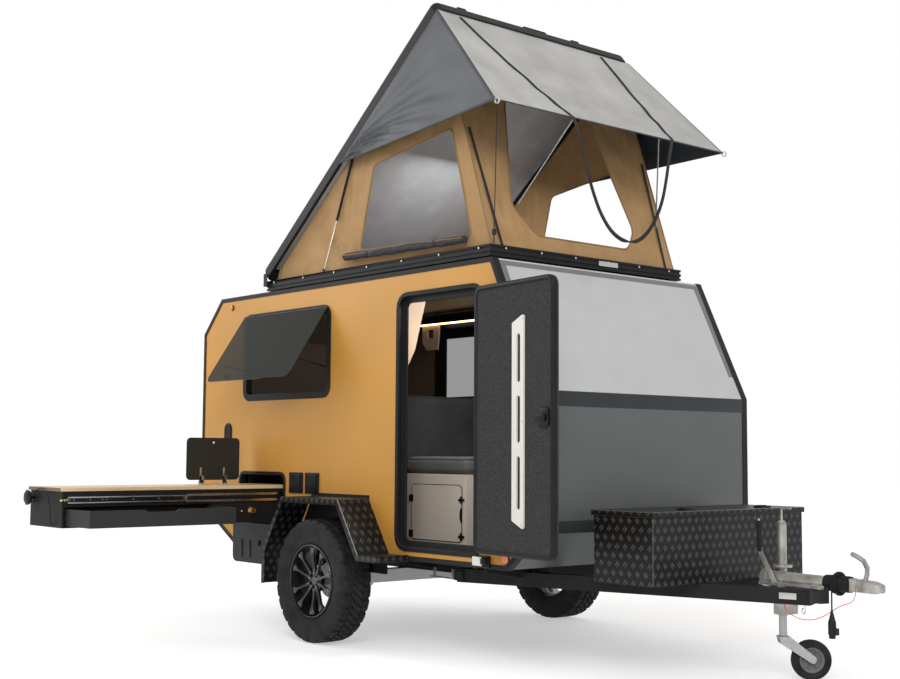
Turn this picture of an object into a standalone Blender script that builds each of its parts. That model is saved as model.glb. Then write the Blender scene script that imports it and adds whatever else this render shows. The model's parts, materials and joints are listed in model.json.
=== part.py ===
# Small off-road caravan with an open rooftop tent and a slide-out kitchen, parked on its jockey wheel.
# Metres. +X forward to the coupling, +Y to the left, +Z up, ground at z = 0.
# Everything is drawn from the axle's centre line, and one empty moves it to the middle of its outline.

import math

import bmesh
import bpy
from mathutils import Matrix, Vector

for old_object in list(bpy.data.objects):
    bpy.data.objects.remove(old_object, do_unlink=True)

# Driving sizes of the body shell
GAP = 0.0003
HALF_WIDTH = 0.906
WALL = 0.035
ROOF_Z = 2.268
BELT_Z = 1.517
SKIRT_Z = 0.544
CHIN_Z = 0.745
TAIL_BEND_Z = 2.027
TAIL_CUT_Z = 0.800
ROOF_FRONT_X = 1.427
ROOF_REAR_X = -1.486
TAIL_X = -1.723
TAIL_CUT_X = -1.270
NOSE_X = 1.780
CHIN_X = 1.555
TRIM_OUT = 0.004
TRIM_FACE = 0.024
TRIM_PROUD = 0.005

# Driving sizes of the running gear
TYRE_R = 0.380
TYRE_W = 0.215
TYRE_TO_WALL = 0.016
RIM_R = 0.222
FENDER_OVERHANG = 0.013

# Driving sizes of the kitchen slide
KITCHEN_REAR_X = -1.140
KITCHEN_FRONT_X = -0.680
KITCHEN_END_Y = -2.460
KITCHEN_IN_Y = -0.700
KITCHEN_Z0 = 0.712
KITCHEN_Z1 = 0.930
WORKTOP_T = 0.022
WORKTOP_LIP = 0.012

# Driving sizes of the drawbar
BEAM_TOP_Z = 0.500
BEAM_H = 0.080
BEAM_W = 0.060
HEAD_NOSE_X = 3.275
HEAD_Z = 0.535

# Places that other pieces are built on
INNER_Y = HALF_WIDTH - WALL
PANEL_Y = INNER_Y - GAP
TYRE_OUTER_Y = HALF_WIDTH + TYRE_TO_WALL + TYRE_W
FENDER_OUTER_Y = TYRE_OUTER_Y + FENDER_OVERHANG
AXLE_Z = TYRE_R
FLOOR_Z = SKIRT_Z + WALL + GAP
BEAM_Z0 = BEAM_TOP_Z - BEAM_H

# The part's origin is under the middle of its outline
MIDDLE_X = (HEAD_NOSE_X + TAIL_X - TRIM_OUT) / 2
MIDDLE_Y = (FENDER_OUTER_Y + KITCHEN_END_Y) / 2
SIDES = ((-1, "right"), (1, "left"))


def empty(name, place=(0, 0, 0), turn=(0, 0, 0), parent=None):
    """A bare axis that pieces hang on."""
    axis = bpy.data.objects.new(name, None)
    bpy.context.scene.collection.objects.link(axis)
    axis.location = place
    axis.rotation_euler = turn
    axis.parent = parent
    return axis


VEHICLE = empty("vehicle", (-MIDDLE_X, -MIDDLE_Y, 0))


def finish(name, colour, roughness, metallic=0.0):
    """One Principled material for each kind of surface."""
    made = bpy.data.materials.new(name)
    made.use_nodes = True
    shader = made.node_tree.nodes["Principled BSDF"]
    shader.inputs["Base Color"].default_value = (*colour, 1.0)
    shader.inputs["Roughness"].default_value = roughness
    shader.inputs["Metallic"].default_value = metallic
    return made


OCHRE = finish("ochre_paint", (0.58, 0.29, 0.055), 0.45)
SILVER = finish("silver_panel", (0.42, 0.42, 0.43), 0.35, 0.6)
GREY = finish("grey_panel", (0.13, 0.14, 0.15), 0.45, 0.2)
BLACK = finish("black_coat", (0.02, 0.02, 0.022), 0.45)
RUBBER = finish("rubber", (0.012, 0.012, 0.012), 0.75)
TREAD = finish("tread_plate", (0.035, 0.035, 0.038), 0.35, 0.6)
ZINC = finish("zinc", (0.55, 0.56, 0.56), 0.4, 0.9)
STEEL = finish("bright_steel", (0.7, 0.7, 0.7), 0.25, 1.0)
FELT = finish("grey_felt", (0.06, 0.065, 0.07), 0.95)
CREAM = finish("cream_board", (0.75, 0.66, 0.52), 0.5)
BAMBOO = finish("bamboo", (0.62, 0.40, 0.17), 0.5)
DARK_WOOD = finish("dark_laminate", (0.05, 0.045, 0.04), 0.5)
CLOTH = finish("seat_cloth", (0.16, 0.14, 0.13), 0.9)
CANVAS = finish("tan_canvas", (0.52, 0.33, 0.15), 0.9)
FLY = finish("grey_fly", (0.25, 0.25, 0.26), 0.7)
ACRYLIC = finish("tinted_acrylic", (0.03, 0.03, 0.025), 0.1)
ALLOY = finish("black_alloy", (0.03, 0.03, 0.03), 0.3, 0.5)
ORANGE = finish("orange_cord", (0.8, 0.15, 0.02), 0.5)


def outline(corners, steps=4):
    """A closed outline from rows of (u, v, corner radius): each corner becomes an arc."""
    points = []
    count = len(corners)
    for index, (u, v, radius) in enumerate(corners):
        here = Vector((u, v))
        before = Vector(corners[index - 1][:2]) - here
        after = Vector(corners[(index + 1) % count][:2]) - here
        if radius <= 0:
            points.append(here)
            continue
        half = before.angle(after) / 2
        reach = radius / math.tan(half)
        centre = here + (before.normalized() + after.normalized()).normalized() * radius / math.sin(half)
        start = here + before.normalized() * reach - centre
        end = here + after.normalized() * reach - centre
        sweep = start.angle_signed(end)
        for step in range(steps + 1):
            turn = start.copy()
            turn.rotate(Matrix.Rotation(-sweep * step / steps, 2))
            points.append(centre + turn)
    return points


def rectangle(u0, v0, u1, v1, radius=0.0):
    return outline([(u0, v0, radius), (u1, v0, radius), (u1, v1, radius), (u0, v1, radius)])


def rounded(u0, v0, u1, v1, radius):
    """A rounded rectangle that can be asked for at any inset."""

    def at(inset=0.0):
        corner = max(radius - inset, 0.004) if radius else 0.0
        return rectangle(u0 + inset, v0 + inset, u1 - inset, v1 - inset, corner)

    return at


PLANES = {"x": (1, 2, 0), "y": (0, 2, 1), "z": (0, 1, 2)}


def spot(axis, u, v, depth):
    """The point (u, v) of an outline, at a depth along the given axis."""
    place = [0.0, 0.0, 0.0]
    first, second, third = PLANES[axis]
    place[first], place[second], place[third] = u, v, depth
    return place


def skin(shape, one, two):
    """Faces between two loops of points."""
    count = len(one)
    for i in range(count):
        j = (i + 1) % count
        shape.faces.new((one[i], one[j], two[j], two[i]))


def stack(axis, rows):
    """A closed body through outlines of equally many points, given as rows of (outline, depth)."""
    shape = bmesh.new()
    loops = [[shape.verts.new(spot(axis, u, v, depth)) for u, v in points] for points, depth in rows]
    shape.faces.new(loops[0])
    shape.faces.new(loops[-1][::-1])
    for one, two in zip(loops, loops[1:]):
        skin(shape, one, two)
    return shape


def slab(axis, points, low, high):
    """An outline made into a plate between two depths along an axis."""
    return stack(axis, [(points, low), (points, high)])


def block(low, high):
    """A plain rectangular piece between two corners."""
    return slab("z", rectangle(low[0], low[1], high[0], high[1]), low[2], high[2])


def carried(axis, outline_at, section):
    """A closed section, in rows of (inset, depth), carried all round an outline."""
    shape = bmesh.new()
    loops = []
    for inset, depth in section:
        loops.append([shape.verts.new(spot(axis, u, v, depth)) for u, v in outline_at(inset)])
    for one, two in zip(loops, loops[1:] + loops[:1]):
        skin(shape, one, two)
    return shape


def turned(axis, centre, section, sides):
    """A closed section of (radius, depth) turned about an axis: section may change with the step."""
    shape = bmesh.new()
    loops = []
    for step in range(sides):
        angle = 2 * math.pi * step / sides
        loop = []
        for radius, depth in section(step) if callable(section) else section:
            place = spot(axis, radius * math.cos(angle), radius * math.sin(angle), depth)
            loop.append(shape.verts.new(Vector(place) + Vector(centre)))
        loops.append(loop)
    for one, two in zip(loops, loops[1:] + loops[:1]):
        skin(shape, one, two)
    return shape


def rod(start, end, radius, sides=16, end_radius=None):
    """A round bar between two points."""
    start, end = Vector(start), Vector(end)
    shape = bmesh.new()
    turn = (end - start).to_track_quat("Z", "Y").to_matrix().to_4x4()
    bmesh.ops.create_cone(
        shape,
        cap_ends=True,
        segments=sides,
        radius1=radius,
        radius2=radius if end_radius is None else end_radius,
        depth=(end - start).length,
        matrix=Matrix.Translation((start + end) / 2) @ turn,
    )
    return shape


def bent(points, radius, sides=12):
    """A round bar that follows a line of points, with mitred bends and flat ends."""
    points = [Vector(p) for p in points]
    shape = bmesh.new()
    loops = []
    side = None
    for i, here in enumerate(points):
        into = (here - points[max(i - 1, 0)]).normalized()
        away = (points[min(i + 1, len(points) - 1)] - here).normalized()
        along = (into + away).normalized()
        if side is None:
            side = along.orthogonal().normalized()
        side = (side - along * side.dot(along)).normalized()
        other = along.cross(side)
        loop = []
        for step in range(sides):
            angle = 2 * math.pi * step / sides
            loop.append(shape.verts.new(here + (side * math.cos(angle) + other * math.sin(angle)) * radius))
        loops.append(loop)
    shape.faces.new(loops[0])
    shape.faces.new(loops[-1][::-1])
    for one, two in zip(loops, loops[1:]):
        skin(shape, one, two)
    return shape


def gather(shapes):
    """Several forms that don't touch, in one."""
    whole = bmesh.new()
    for shape in shapes:
        part = bpy.data.meshes.new("part")
        shape.to_mesh(part)
        whole.from_mesh(part)
        bpy.data.meshes.remove(part)
        shape.free()
    return whole


def link(name, shape, material=None, parent=VEHICLE, smooth=None):
    """Puts a finished shape into the scene as one object."""
    bmesh.ops.recalc_face_normals(shape, faces=shape.faces)
    mesh = bpy.data.meshes.new(name)
    shape.to_mesh(mesh)
    shape.free()
    made = bpy.data.objects.new(name, mesh)
    bpy.context.scene.collection.objects.link(made)
    made.parent = parent
    if material:
        mesh.materials.append(material)
    if smooth is not None:
        mesh.shade_smooth()
        mesh.set_sharp_from_angle(angle=math.radians(smooth))
    return made


def combine(piece, shapes, operation):
    for shape in shapes:
        form = link("form", shape, None, piece.parent)
        form.hide_render = True
        form.hide_set(True)
        form.display_type = "WIRE"
        change = piece.modifiers.new(operation.lower(), "BOOLEAN")
        change.operation = operation
        change.solver = "EXACT"
        change.object = form
    return piece


def cut(piece, *shapes):
    return combine(piece, shapes, "DIFFERENCE")


def fuse(piece, *shapes):
    return combine(piece, shapes, "UNION")


def smooth_route(route, spacing):
    """Points about one spacing apart on a smooth curve through the route's own points."""
    route = [Vector(p) for p in route]
    ends = [2 * route[0] - route[1], *route, 2 * route[-1] - route[-2]]
    points = []
    for a, b, c, d in zip(ends, ends[1:], ends[2:], ends[3:]):
        steps = max(1, round((c - b).length / spacing))
        for step in range(steps):
            t = step / steps
            cubic = (3 * b - a - 3 * c + d) * t**3
            points.append((2 * b + (c - a) * t + (2 * a - 5 * b + 4 * c - d) * t**2 + cubic) / 2)
    points.append(route[-1])
    return points


def cord(name, route, radius, material):
    """A flexible cord along a smooth curve."""
    points = smooth_route(route, radius * 6)
    curve = bpy.data.curves.new(name, "CURVE")
    curve.dimensions = "3D"
    curve.bevel_depth = radius
    curve.bevel_resolution = 2
    curve.use_fill_caps = True
    spline = curve.splines.new("POLY")
    spline.points.add(len(points) - 1)
    for place, point in zip(spline.points, points):
        place.co = (*point, 1.0)
    curve.materials.append(material)
    made = bpy.data.objects.new(name, curve)
    bpy.context.scene.collection.objects.link(made)
    made.parent = VEHICLE
    return made


# Body profile, seen from the right: roof, sloped tail, rear cut, floor, chin and sloped nose
PROFILE = [
    (ROOF_FRONT_X, ROOF_Z),
    (ROOF_REAR_X, ROOF_Z),
    (TAIL_X, TAIL_BEND_Z),
    (TAIL_X, TAIL_CUT_Z),
    (TAIL_CUT_X, SKIRT_Z),
    (CHIN_X, SKIRT_Z),
    (NOSE_X, CHIN_Z),
    (NOSE_X, BELT_Z),
]


def profile_at(distance):
    """The body profile moved outward by a distance, with its corners mitred."""
    moved = []
    count = len(PROFILE)
    for i in range(count):
        here = Vector(PROFILE[i])
        into = (here - Vector(PROFILE[i - 1])).normalized()
        away = (Vector(PROFILE[(i + 1) % count]) - here).normalized()
        normals = Vector((into.y, -into.x)), Vector((away.y, -away.x))
        mitre = (normals[0] + normals[1]).normalized()
        moved.append(here + mitre * distance / mitre.dot(normals[0]))
    return moved


def shell_panel(first, last):
    """The outline of a wall that follows the profile from one corner to another."""
    outer = profile_at(0)
    inner = profile_at(-WALL)
    count = len(outer)
    run = [(first + k) % count for k in range((last - first) % count + 1)]
    shift = {
        run[0]: (outer[run[1]] - outer[run[0]]).normalized() * GAP,
        run[-1]: (outer[run[-2]] - outer[run[-1]]).normalized() * GAP,
    }
    face = [outer[i] + shift.get(i, Vector((0, 0))) for i in run]
    back = [inner[i] + shift.get(i, Vector((0, 0))) for i in reversed(run)]
    return face + back


# Openings in the side walls
DOOR_X0, DOOR_X1, DOOR_Z0, DOOR_Z1 = 0.580, 1.345, 0.605, 2.125
WINDOW_X0, WINDOW_X1, WINDOW_Z0, WINDOW_Z1 = -1.170, -0.125, 1.530, 2.125
HATCH_X0, HATCH_X1, HATCH_Z0, HATCH_Z1 = -1.195, -0.630, 0.690, 1.030
door_at = rounded(DOOR_X0, DOOR_Z0, DOOR_X1, DOOR_Z1, 0.080)
window_at = rounded(WINDOW_X0, WINDOW_Z0, WINDOW_X1, WINDOW_Z1, 0.070)
hatch_at = rounded(HATCH_X0, HATCH_Z0, HATCH_X1, HATCH_Z1, 0.050)

for side, tag in SIDES:
    low, high = sorted((side * HALF_WIDTH, side * INNER_Y))
    wall = link("side_wall_" + tag, slab("y", profile_at(0), low, high), OCHRE)
    holes = (window_at, door_at, hatch_at) if side < 0 else (window_at,)
    for hole_at in holes:
        cut(wall, slab("y", hole_at(), low - WALL, high + WALL))

# Walls between the sides, in rows of name, first and last corner of the profile, material
for name, first, last, material in (
    ("roof_panel", 0, 1, BLACK),
    ("rear_wall", 1, 3, OCHRE),
    ("floor_panel", 3, 5, BLACK),
    ("front_wall_lower", 5, 7, GREY),
    ("front_wall_upper", 7, 0, SILVER),
):
    link(name, slab("y", shell_panel(first, last), -PANEL_Y, PANEL_Y), material)

# The black angle section that runs all round the edge of each side wall
TRIM_LEG = 0.047
for side, tag in SIDES:
    section = [
        (TRIM_OUT, side * (HALF_WIDTH + TRIM_PROUD - TRIM_LEG)),
        (TRIM_OUT, side * (HALF_WIDTH + TRIM_PROUD)),
        (-TRIM_FACE, side * (HALF_WIDTH + TRIM_PROUD)),
        (-TRIM_FACE, side * (HALF_WIDTH + GAP)),
        (GAP, side * (HALF_WIDTH + GAP)),
        (GAP, side * (HALF_WIDTH + TRIM_PROUD - TRIM_LEG)),
    ]
    link("edge_trim_" + tag, carried("y", profile_at, section), BLACK)

# Entry door: a stepped frame in the opening, knuckles on the axis, and a panel that shuts into it
FRAME_LIP = 0.012
FRAME_FLANGE = 0.015
FRAME_BORDER = 0.052
FRAME_PROUD = 0.008
FRAME_INSIDE = 0.006
DOOR_GAP = 0.008
DOOR_T = 0.032
DOOR_RIM = 0.026
DOOR_RIM_PROUD = 0.005
DOOR_OPEN = math.radians(173)
DOOR_FACE_Y = -(HALF_WIDTH + FRAME_PROUD)
DOOR_AXIS_X = DOOR_X1 - 0.005
DOOR_AXIS_Y = DOOR_FACE_Y - 0.012
KNUCKLE_R = 0.007
KNUCKLE_H = 0.035
HINGE_ZS = (DOOR_Z0 + 0.20, (DOOR_Z0 + DOOR_Z1) / 2, DOOR_Z1 - 0.20)

door_frame = link(
    "door_frame",
    carried(
        "y",
        door_at,
        [
            (-FRAME_LIP, -HALF_WIDTH - GAP),
            (-FRAME_LIP, DOOR_FACE_Y),
            (FRAME_FLANGE, DOOR_FACE_Y),
            (FRAME_FLANGE, -INNER_Y - FRAME_INSIDE),
            (FRAME_BORDER, -INNER_Y - FRAME_INSIDE),
            (FRAME_BORDER, -INNER_Y + FRAME_INSIDE),
            (GAP, -INNER_Y + FRAME_INSIDE),
            (GAP, -HALF_WIDTH - GAP),
        ],
    ),
    RUBBER,
)
door_axis = empty("door_axis", (DOOR_AXIS_X, DOOR_AXIS_Y, 0), (0, 0, DOOR_OPEN), VEHICLE)
door_low = DOOR_FACE_Y - DOOR_AXIS_Y - 0.002
door_high = door_low + DOOR_T


def door_panel_at(inset=0.0):
    return [Vector((u - DOOR_AXIS_X, v)) for u, v in door_at(FRAME_FLANGE + DOOR_GAP + inset)]


entry_door = link("entry_door", slab("y", door_panel_at(), door_low, door_high), FELT, door_axis)
rim_top = door_high + DOOR_RIM_PROUD
rim_foot = door_high - 0.004
rim_section = [(0.002, rim_foot), (0.002, rim_top), (DOOR_RIM, rim_top), (DOOR_RIM, rim_foot)]
fuse(entry_door, carried("y", door_panel_at, rim_section))
LATCH_X = -0.665
LATCH_Z = 1.363
LATCH_W = 0.080
LATCH_H = 0.090
LATCH_T = 0.016
latch_plate = rectangle(
    LATCH_X - LATCH_W / 2, LATCH_Z - LATCH_H / 2, LATCH_X + LATCH_W / 2, LATCH_Z + LATCH_H / 2, 0.012
)
fuse(entry_door, slab("y", latch_plate, door_high - 0.002, door_high + LATCH_T))
for hinge_z in HINGE_ZS:
    half = KNUCKLE_H / 2
    centre = (DOOR_AXIS_X, DOOR_AXIS_Y)
    fuse(
        door_frame,
        rod((*centre, hinge_z - half), (*centre, hinge_z + half), KNUCKLE_R, 10),
        block(
            (DOOR_AXIS_X - 0.004, DOOR_AXIS_Y, hinge_z - half),
            (DOOR_AXIS_X + 0.004, DOOR_FACE_Y + 0.002, hinge_z + half),
        ),
    )
    for way in (-1, 1):
        start, stop = sorted((hinge_z + way * (half + GAP), hinge_z + way * (half + KNUCKLE_H * 0.6)))
        fuse(
            entry_door,
            rod((0, 0, start), (0, 0, stop), KNUCKLE_R, 10),
            block((-0.045, 0.002, start), (0.0, door_low + 0.001, stop)),
        )

# Rack on the door: a slotted board with slanted ends, in rows of slot bottom and top
RACK_X0 = -0.490
RACK_X1 = -0.385
RACK_Z0 = 0.775
RACK_Z1 = 1.914
RACK_SLANT = 0.045
RACK_T = 0.012
rack_outline = outline(
    [
        (RACK_X0, RACK_Z0, 0.012),
        (RACK_X1, RACK_Z0 + RACK_SLANT, 0.012),
        (RACK_X1, RACK_Z1 - RACK_SLANT, 0.012),
        (RACK_X0, RACK_Z1, 0.012),
    ],
)
rack_board = slab("y", rack_outline, door_high + GAP, door_high + RACK_T)
door_rack = link("door_rack", rack_board, CREAM, door_axis)
SLOT_HALF = 0.016
slot_x = (RACK_X0 + RACK_X1) / 2 - 0.006
for slot_low, slot_high in ((0.88, 1.16), (1.23, 1.48), (1.55, 1.81)):
    slot = rectangle(slot_x - SLOT_HALF, slot_low, slot_x + SLOT_HALF, slot_high, SLOT_HALF * 0.98)
    cut(door_rack, slab("y", slot, door_high - 0.003, door_high + RACK_T + 0.01))

# Windows: a border in each wall, and an acrylic sash that hangs from a bar along its top
WINDOW_BORDER = 0.040
WINDOW_LIP = 0.006
WINDOW_PROUD = 0.006
SASH_T = 0.008
SASH_BAR_R = 0.0055
SASH_OPEN = math.radians(33)
SASH_H = 0.555
SASH_MARGIN = 0.018
for side, tag in SIDES:
    outer_y = side * (HALF_WIDTH + WINDOW_PROUD)
    section = [
        (-WINDOW_LIP, side * (HALF_WIDTH + GAP)),
        (-WINDOW_LIP, outer_y),
        (WINDOW_BORDER, outer_y),
        (WINDOW_BORDER, side * (INNER_Y - WINDOW_PROUD)),
        (GAP, side * (INNER_Y - WINDOW_PROUD)),
        (GAP, side * (HALF_WIDTH + GAP)),
    ]
    link("window_frame_" + tag, carried("y", window_at, section), RUBBER)
    sash_axis = empty(
        "sash_axis_" + tag,
        (0, side * (HALF_WIDTH + WINDOW_PROUD + GAP + SASH_BAR_R), WINDOW_Z1 - 0.012),
        (-SASH_OPEN if side < 0 else 0, 0, 0),
        VEHICLE,
    )
    left, right = WINDOW_X0 + SASH_MARGIN, WINDOW_X1 - SASH_MARGIN
    pane = outline([(left, -SASH_H, 0.045), (right, -SASH_H, 0.045), (right, 0, 0), (left, 0, 0)])
    sash = link("window_sash_" + tag, slab("y", pane, -SASH_T / 2, SASH_T / 2), ACRYLIC, sash_axis)
    fuse(sash, rod((left, 0, 0), (right, 0, 0), SASH_BAR_R, 12))

# Kitchen hatch: a frame in the wall, and the flap that hangs from a bar on its lower member
HATCH_PROUD = 0.008
HATCH_LIP = 0.010
HATCH_FLANGE = 0.012
FLAP_T = 0.022
FLAP_H = 0.275
FLAP_LAP = 0.035
FLAP_BAR_R = 0.006
link(
    "kitchen_frame",
    carried(
        "y",
        hatch_at,
        [
            (-HATCH_LIP, -HALF_WIDTH - GAP),
            (-HATCH_LIP, -HALF_WIDTH - HATCH_PROUD),
            (HATCH_FLANGE, -HALF_WIDTH - HATCH_PROUD),
            (HATCH_FLANGE, -INNER_Y + FRAME_INSIDE),
            (GAP, -INNER_Y + FRAME_INSIDE),
            (GAP, -HALF_WIDTH - GAP),
        ],
    ),
    RUBBER,
)
flap_face = -HALF_WIDTH - HATCH_PROUD - GAP
flap_left, flap_right = HATCH_X0 - FLAP_LAP, HATCH_X1 + FLAP_LAP - 0.010
flap = outline(
    [
        (flap_left, HATCH_Z0 - FLAP_H, 0.045),
        (flap_right, HATCH_Z0 - FLAP_H, 0.045),
        (flap_right, HATCH_Z0, 0.012),
        (flap_left, HATCH_Z0, 0.012),
    ]
)
hatch_flap = link("kitchen_hatch", slab("y", flap, flap_face - FLAP_T, flap_face - 0.0005), BLACK)
fuse(
    hatch_flap,
    rod(
        (flap_left + 0.02, flap_face - FLAP_BAR_R, HATCH_Z0),
        (flap_right - 0.02, flap_face - FLAP_BAR_R, HATCH_Z0),
        FLAP_BAR_R,
        12,
    ),
)

# Kitchen slide: carcass with a drawer bay and runners, worktop, telescopic rail and drawer
SHEET = 0.012
DRAWER_OUT = 0.320
DRAWER_DEPTH = 0.400
DRAWER_Y0 = KITCHEN_END_Y + 0.040
DRAWER_Y1 = -1.440
DRAWER_Z0 = KITCHEN_Z0 + 0.012
DRAWER_Z1 = 0.825
RUNNER_Z0 = 0.752
RUNNER_H = 0.030
carcass_end = KITCHEN_END_Y + WORKTOP_LIP
carcass = link(
    "kitchen_carcass",
    block((KITCHEN_REAR_X, carcass_end, KITCHEN_Z0), (KITCHEN_FRONT_X, KITCHEN_IN_Y, KITCHEN_Z1)),
    BLACK,
)
bay_y0 = DRAWER_Y0 - SHEET
bay_y1 = DRAWER_Y1 + SHEET
cut(
    carcass,
    block(
        (KITCHEN_REAR_X + SHEET, bay_y0, KITCHEN_Z0 + 0.006),
        (KITCHEN_FRONT_X + 0.05, bay_y1, DRAWER_Z1 + 0.010),
    ),
)
for start, stop in ((bay_y0 - 0.002, DRAWER_Y0 - GAP), (DRAWER_Y1 + GAP, bay_y1 + 0.002)):
    fuse(
        carcass,
        block(
            (KITCHEN_REAR_X + SHEET + 0.01, start, RUNNER_Z0),
            (KITCHEN_FRONT_X - 0.004, stop, RUNNER_Z0 + RUNNER_H),
        ),
    )
worktop_z0 = KITCHEN_Z1 + GAP
WORKTOP_Z = worktop_z0 + WORKTOP_T
worktop = link(
    "kitchen_worktop",
    slab(
        "z",
        rectangle(KITCHEN_REAR_X - 0.008, KITCHEN_END_Y, KITCHEN_FRONT_X, KITCHEN_IN_Y),
        worktop_z0,
        WORKTOP_Z,
    ),
    BAMBOO,
)
GROOVE_X = -1.0665
GROOVE = 0.002
cut(
    worktop,
    block(
        (GROOVE_X - GROOVE / 2, KITCHEN_END_Y - 0.01, WORKTOP_Z - GROOVE),
        (GROOVE_X + GROOVE / 2, KITCHEN_IN_Y + 0.01, WORKTOP_Z + 0.01),
    ),
)

# Telescopic rail on the carcass side, in rows of first y, last y, bottom, top, thickness from and to
RAIL_REACH = 0.016
BAY_Y0 = -(INNER_Y - FRAME_INSIDE) + 0.010
kitchen_rail = None
for y0, y1, z0, z1, t0, t1 in (
    (KITCHEN_END_Y + 0.045, KITCHEN_IN_Y, 0.858, 0.898, GAP, 0.008),
    (-1.620, KITCHEN_IN_Y + 0.02, 0.851, 0.905, 0.005, 0.012),
    (BAY_Y0 + 0.01, INNER_Y - 0.05, 0.846, 0.910, 0.009, RAIL_REACH),
):
    member = block((KITCHEN_FRONT_X + t0, y0, z0), (KITCHEN_FRONT_X + t1, y1, z1))
    if kitchen_rail:
        fuse(kitchen_rail, member)
    else:
        kitchen_rail = link("kitchen_rail", member, STEEL)

drawer_axis = empty("drawer_axis", (DRAWER_OUT, 0, 0), (0, 0, 0), VEHICLE)
drawer_front = KITCHEN_FRONT_X - 0.001
drawer = link(
    "kitchen_drawer",
    block((drawer_front - DRAWER_DEPTH, DRAWER_Y0, DRAWER_Z0), (drawer_front, DRAWER_Y1, DRAWER_Z1)),
    BLACK,
    drawer_axis,
)
DRAWER_FACE_T = 0.018
NOTCH_Y0, NOTCH_Y1, NOTCH_DEEP, NOTCH_SLANT = -2.075, -1.828, 0.014, 0.030
cut(
    drawer,
    block(
        (drawer_front - DRAWER_DEPTH + SHEET, DRAWER_Y0 + SHEET, DRAWER_Z0 + 0.010),
        (drawer_front - DRAWER_FACE_T, DRAWER_Y1 - SHEET, DRAWER_Z1 + 0.02),
    ),
    slab(
        "x",
        [
            Vector((NOTCH_Y0, DRAWER_Z1 + 0.005)),
            Vector((NOTCH_Y0 + NOTCH_SLANT, DRAWER_Z1 - NOTCH_DEEP)),
            Vector((NOTCH_Y1 - NOTCH_SLANT, DRAWER_Z1 - NOTCH_DEEP)),
            Vector((NOTCH_Y1, DRAWER_Z1 + 0.005)),
        ],
        drawer_front - DRAWER_FACE_T - 0.005,
        drawer_front + 0.005,
    ),
)

# Wind shield for the hob: a plate on two pin hinges that stand on the worktop
SHIELD_X = -1.095
SHIELD_Y0 = -1.390
SHIELD_Y1 = -0.980
SHIELD_T = 0.008
SHIELD_LOW = 0.014
SHIELD_H = 0.300
SHIELD_AXIS_Z = WORKTOP_Z + 0.014
PIN_R = 0.004
PIN_PLAY = 0.0004
BARREL_HALF = 0.014
LUG_T = 0.006
shield_axis = empty("shield_axis", (SHIELD_X, 0, SHIELD_AXIS_Z), (0, 0, 0), VEHICLE)
shield = link(
    "hob_shield",
    slab("x", rectangle(SHIELD_Y0, SHIELD_LOW, SHIELD_Y1, SHIELD_H, 0.030), -SHIELD_T / 2, SHIELD_T / 2),
    BLACK,
    shield_axis,
)
hinge_ys = (SHIELD_Y0 + 0.115, SHIELD_Y1 - 0.115)
hinge_base = link(
    "shield_hinges",
    block(
        (SHIELD_X - 0.012, hinge_ys[0] - 0.030, WORKTOP_Z + GAP),
        (SHIELD_X + 0.020, hinge_ys[1] + 0.030, WORKTOP_Z + 0.002),
    ),
    STEEL,
)
for hinge_y in hinge_ys:
    bore = [
        (PIN_R + PIN_PLAY, hinge_y - BARREL_HALF),
        (0.009, hinge_y - BARREL_HALF),
        (0.009, hinge_y + BARREL_HALF),
        (PIN_R + PIN_PLAY, hinge_y + BARREL_HALF),
    ]
    fuse(
        shield,
        turned("y", (0, 0, 0), bore, 12),
        block((-0.003, hinge_y - BARREL_HALF, 0.007), (0.003, hinge_y + BARREL_HALF, SHIELD_LOW + 0.004)),
    )
    reach = BARREL_HALF + GAP + LUG_T
    pin_ends = [(SHIELD_X, hinge_y + way * reach, SHIELD_AXIS_Z) for way in (-1, 1)]
    fuse(hinge_base, rod(*pin_ends, PIN_R, 12))
    for way in (-1, 1):
        start, stop = sorted((hinge_y + way * reach, hinge_y + way * (reach - LUG_T)))
        fuse(
            hinge_base,
            block(
                (SHIELD_X - 0.006, start, WORKTOP_Z + 0.001),
                (SHIELD_X + 0.006, stop, SHIELD_AXIS_Z + 0.006),
            ),
        )

# Inside: bench with cushions on the right, and one joinery unit that makes the kitchen bay, bed and counter
PLY = 0.015
BENCH_X0 = 0.060
BENCH_X1 = 0.690
BENCH_Y0 = -0.450
BENCH_Y1 = 0.300
BENCH_Z = 1.040
bench = link("bench_cabinet", block((BENCH_X0, BENCH_Y0, FLOOR_Z), (BENCH_X1, BENCH_Y1, BENCH_Z)), CREAM)
cut(
    bench,
    block(
        (BENCH_X0 + PLY, BENCH_Y0 + PLY, FLOOR_Z - 0.05),
        (BENCH_X1 - PLY, BENCH_Y1 - PLY, BENCH_Z - PLY),
    ),
)
BENCH_DOOR = rectangle(BENCH_X0 + 0.10, FLOOR_Z + 0.045, BENCH_X1 - 0.035, BENCH_Z - 0.065, 0.030)
fuse(bench, slab("y", BENCH_DOOR, BENCH_Y0 - 0.004, BENCH_Y0 + 0.004))
CUSHION_T = 0.110
BACK_T = 0.090
BACK_H = 0.500
link(
    "seat_cushion",
    block((BENCH_X0, BENCH_Y0 - 0.005, BENCH_Z + GAP), (BENCH_X1, BENCH_Y1, BENCH_Z + CUSHION_T)),
    CLOTH,
)
bay_front = KITCHEN_FRONT_X + RAIL_REACH + GAP
bay_rear = KITCHEN_REAR_X - 0.016
BED_Z = 1.065
BED_X0 = TAIL_X + WALL + 0.030
BED_X1 = BENCH_X0 - BACK_T - 0.020
COUNTER_X1 = 1.250
COUNTER_Y0 = 0.420
COUNTER_Z = 1.440
joinery = link(
    "side_cabinet",
    block((BED_X0, BAY_Y0, BED_Z - PLY), (BED_X1, INNER_Y - GAP, BED_Z)),
    DARK_WOOD,
)
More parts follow.
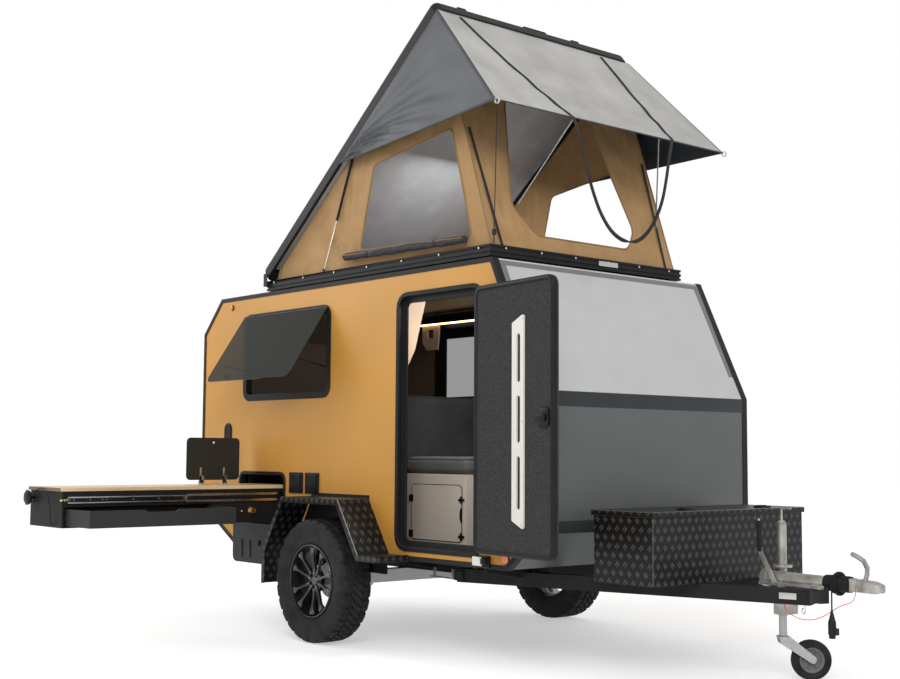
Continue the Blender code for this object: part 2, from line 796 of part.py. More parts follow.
for x0 in (bay_rear - PLY, bay_front, BED_X1 - PLY):
    fuse(joinery, block((x0, BAY_Y0, FLOOR_Z), (x0 + PLY, INNER_Y - 0.001, BED_Z - 0.005)))
fuse(joinery, block((BED_X1 - PLY, COUNTER_Y0, FLOOR_Z), (COUNTER_X1, COUNTER_Y0 + PLY, COUNTER_Z)))
fuse(joinery, block((BED_X1 - PLY, COUNTER_Y0, COUNTER_Z - PLY), (COUNTER_X1, INNER_Y - 0.001, COUNTER_Z)))
for x0 in (BED_X1 - PLY, COUNTER_X1 - PLY):
    fuse(joinery, block((x0, COUNTER_Y0 + 0.002, FLOOR_Z), (x0 + PLY, INNER_Y - 0.0015, COUNTER_Z - 0.005)))
link(
    "back_cushion",
    block(
        (BENCH_X0 - BACK_T, BENCH_Y0, BED_Z + GAP),
        (BENCH_X0 - GAP, BENCH_Y1, BED_Z + BACK_H),
    ),
    CLOTH,
)
SHELF_H = 0.100
shelf_top = ROOF_Z - WALL - GAP
shelf = link(
    "roof_shelf",
    block((-1.300, 0.560, shelf_top - SHELF_H), (COUNTER_X1, INNER_Y - GAP, shelf_top)),
    CREAM,
)
cut(
    shelf,
    block(
        (-1.300 + PLY, 0.500, shelf_top - SHELF_H + PLY),
        (COUNTER_X1 - PLY, INNER_Y - PLY, shelf_top - PLY),
    ),
)

# Chassis: rails, cross members and outriggers under the floor, and two beams that meet at the coupling
RAIL_Y = 0.520
RAIL_W = 0.050
RAIL_H = 0.100
CHASSIS_TOP = SKIRT_Z - GAP
CHASSIS_Z0 = CHASSIS_TOP - RAIL_H
FRAME_REAR_X = TAIL_CUT_X + 0.005
FRAME_FRONT_X = CHIN_X - 0.105
APEX_X = 2.900
APEX_Y = 0.055
BEAM_REAR_X = 0.900
CROSS_XS = (FRAME_REAR_X + 0.02, -0.700, 0.420, FRAME_FRONT_X - 0.15)
CROSS_W = 0.050
CROSS_IN = 0.010
JACK_X = -1.000
JACK_PAD_T = 0.012


def bar_between(start, end, width, low, high):
    """A straight bar of rectangular section in plan."""
    start, end = Vector(start), Vector(end)
    along = (end - start).normalized()
    across = Vector((-along.y, along.x)) * width / 2
    return slab("z", [start + across, start - across, end - across, end + across], low, high)


chassis = None
for side, tag in SIDES:
    low, high = sorted((side * (RAIL_Y - RAIL_W), side * RAIL_Y))
    rail = block((FRAME_REAR_X, low, CHASSIS_Z0), (FRAME_FRONT_X, high, CHASSIS_TOP))
    if chassis:
        fuse(chassis, rail)
    else:
        chassis = link("chassis_frame", rail, BLACK)
OUTRIGGER_Y = HALF_WIDTH + TRIM_PROUD - TRIM_LEG - 0.006
for cross_x in CROSS_XS:
    fuse(
        chassis,
        block(
            (cross_x, -RAIL_Y + CROSS_IN, CHASSIS_Z0 + CROSS_IN),
            (cross_x + CROSS_W, RAIL_Y - CROSS_IN, CHASSIS_TOP - CROSS_IN),
        ),
    )
    for side, tag in SIDES:
        arm = [
            Vector((side * (RAIL_Y - CROSS_IN), CHASSIS_Z0 + 0.015)),
            Vector((side * (RAIL_Y - CROSS_IN), CHASSIS_TOP)),
            Vector((side * OUTRIGGER_Y, CHASSIS_TOP)),
            Vector((side * OUTRIGGER_Y, CHASSIS_TOP - 0.035)),
        ]
        fuse(chassis, slab("x", arm, cross_x + 0.015, cross_x + 0.035))
for side, tag in SIDES:
    fuse(
        chassis,
        bar_between(
            (BEAM_REAR_X, side * (RAIL_Y + 0.16)),
            (APEX_X, side * APEX_Y),
            BEAM_W,
            BEAM_Z0,
            BEAM_TOP_Z,
        ),
    )
    low, high = sorted((side * (RAIL_Y - 0.02), side * (RAIL_Y + 0.19)))
    plate_low, plate_high = BEAM_REAR_X - 0.02, BEAM_REAR_X + 0.06
    fuse(chassis, block((plate_low, low, BEAM_Z0 + 0.01), (plate_high, high, BEAM_TOP_Z - 0.012)))
    low, high = sorted((side * (RAIL_Y - RAIL_W - 0.005), side * (RAIL_Y + 0.005)))
    pad_z0, pad_z1 = CHASSIS_Z0 - JACK_PAD_T, CHASSIS_Z0 + 0.004
    fuse(chassis, block((JACK_X - 0.06, low, pad_z0), (JACK_X + 0.06, high, pad_z1)))
fuse(
    chassis,
    block(
        (APEX_X - 0.180, -APEX_Y - 0.040, BEAM_Z0 + 0.006),
        (APEX_X, APEX_Y + 0.040, BEAM_TOP_Z - 0.006),
    ),
)

# Axle: square torsion tube between the rails, with a trailing arm and hub at each end
AXLE_TUBE = 0.080
PIVOT_X = 0.150
PIVOT_Z = CHASSIS_Z0 - GAP - AXLE_TUBE / 2
ARM_Y = HALF_WIDTH - 0.116
ARM_T = 0.040
WHEEL_Y = TYRE_OUTER_Y - TYRE_W / 2
HUB_R = 0.062
DRUM_R = 0.110
axle = link(
    "axle_beam",
    block(
        (PIVOT_X - AXLE_TUBE / 2, -ARM_Y - 0.010, PIVOT_Z - AXLE_TUBE / 2),
        (PIVOT_X + AXLE_TUBE / 2, ARM_Y + 0.010, PIVOT_Z + AXLE_TUBE / 2),
    ),
    ZINC,
)
for side, tag in SIDES:
    arm = outline(
        [
            (PIVOT_X + 0.06, PIVOT_Z + 0.055, 0.03),
            (-0.060, AXLE_Z + 0.045, 0.03),
            (-0.060, AXLE_Z - 0.055, 0.03),
            (PIVOT_X + 0.06, PIVOT_Z - 0.055, 0.03),
        ]
    )
    fuse(
        axle,
        slab("y", arm, *sorted((side * ARM_Y, side * (ARM_Y + ARM_T)))),
        rod((0, side * (ARM_Y + 0.030), AXLE_Z), (0, side * (WHEEL_Y - 0.050), AXLE_Z), DRUM_R, 24),
        rod((0, side * (ARM_Y + 0.040), AXLE_Z), (0, side * (WHEEL_Y + 0.010 - GAP), AXLE_Z), 0.030, 16),
    )

# Wheels: tyres with a blocky tread, and black alloys of ten spokes
LUG = 0.009
LUG_COUNT = 26
SPOKES = 10
SPOKE_IN = 0.055
SPOKE_W = 0.026
SPOKE_T = 0.026
half = TYRE_W / 2


def tyre_section(step):
    """The tyre's outline: each side of the tread drops at every third step, one step apart."""
    left = TYRE_R - (LUG if step % 3 == 2 else 0)
    right = TYRE_R - (LUG if step % 3 == 1 else 0)
    return [
        (RIM_R + GAP, -half + 0.030),
        (RIM_R + 0.020, -half + 0.010),
        (RIM_R + 0.085, -half),
        (left - 0.030, -half + 0.004),
        (left, -half + 0.034),
        (left, -0.012),
        (TYRE_R - LUG, 0),
        (right, 0.012),
        (right, half - 0.034),
        (right - 0.030, half - 0.004),
        (RIM_R + 0.085, half),
        (RIM_R + 0.020, half - 0.010),
        (RIM_R + GAP, half - 0.030),
    ]


RIM_SECTION = [
    (RIM_R, -half + 0.032),
    (RIM_R, half - 0.032),
    (RIM_R - 0.004, half - 0.022),
    (RIM_R - 0.016, half - 0.022),
    (RIM_R - 0.020, half - 0.040),
    (RIM_R - 0.020, -half + 0.032),
]
for side, tag in SIDES:
    wheel_axis = empty("wheel_axis_" + tag, (0, side * WHEEL_Y, AXLE_Z), (0, 0, 0), VEHICLE)
    link("tyre_" + tag, turned("y", (0, 0, 0), tyre_section, 3 * LUG_COUNT), RUBBER, wheel_axis, 30)
    section = [(radius, side * depth) for radius, depth in RIM_SECTION]
    rim = link("rim_" + tag, turned("y", (0, 0, 0), section, 40), ALLOY, wheel_axis, 30)
    face = side * (half - 0.048)
    spokes = []
    for spoke in range(SPOKES):
        angle = 2 * math.pi * spoke / SPOKES
        along = Vector((math.cos(angle), math.sin(angle)))
        across = Vector((-along.y, along.x)) * SPOKE_W / 2
        root, tip = along * SPOKE_IN, along * (RIM_R - 0.012)
        plan = [root + across, root - across, tip - across * 0.75, tip + across * 0.75]
        spokes.append(slab("y", plan, *sorted((face, face - side * SPOKE_T))))
    fuse(
        rim,
        rod((0, side * (0.010 + GAP), 0), (0, face - side * 0.006, 0), HUB_R, 20),
        gather(spokes),
        rod((0, face - side * 0.010, 0), (0, face + side * 0.012, 0), 0.034, 20),
    )

# Fenders: folded tread plate over each wheel with an outer lip, a step in front and a flap behind
FENDER_T = 0.003
FENDER_LIP = 0.035
FENDER_LEDGE = 0.022
FLAP_FOOT_Z = 0.330
# Fold lines from the step's end back over the wheel, in rows of x and z
FENDER_FOLD = [
    (0.700, 0.570),
    (0.520, 0.570),
    (0.310, 0.890),
    (-0.310, 0.890),
    (-0.520, 0.550),
    (-0.520, FLAP_FOOT_Z),
]


def folded(depth):
    """A strip below the fender's fold lines, as deep as given."""
    line = [Vector(p) for p in FENDER_FOLD]
    below = []
    for i, here in enumerate(line):
        into = (here - line[max(i - 1, 0)]).normalized() if i else (line[1] - here).normalized()
        away = (line[i + 1] - here).normalized() if i + 1 < len(line) else into
        normals = Vector((-into.y, into.x)), Vector((-away.y, away.x))
        mitre = (normals[0] + normals[1]).normalized()
        below.append(here + mitre * depth / mitre.dot(normals[0]))
    return line + below[::-1]


for side, tag in SIDES:
    inner = side * (HALF_WIDTH + TRIM_PROUD + GAP)
    outer = side * FENDER_OUTER_Y
    fender = link("fender_" + tag, slab("y", folded(FENDER_T), *sorted((inner, outer))), TREAD)
    low, high = sorted((side * (HALF_WIDTH + GAP), inner + side * 0.002))
    (front_x, top_z), (rear_x, _) = FENDER_FOLD[2:4]
    fuse(
        fender,
        slab("y", folded(FENDER_LIP), *sorted((outer - side * FENDER_T, outer))),
        block((rear_x, low, top_z - FENDER_T), (front_x, high, top_z + FENDER_LEDGE)),
    )

# Storage box on the drawbar, open inside, with a hinged tread plate lid
BOX_TO_NOSE = 0.169
BOX_L = 0.411
BOX_HALF = 0.642
BOX_Z1 = 0.850
BOX_SHEET = 0.003
LID_T = 0.030
LID_LIP = 0.012
BOX_X0 = NOSE_X + BOX_TO_NOSE
BOX_X1 = BOX_X0 + BOX_L
BOX_Z0 = BEAM_TOP_Z + GAP
box = link("storage_box", block((BOX_X0, -BOX_HALF, BOX_Z0), (BOX_X1, BOX_HALF, BOX_Z1)), TREAD)
cut(
    box,
    block(
        (BOX_X0 + BOX_SHEET, -BOX_HALF + BOX_SHEET, BOX_Z0 + BOX_SHEET),
        (BOX_X1 - BOX_SHEET, BOX_HALF - BOX_SHEET, BOX_Z1 + 0.05),
    ),
)
box_axis = empty("box_axis", (BOX_X0 - LID_LIP, 0, BOX_Z1), (0, 0, 0), VEHICLE)
lid_length = BOX_L + 2 * LID_LIP
lid_half = BOX_HALF + LID_LIP
lid = link("storage_lid", block((0.0, -lid_half, GAP), (lid_length, lid_half, LID_T)), TREAD, box_axis)
fuse(lid, rod((0.004, -lid_half, 0.006), (0.004, lid_half, 0.006), 0.0055, 12))
PAD_X = lid_length - 0.055
for latch_y in (-0.330, 0.330):
    pad = rectangle(PAD_X - 0.030, latch_y - 0.045, PAD_X + 0.030, latch_y + 0.045, 0.012)
    fuse(lid, slab("z", pad, LID_T - 0.002, LID_T + 0.006))

# Overrun housing with its rubber bellows, and the coupling head with its lever
HOUSING_X0 = BOX_X1 + 0.200
HOUSING_HALF = 0.045
BELLOWS_X0 = APEX_X + 0.050
BELLOWS_X1 = HEAD_NOSE_X - 0.180
BELLOWS_R = 0.042
BELLOWS_FOLDS = 5
SHAFT_R = 0.022
housing = link(
    "overrun_housing",
    slab(
        "z",
        rectangle(HOUSING_X0, -HOUSING_HALF, BELLOWS_X0 - 0.010, HOUSING_HALF, 0.012),
        BEAM_TOP_Z + GAP,
        BEAM_TOP_Z + 0.016,
    ),
    ZINC,
)
fuse(
    housing,
    rod((HOUSING_X0 + 0.010, 0, HEAD_Z), (HOUSING_X0 + 0.045, 0, HEAD_Z), 0.046, 20),
    rod((HOUSING_X0 + 0.030, 0, HEAD_Z), (BELLOWS_X0 - GAP, 0, HEAD_Z), 0.038, 20, 0.033),
)
cable_exit = Vector((BELLOWS_X0 + 0.018, -(BELLOWS_R + 0.007), HEAD_Z - 0.018))
gland_x = BELLOWS_X0 - 0.060
fuse(
    housing,
    rod((gland_x, cable_exit.y, cable_exit.z), cable_exit, 0.006, 12),
    block((gland_x, cable_exit.y, cable_exit.z - 0.014), (gland_x + 0.030, 0.0, cable_exit.z + 0.006)),
)
folds = [(SHAFT_R + GAP, BELLOWS_X1 - GAP), (SHAFT_R + GAP, BELLOWS_X0)]
for fold in range(BELLOWS_FOLDS):
    pitch = (BELLOWS_X1 - GAP - BELLOWS_X0) / BELLOWS_FOLDS
    folds.append((BELLOWS_R - 0.010, BELLOWS_X0 + fold * pitch))
    folds.append((BELLOWS_R, BELLOWS_X0 + (fold + 0.5) * pitch))
folds.append((BELLOWS_R - 0.010, BELLOWS_X1 - GAP))
link("drawbar_bellows", turned("x", (0, 0, HEAD_Z), folds, 20), RUBBER, VEHICLE, 30)

HEAD_X0 = BELLOWS_X1
HEAD_H0 = 0.032
HEAD_W0 = 0.028
HEAD_W1 = 0.038
head_side = outline(
    [
        (HEAD_X0, HEAD_Z - HEAD_H0, 0.0),
        (HEAD_NOSE_X - 0.020, HEAD_Z - HEAD_H0, 0.0),
        (HEAD_NOSE_X, HEAD_Z - HEAD_H0 + 0.012, 0.010),
        (HEAD_NOSE_X, HEAD_Z + 0.006, 0.020),
        (HEAD_NOSE_X - 0.060, HEAD_Z + 0.024, 0.020),
        (HEAD_X0, HEAD_Z + HEAD_H0, 0.0),
    ]
)
head = link("coupling_head", slab("y", head_side, -HEAD_W1 - 0.01, HEAD_W1 + 0.01), ZINC)
head_plan = outline(
    [
        (HEAD_X0 - 0.05, -HEAD_W0, 0.0),
        (HEAD_X0 + 0.040, -HEAD_W0, 0.030),
        (HEAD_X0 + 0.090, -HEAD_W1, 0.030),
        (HEAD_NOSE_X, -HEAD_W1, 0.034),
        (HEAD_NOSE_X, HEAD_W1, 0.034),
        (HEAD_X0 + 0.090, HEAD_W1, 0.030),
        (HEAD_X0 + 0.040, HEAD_W0, 0.030),
        (HEAD_X0 - 0.05, HEAD_W0, 0.0),
    ]
)
combine(head, [slab("z", head_plan, HEAD_Z - 0.1, HEAD_Z + 0.1)], "INTERSECT")
# Lever of the coupling, in rows of distance along the head and height above its middle
LEVER = [(0.072, 0.012), (0.088, 0.055), (0.090, 0.090), (0.070, 0.122), (0.030, 0.143), (0.002, 0.153)]
fuse(
    head,
    rod((BELLOWS_X0 + 0.002, 0, HEAD_Z), (HEAD_X0 + 0.010, 0, HEAD_Z), SHAFT_R, 20),
    bent([(HEAD_X0 + x, 0, HEAD_Z + rise) for x, rise in LEVER], 0.012, 12),
)
SOCKET_X = HEAD_NOSE_X - 0.040
cut(head, rod((SOCKET_X, 0, HEAD_Z - 0.080), (SOCKET_X, 0, HEAD_Z - 0.006), 0.026, 20))

# Handbrake lever beside the housing: an arm and a thicker grip, in rows of reach and rise
BRAKE_Y = -(HOUSING_HALF + 0.010 + GAP)
BRAKE_ARM = [(0.122, 0.010), (0.112, 0.020), (0.030, 0.165), (0.026, 0.190)]
BRAKE_GRIP = [(0.026, 0.175), (0.020, 0.335)]
arm, grip = (
    [(HOUSING_X0 + reach, BRAKE_Y, BEAM_TOP_Z + rise) for reach, rise in rows]
    for rows in (BRAKE_ARM, BRAKE_GRIP)
)
brake = link("handbrake_lever", bent(arm, 0.010, 12), ZINC)
fuse(brake, rod(*grip, 0.014, 12))

# Jockey wheel: outer tube clamped beside the housing, inner tube with a fork that swivels, and the wheel
JOCKEY_X = HOUSING_X0 + 0.066
JOCKEY_Y = 0.080
JOCKEY_R = 0.105
JOCKEY_W = 0.050
TUBE_R = 0.025
TUBE_TOP = 0.830
TUBE_LOW = 0.335
CLAMP_Z0 = 0.340
TRAIL = 0.145
SWIVEL_REST = math.radians(49.6)
FORK_Y = 0.032
FORK_T = 0.005
BEARING_R = 0.009
outer_tube = link(
    "jockey_tube",
    rod((JOCKEY_X, JOCKEY_Y, TUBE_LOW), (JOCKEY_X, JOCKEY_Y, TUBE_TOP - 0.015), TUBE_R, 20),
    ZINC,
)
fuse(
    outer_tube,
    rod((JOCKEY_X, JOCKEY_Y, TUBE_TOP - 0.016), (JOCKEY_X, JOCKEY_Y, TUBE_TOP), TUBE_R, 20, TUBE_R - 0.010),
    rod((JOCKEY_X, JOCKEY_Y, BEAM_TOP_Z + 0.086), (JOCKEY_X, JOCKEY_Y, BEAM_TOP_Z + 0.098), 0.052, 20),
    slab(
        "z",
        rectangle(JOCKEY_X - 0.038, JOCKEY_Y - 0.036, JOCKEY_X + 0.038, JOCKEY_Y + 0.090, 0.012),
        CLAMP_Z0,
        BEAM_Z0 - GAP,
    ),
    bent(
        [
            (JOCKEY_X, JOCKEY_Y, TUBE_TOP - 0.010),
            (JOCKEY_X, JOCKEY_Y, TUBE_TOP + 0.062),
            (JOCKEY_X + 0.060, JOCKEY_Y, TUBE_TOP + 0.066),
        ],
        0.007,
        10,
    ),
)
swivel_axis = empty("swivel_axis", (JOCKEY_X, JOCKEY_Y, 0), (0, 0, SWIVEL_REST), VEHICLE)
YOKE_Z = 2 * JOCKEY_R + 0.012
inner_tube = rod((0, 0, YOKE_Z), (0, 0, TUBE_LOW - GAP), TUBE_R - 0.004, 20)
fork = link("jockey_fork", inner_tube, ZINC, swivel_axis)
pin_half = FORK_Y + FORK_T + 0.006
fuse(
    fork,
    block((-0.028, -FORK_Y - FORK_T, YOKE_Z - 0.004), (0.030, FORK_Y + FORK_T, YOKE_Z + 0.006)),
    rod((TRAIL, -pin_half, JOCKEY_R), (TRAIL, pin_half, JOCKEY_R), BEARING_R - 0.001, 12),
)
for side, tag in SIDES:
    cheek = outline(
        [
            (-0.028, YOKE_Z + 0.004, 0.006),
            (0.030, YOKE_Z + 0.004, 0.006),
            (TRAIL + 0.024, JOCKEY_R + 0.012, 0.016),
            (TRAIL + 0.010, JOCKEY_R - 0.024, 0.016),
            (-0.020, YOKE_Z - 0.030, 0.010),
        ]
    )
    fuse(fork, slab("y", cheek, *sorted((side * FORK_Y, side * (FORK_Y + FORK_T)))))
spin_axis = empty("spin_axis", (TRAIL, 0, JOCKEY_R), (0, 0, 0), swivel_axis)
half_w = JOCKEY_W / 2
jockey_section = [
    (BEARING_R, -half_w - 0.004),
    (0.026, -half_w - 0.004),
    (0.030, -half_w + 0.008),
    (0.068, -half_w + 0.006),
    (0.076, -half_w),
    (JOCKEY_R - 0.008, -half_w + 0.002),
    (JOCKEY_R, -half_w + 0.012),
    (JOCKEY_R, half_w - 0.012),
    (JOCKEY_R - 0.008, half_w - 0.002),
    (0.076, half_w),
    (0.068, half_w - 0.006),
    (0.030, half_w - 0.008),
    (0.026, half_w + 0.004),
    (BEARING_R, half_w + 0.004),
]
link("jockey_wheel", turned("y", (0, 0, 0), jockey_section, 24), RUBBER, spin_axis, 30)

# Rooftop tent base: a grooved rail all round, a floor sheet, cross bars on the roof, lugs and strut feet
TENT_HALF = HALF_WIDTH - 0.072
TENT_X0 = -1.011
TENT_X1 = 1.331
TENT_FOOT = 0.028
TENT_RAIL_H = 0.070
TENT_RAIL_W = 0.045
TENT_FLOOR_T = 0.020
GROOVE = 0.006
TENT_Z0 = ROOF_Z + TENT_FOOT
TENT_Z1 = TENT_Z0 + TENT_RAIL_H
SHELL_HALF = TENT_HALF + 0.018
SHELL_L = 2.370
SHELL_BACK = 0.012
SHELL_RIM = 0.080
SHELL_WALL = 0.025
SHELL_TOP_T = 0.015
SHELL_CLEAR = 0.006
SHELL_OPEN = math.radians(38.5)
SHELL_AXIS_X = TENT_X0 + 0.008
SHELL_AXIS_Z = TENT_Z1 + 0.034
SHELL_PIN_R = 0.006
STRUT_Y = TENT_HALF - 0.024
STRUT_FOOT_X = -0.342
STRUT_FOOT_Z = TENT_Z1 + 0.016
STRUT_EYE = 1.290
STRUT_ROD_L = 0.450
STRUT_ROD_R = 0.004
BARREL_L = 0.550
BARREL_R = 0.0085
EYE_R = 0.007
base_section = [
    (0, TENT_Z0),
    (0, TENT_Z0 + 0.014),
    (GROOVE, TENT_Z0 + 0.014),
    (GROOVE, TENT_Z0 + 0.026),
    (0, TENT_Z0 + 0.026),
    (0, TENT_Z0 + 0.044),
    (GROOVE, TENT_Z0 + 0.044),
    (GROOVE, TENT_Z0 + 0.056),
    (0, TENT_Z0 + 0.056),
    (0, TENT_Z1),
    (TENT_RAIL_W, TENT_Z1),
    (TENT_RAIL_W, TENT_Z0),
]
base_at = rounded(TENT_X0, -TENT_HALF, TENT_X1, TENT_HALF, 0)
base = link("tent_base", carried("z", base_at, base_section), BLACK)
inside = TENT_RAIL_W - 0.002
fuse(
    base,
    block(
        (TENT_X0 + inside, -TENT_HALF + inside, TENT_Z1 - TENT_FLOOR_T),
        (TENT_X1 - inside, TENT_HALF - inside, TENT_Z1 - 0.0001),
    ),
)
foot_y = TENT_HALF - 0.03
for foot_x in (TENT_X0 + 0.10, (TENT_X0 + TENT_X1) / 2, TENT_X1 - 0.10):
    low, high = (foot_x - 0.03, -foot_y, ROOF_Z + GAP), (foot_x + 0.03, foot_y, TENT_Z0 + 0.004)
    fuse(base, block(low, high))
for side, tag in SIDES:
    lug_in, lug_out = side * (SHELL_HALF + GAP), side * (SHELL_HALF + 0.006)
    fuse(
        base,
        block(
            (SHELL_AXIS_X - 0.006, min(side * (TENT_HALF - 0.004), lug_out), TENT_Z0 + 0.030),
            (SHELL_AXIS_X + 0.030, max(side * (TENT_HALF - 0.004), lug_out), TENT_Z1 - 0.004),
        ),
        block(
            (SHELL_AXIS_X - 0.014, min(lug_in, lug_out), TENT_Z0 + 0.032),
            (SHELL_AXIS_X + 0.028, max(lug_in, lug_out), SHELL_AXIS_Z + 0.016),
        ),
        rod(
            (SHELL_AXIS_X, lug_out, SHELL_AXIS_Z),
            (SHELL_AXIS_X, side * (SHELL_HALF - SHELL_WALL + 0.008), SHELL_AXIS_Z),
            SHELL_PIN_R,
            12,
        ),
    )
    foot_in, foot_out = side * (STRUT_Y + 0.0065), side * (STRUT_Y + 0.0105)
    pin_ends = [(STRUT_FOOT_X, y, STRUT_FOOT_Z) for y in (foot_out, side * (STRUT_Y - 0.004))]
    fuse(
        base,
        block(
            (STRUT_FOOT_X - 0.010, min(foot_in, foot_out), TENT_Z1 - 0.004),
            (STRUT_FOOT_X + 0.010, max(foot_in, foot_out), STRUT_FOOT_Z + 0.008),
        ),
        rod(*pin_ends, 0.003, 10),
    )

# Tent shell: a shallow lid on pins at its rear corners, with clamps and a handle on its front edge
shell_axis = empty("shell_axis", (SHELL_AXIS_X, 0, SHELL_AXIS_Z), (0, -SHELL_OPEN, 0), VEHICLE)
RIM_LOW = TENT_Z1 + SHELL_CLEAR - SHELL_AXIS_Z
RIM_TOP = RIM_LOW + SHELL_RIM
shell_plan = rounded(-SHELL_BACK, -SHELL_HALF, SHELL_L, SHELL_HALF, 0.045)
shell = link(
    "tent_shell",
    stack(
        "z",
        [
            (shell_plan(0), RIM_LOW),
            (shell_plan(0), RIM_TOP - 0.022),
            (shell_plan(0.006), RIM_TOP - 0.008),
            (shell_plan(0.020), RIM_TOP),
        ],
    ),
    BLACK,
    shell_axis,
)
cut(
    shell,
    slab("z", shell_plan(SHELL_WALL), RIM_LOW - 0.05, RIM_TOP - SHELL_TOP_T),
    rod((0, -SHELL_HALF - 0.02, 0), (0, -SHELL_HALF + 0.020, 0), SHELL_PIN_R + GAP, 12),
    rod((0, SHELL_HALF - 0.020, 0), (0, SHELL_HALF + 0.02, 0), SHELL_PIN_R + GAP, 12),
)
for side, tag in SIDES:
    boss_in = side * (STRUT_Y + BARREL_R + GAP)
    fuse(shell, rod((STRUT_EYE, side * (SHELL_HALF - 0.015), 0), (STRUT_EYE, boss_in, 0), 0.008, 12))
for clamp_y in (-0.600, 0.400):
    low = SHELL_L - 0.060, clamp_y - 0.035, RIM_TOP - 0.004
    high = SHELL_L - 0.012, clamp_y + 0.035, RIM_TOP + 0.022
    fuse(shell, block(low, high))
HANDLE_Y0, HANDLE_Y1, HANDLE_X = -0.060, 0.170, SHELL_L - 0.035
fuse(
    shell,
    bent(
        [
            (HANDLE_X, HANDLE_Y0, RIM_TOP - 0.004),
            (HANDLE_X, HANDLE_Y0 + 0.022, RIM_TOP + 0.045),
            (HANDLE_X, HANDLE_Y1 - 0.022, RIM_TOP + 0.045),
            (HANDLE_X, HANDLE_Y1, RIM_TOP - 0.004),
        ],
        0.010,
        10,
    ),
)
MATTRESS_T = 0.060
link(
    "tent_mattress",
    block(
        (TENT_X0 + 0.110, -TENT_HALF + 0.100, TENT_Z1 + GAP),
        (TENT_X1 - 0.150, TENT_HALF - 0.100, TENT_Z1 + MATTRESS_T),
    ),
    CLOTH,
)


def on_shell(distance, drop=0.0):
    """A point of the open shell, at a distance from its hinge and a drop below the hinge plane."""
    return Vector(
        (
            SHELL_AXIS_X + distance * math.cos(SHELL_OPEN) + drop * math.sin(SHELL_OPEN),
            SHELL_AXIS_Z + distance * math.sin(SHELL_OPEN) - drop * math.cos(SHELL_OPEN),
        )
    )


# Tent canvas: a thin wedge between base and shell, with a window each side and one in front
CANVAS_HALF = TENT_HALF - 0.034
CANVAS_T = 0.006
CANVAS_REAR_X = TENT_X0 + 0.081
CANVAS_FRONT_X = TENT_X1 - 0.031
RIM_DROP = -RIM_LOW + 0.001
canvas_top = on_shell(SHELL_L - 0.060, RIM_DROP)
wedge = [
    Vector((CANVAS_REAR_X, TENT_Z1 + GAP)),
    Vector((CANVAS_FRONT_X, TENT_Z1 + GAP)),
    canvas_top,
    on_shell(0.120, RIM_DROP),
]
canvas = link("tent_canvas", slab("y", wedge, -CANVAS_HALF, CANVAS_HALF), CANVAS)
hollow = [
    Vector((CANVAS_REAR_X - 0.27, TENT_Z1 - 0.1)),
    Vector((CANVAS_FRONT_X - CANVAS_T, TENT_Z1 - 0.1)),
    Vector((CANVAS_FRONT_X - CANVAS_T, TENT_Z1)),
    canvas_top - Vector((CANVAS_T, 0)),
    on_shell(SHELL_L - 0.060, RIM_DROP - 0.2),
    on_shell(-0.100, RIM_DROP - 0.2),
]
cut(canvas, slab("y", hollow, -CANVAS_HALF + CANVAS_T, CANVAS_HALF - CANVAS_T))
# Window corners, in rows of x or y, z and corner radius
SIDE_WINDOW = [
    (0.035, 2.470, 0.03),
    (1.130, 2.430, 0.03),
    (0.945, 3.110, 0.05),
    (0.175, 3.010, 0.05),
]
FRONT_WINDOW = [
    (-0.560, 2.640, 0.10),
    (-0.400, 2.462, 0.10),
    (0.400, 2.462, 0.10),
    (0.500, 2.600, 0.10),
    (0.330, 3.350, 0.05),
    (-0.400, 3.350, 0.05),
]
cut(
    canvas,
    slab("y", outline(SIDE_WINDOW), -1.0, 1.0),
    slab("x", outline(FRONT_WINDOW), 0.5, 1.5),
)

# Fly sheet: from the shell's front and side edges down to the awning edge
FLY_T = 0.004
FLY_BACK = 1.100
AWNING_X = 1.550
AWNING_Y = SHELL_HALF + 0.145
AWNING_Z = 3.128
shell_front = on_shell(SHELL_L - 0.010, RIM_DROP)
shell_back = on_shell(FLY_BACK, RIM_DROP)
corners = [
    (shell_back.x, -SHELL_HALF, shell_back.y),
    (shell_front.x, -SHELL_HALF, shell_front.y),
    (AWNING_X, -AWNING_Y, AWNING_Z),
    (AWNING_X, AWNING_Y, AWNING_Z),
    (shell_front.x, SHELL_HALF, shell_front.y),
    (shell_back.x, SHELL_HALF, shell_back.y),
]
fly = bmesh.new()
points = [fly.verts.new(p) for p in corners]
fly.faces.new((points[0], points[1], points[2]))
fly.faces.new((points[1], points[4], points[3], points[2]))
fly.faces.new((points[5], points[3], points[4]))
fly_sheet = link("tent_fly", fly, FLY)
thicken = fly_sheet.modifiers.new("thickness", "SOLIDIFY")
thicken.thickness = FLY_T
thicken.offset = 1.0

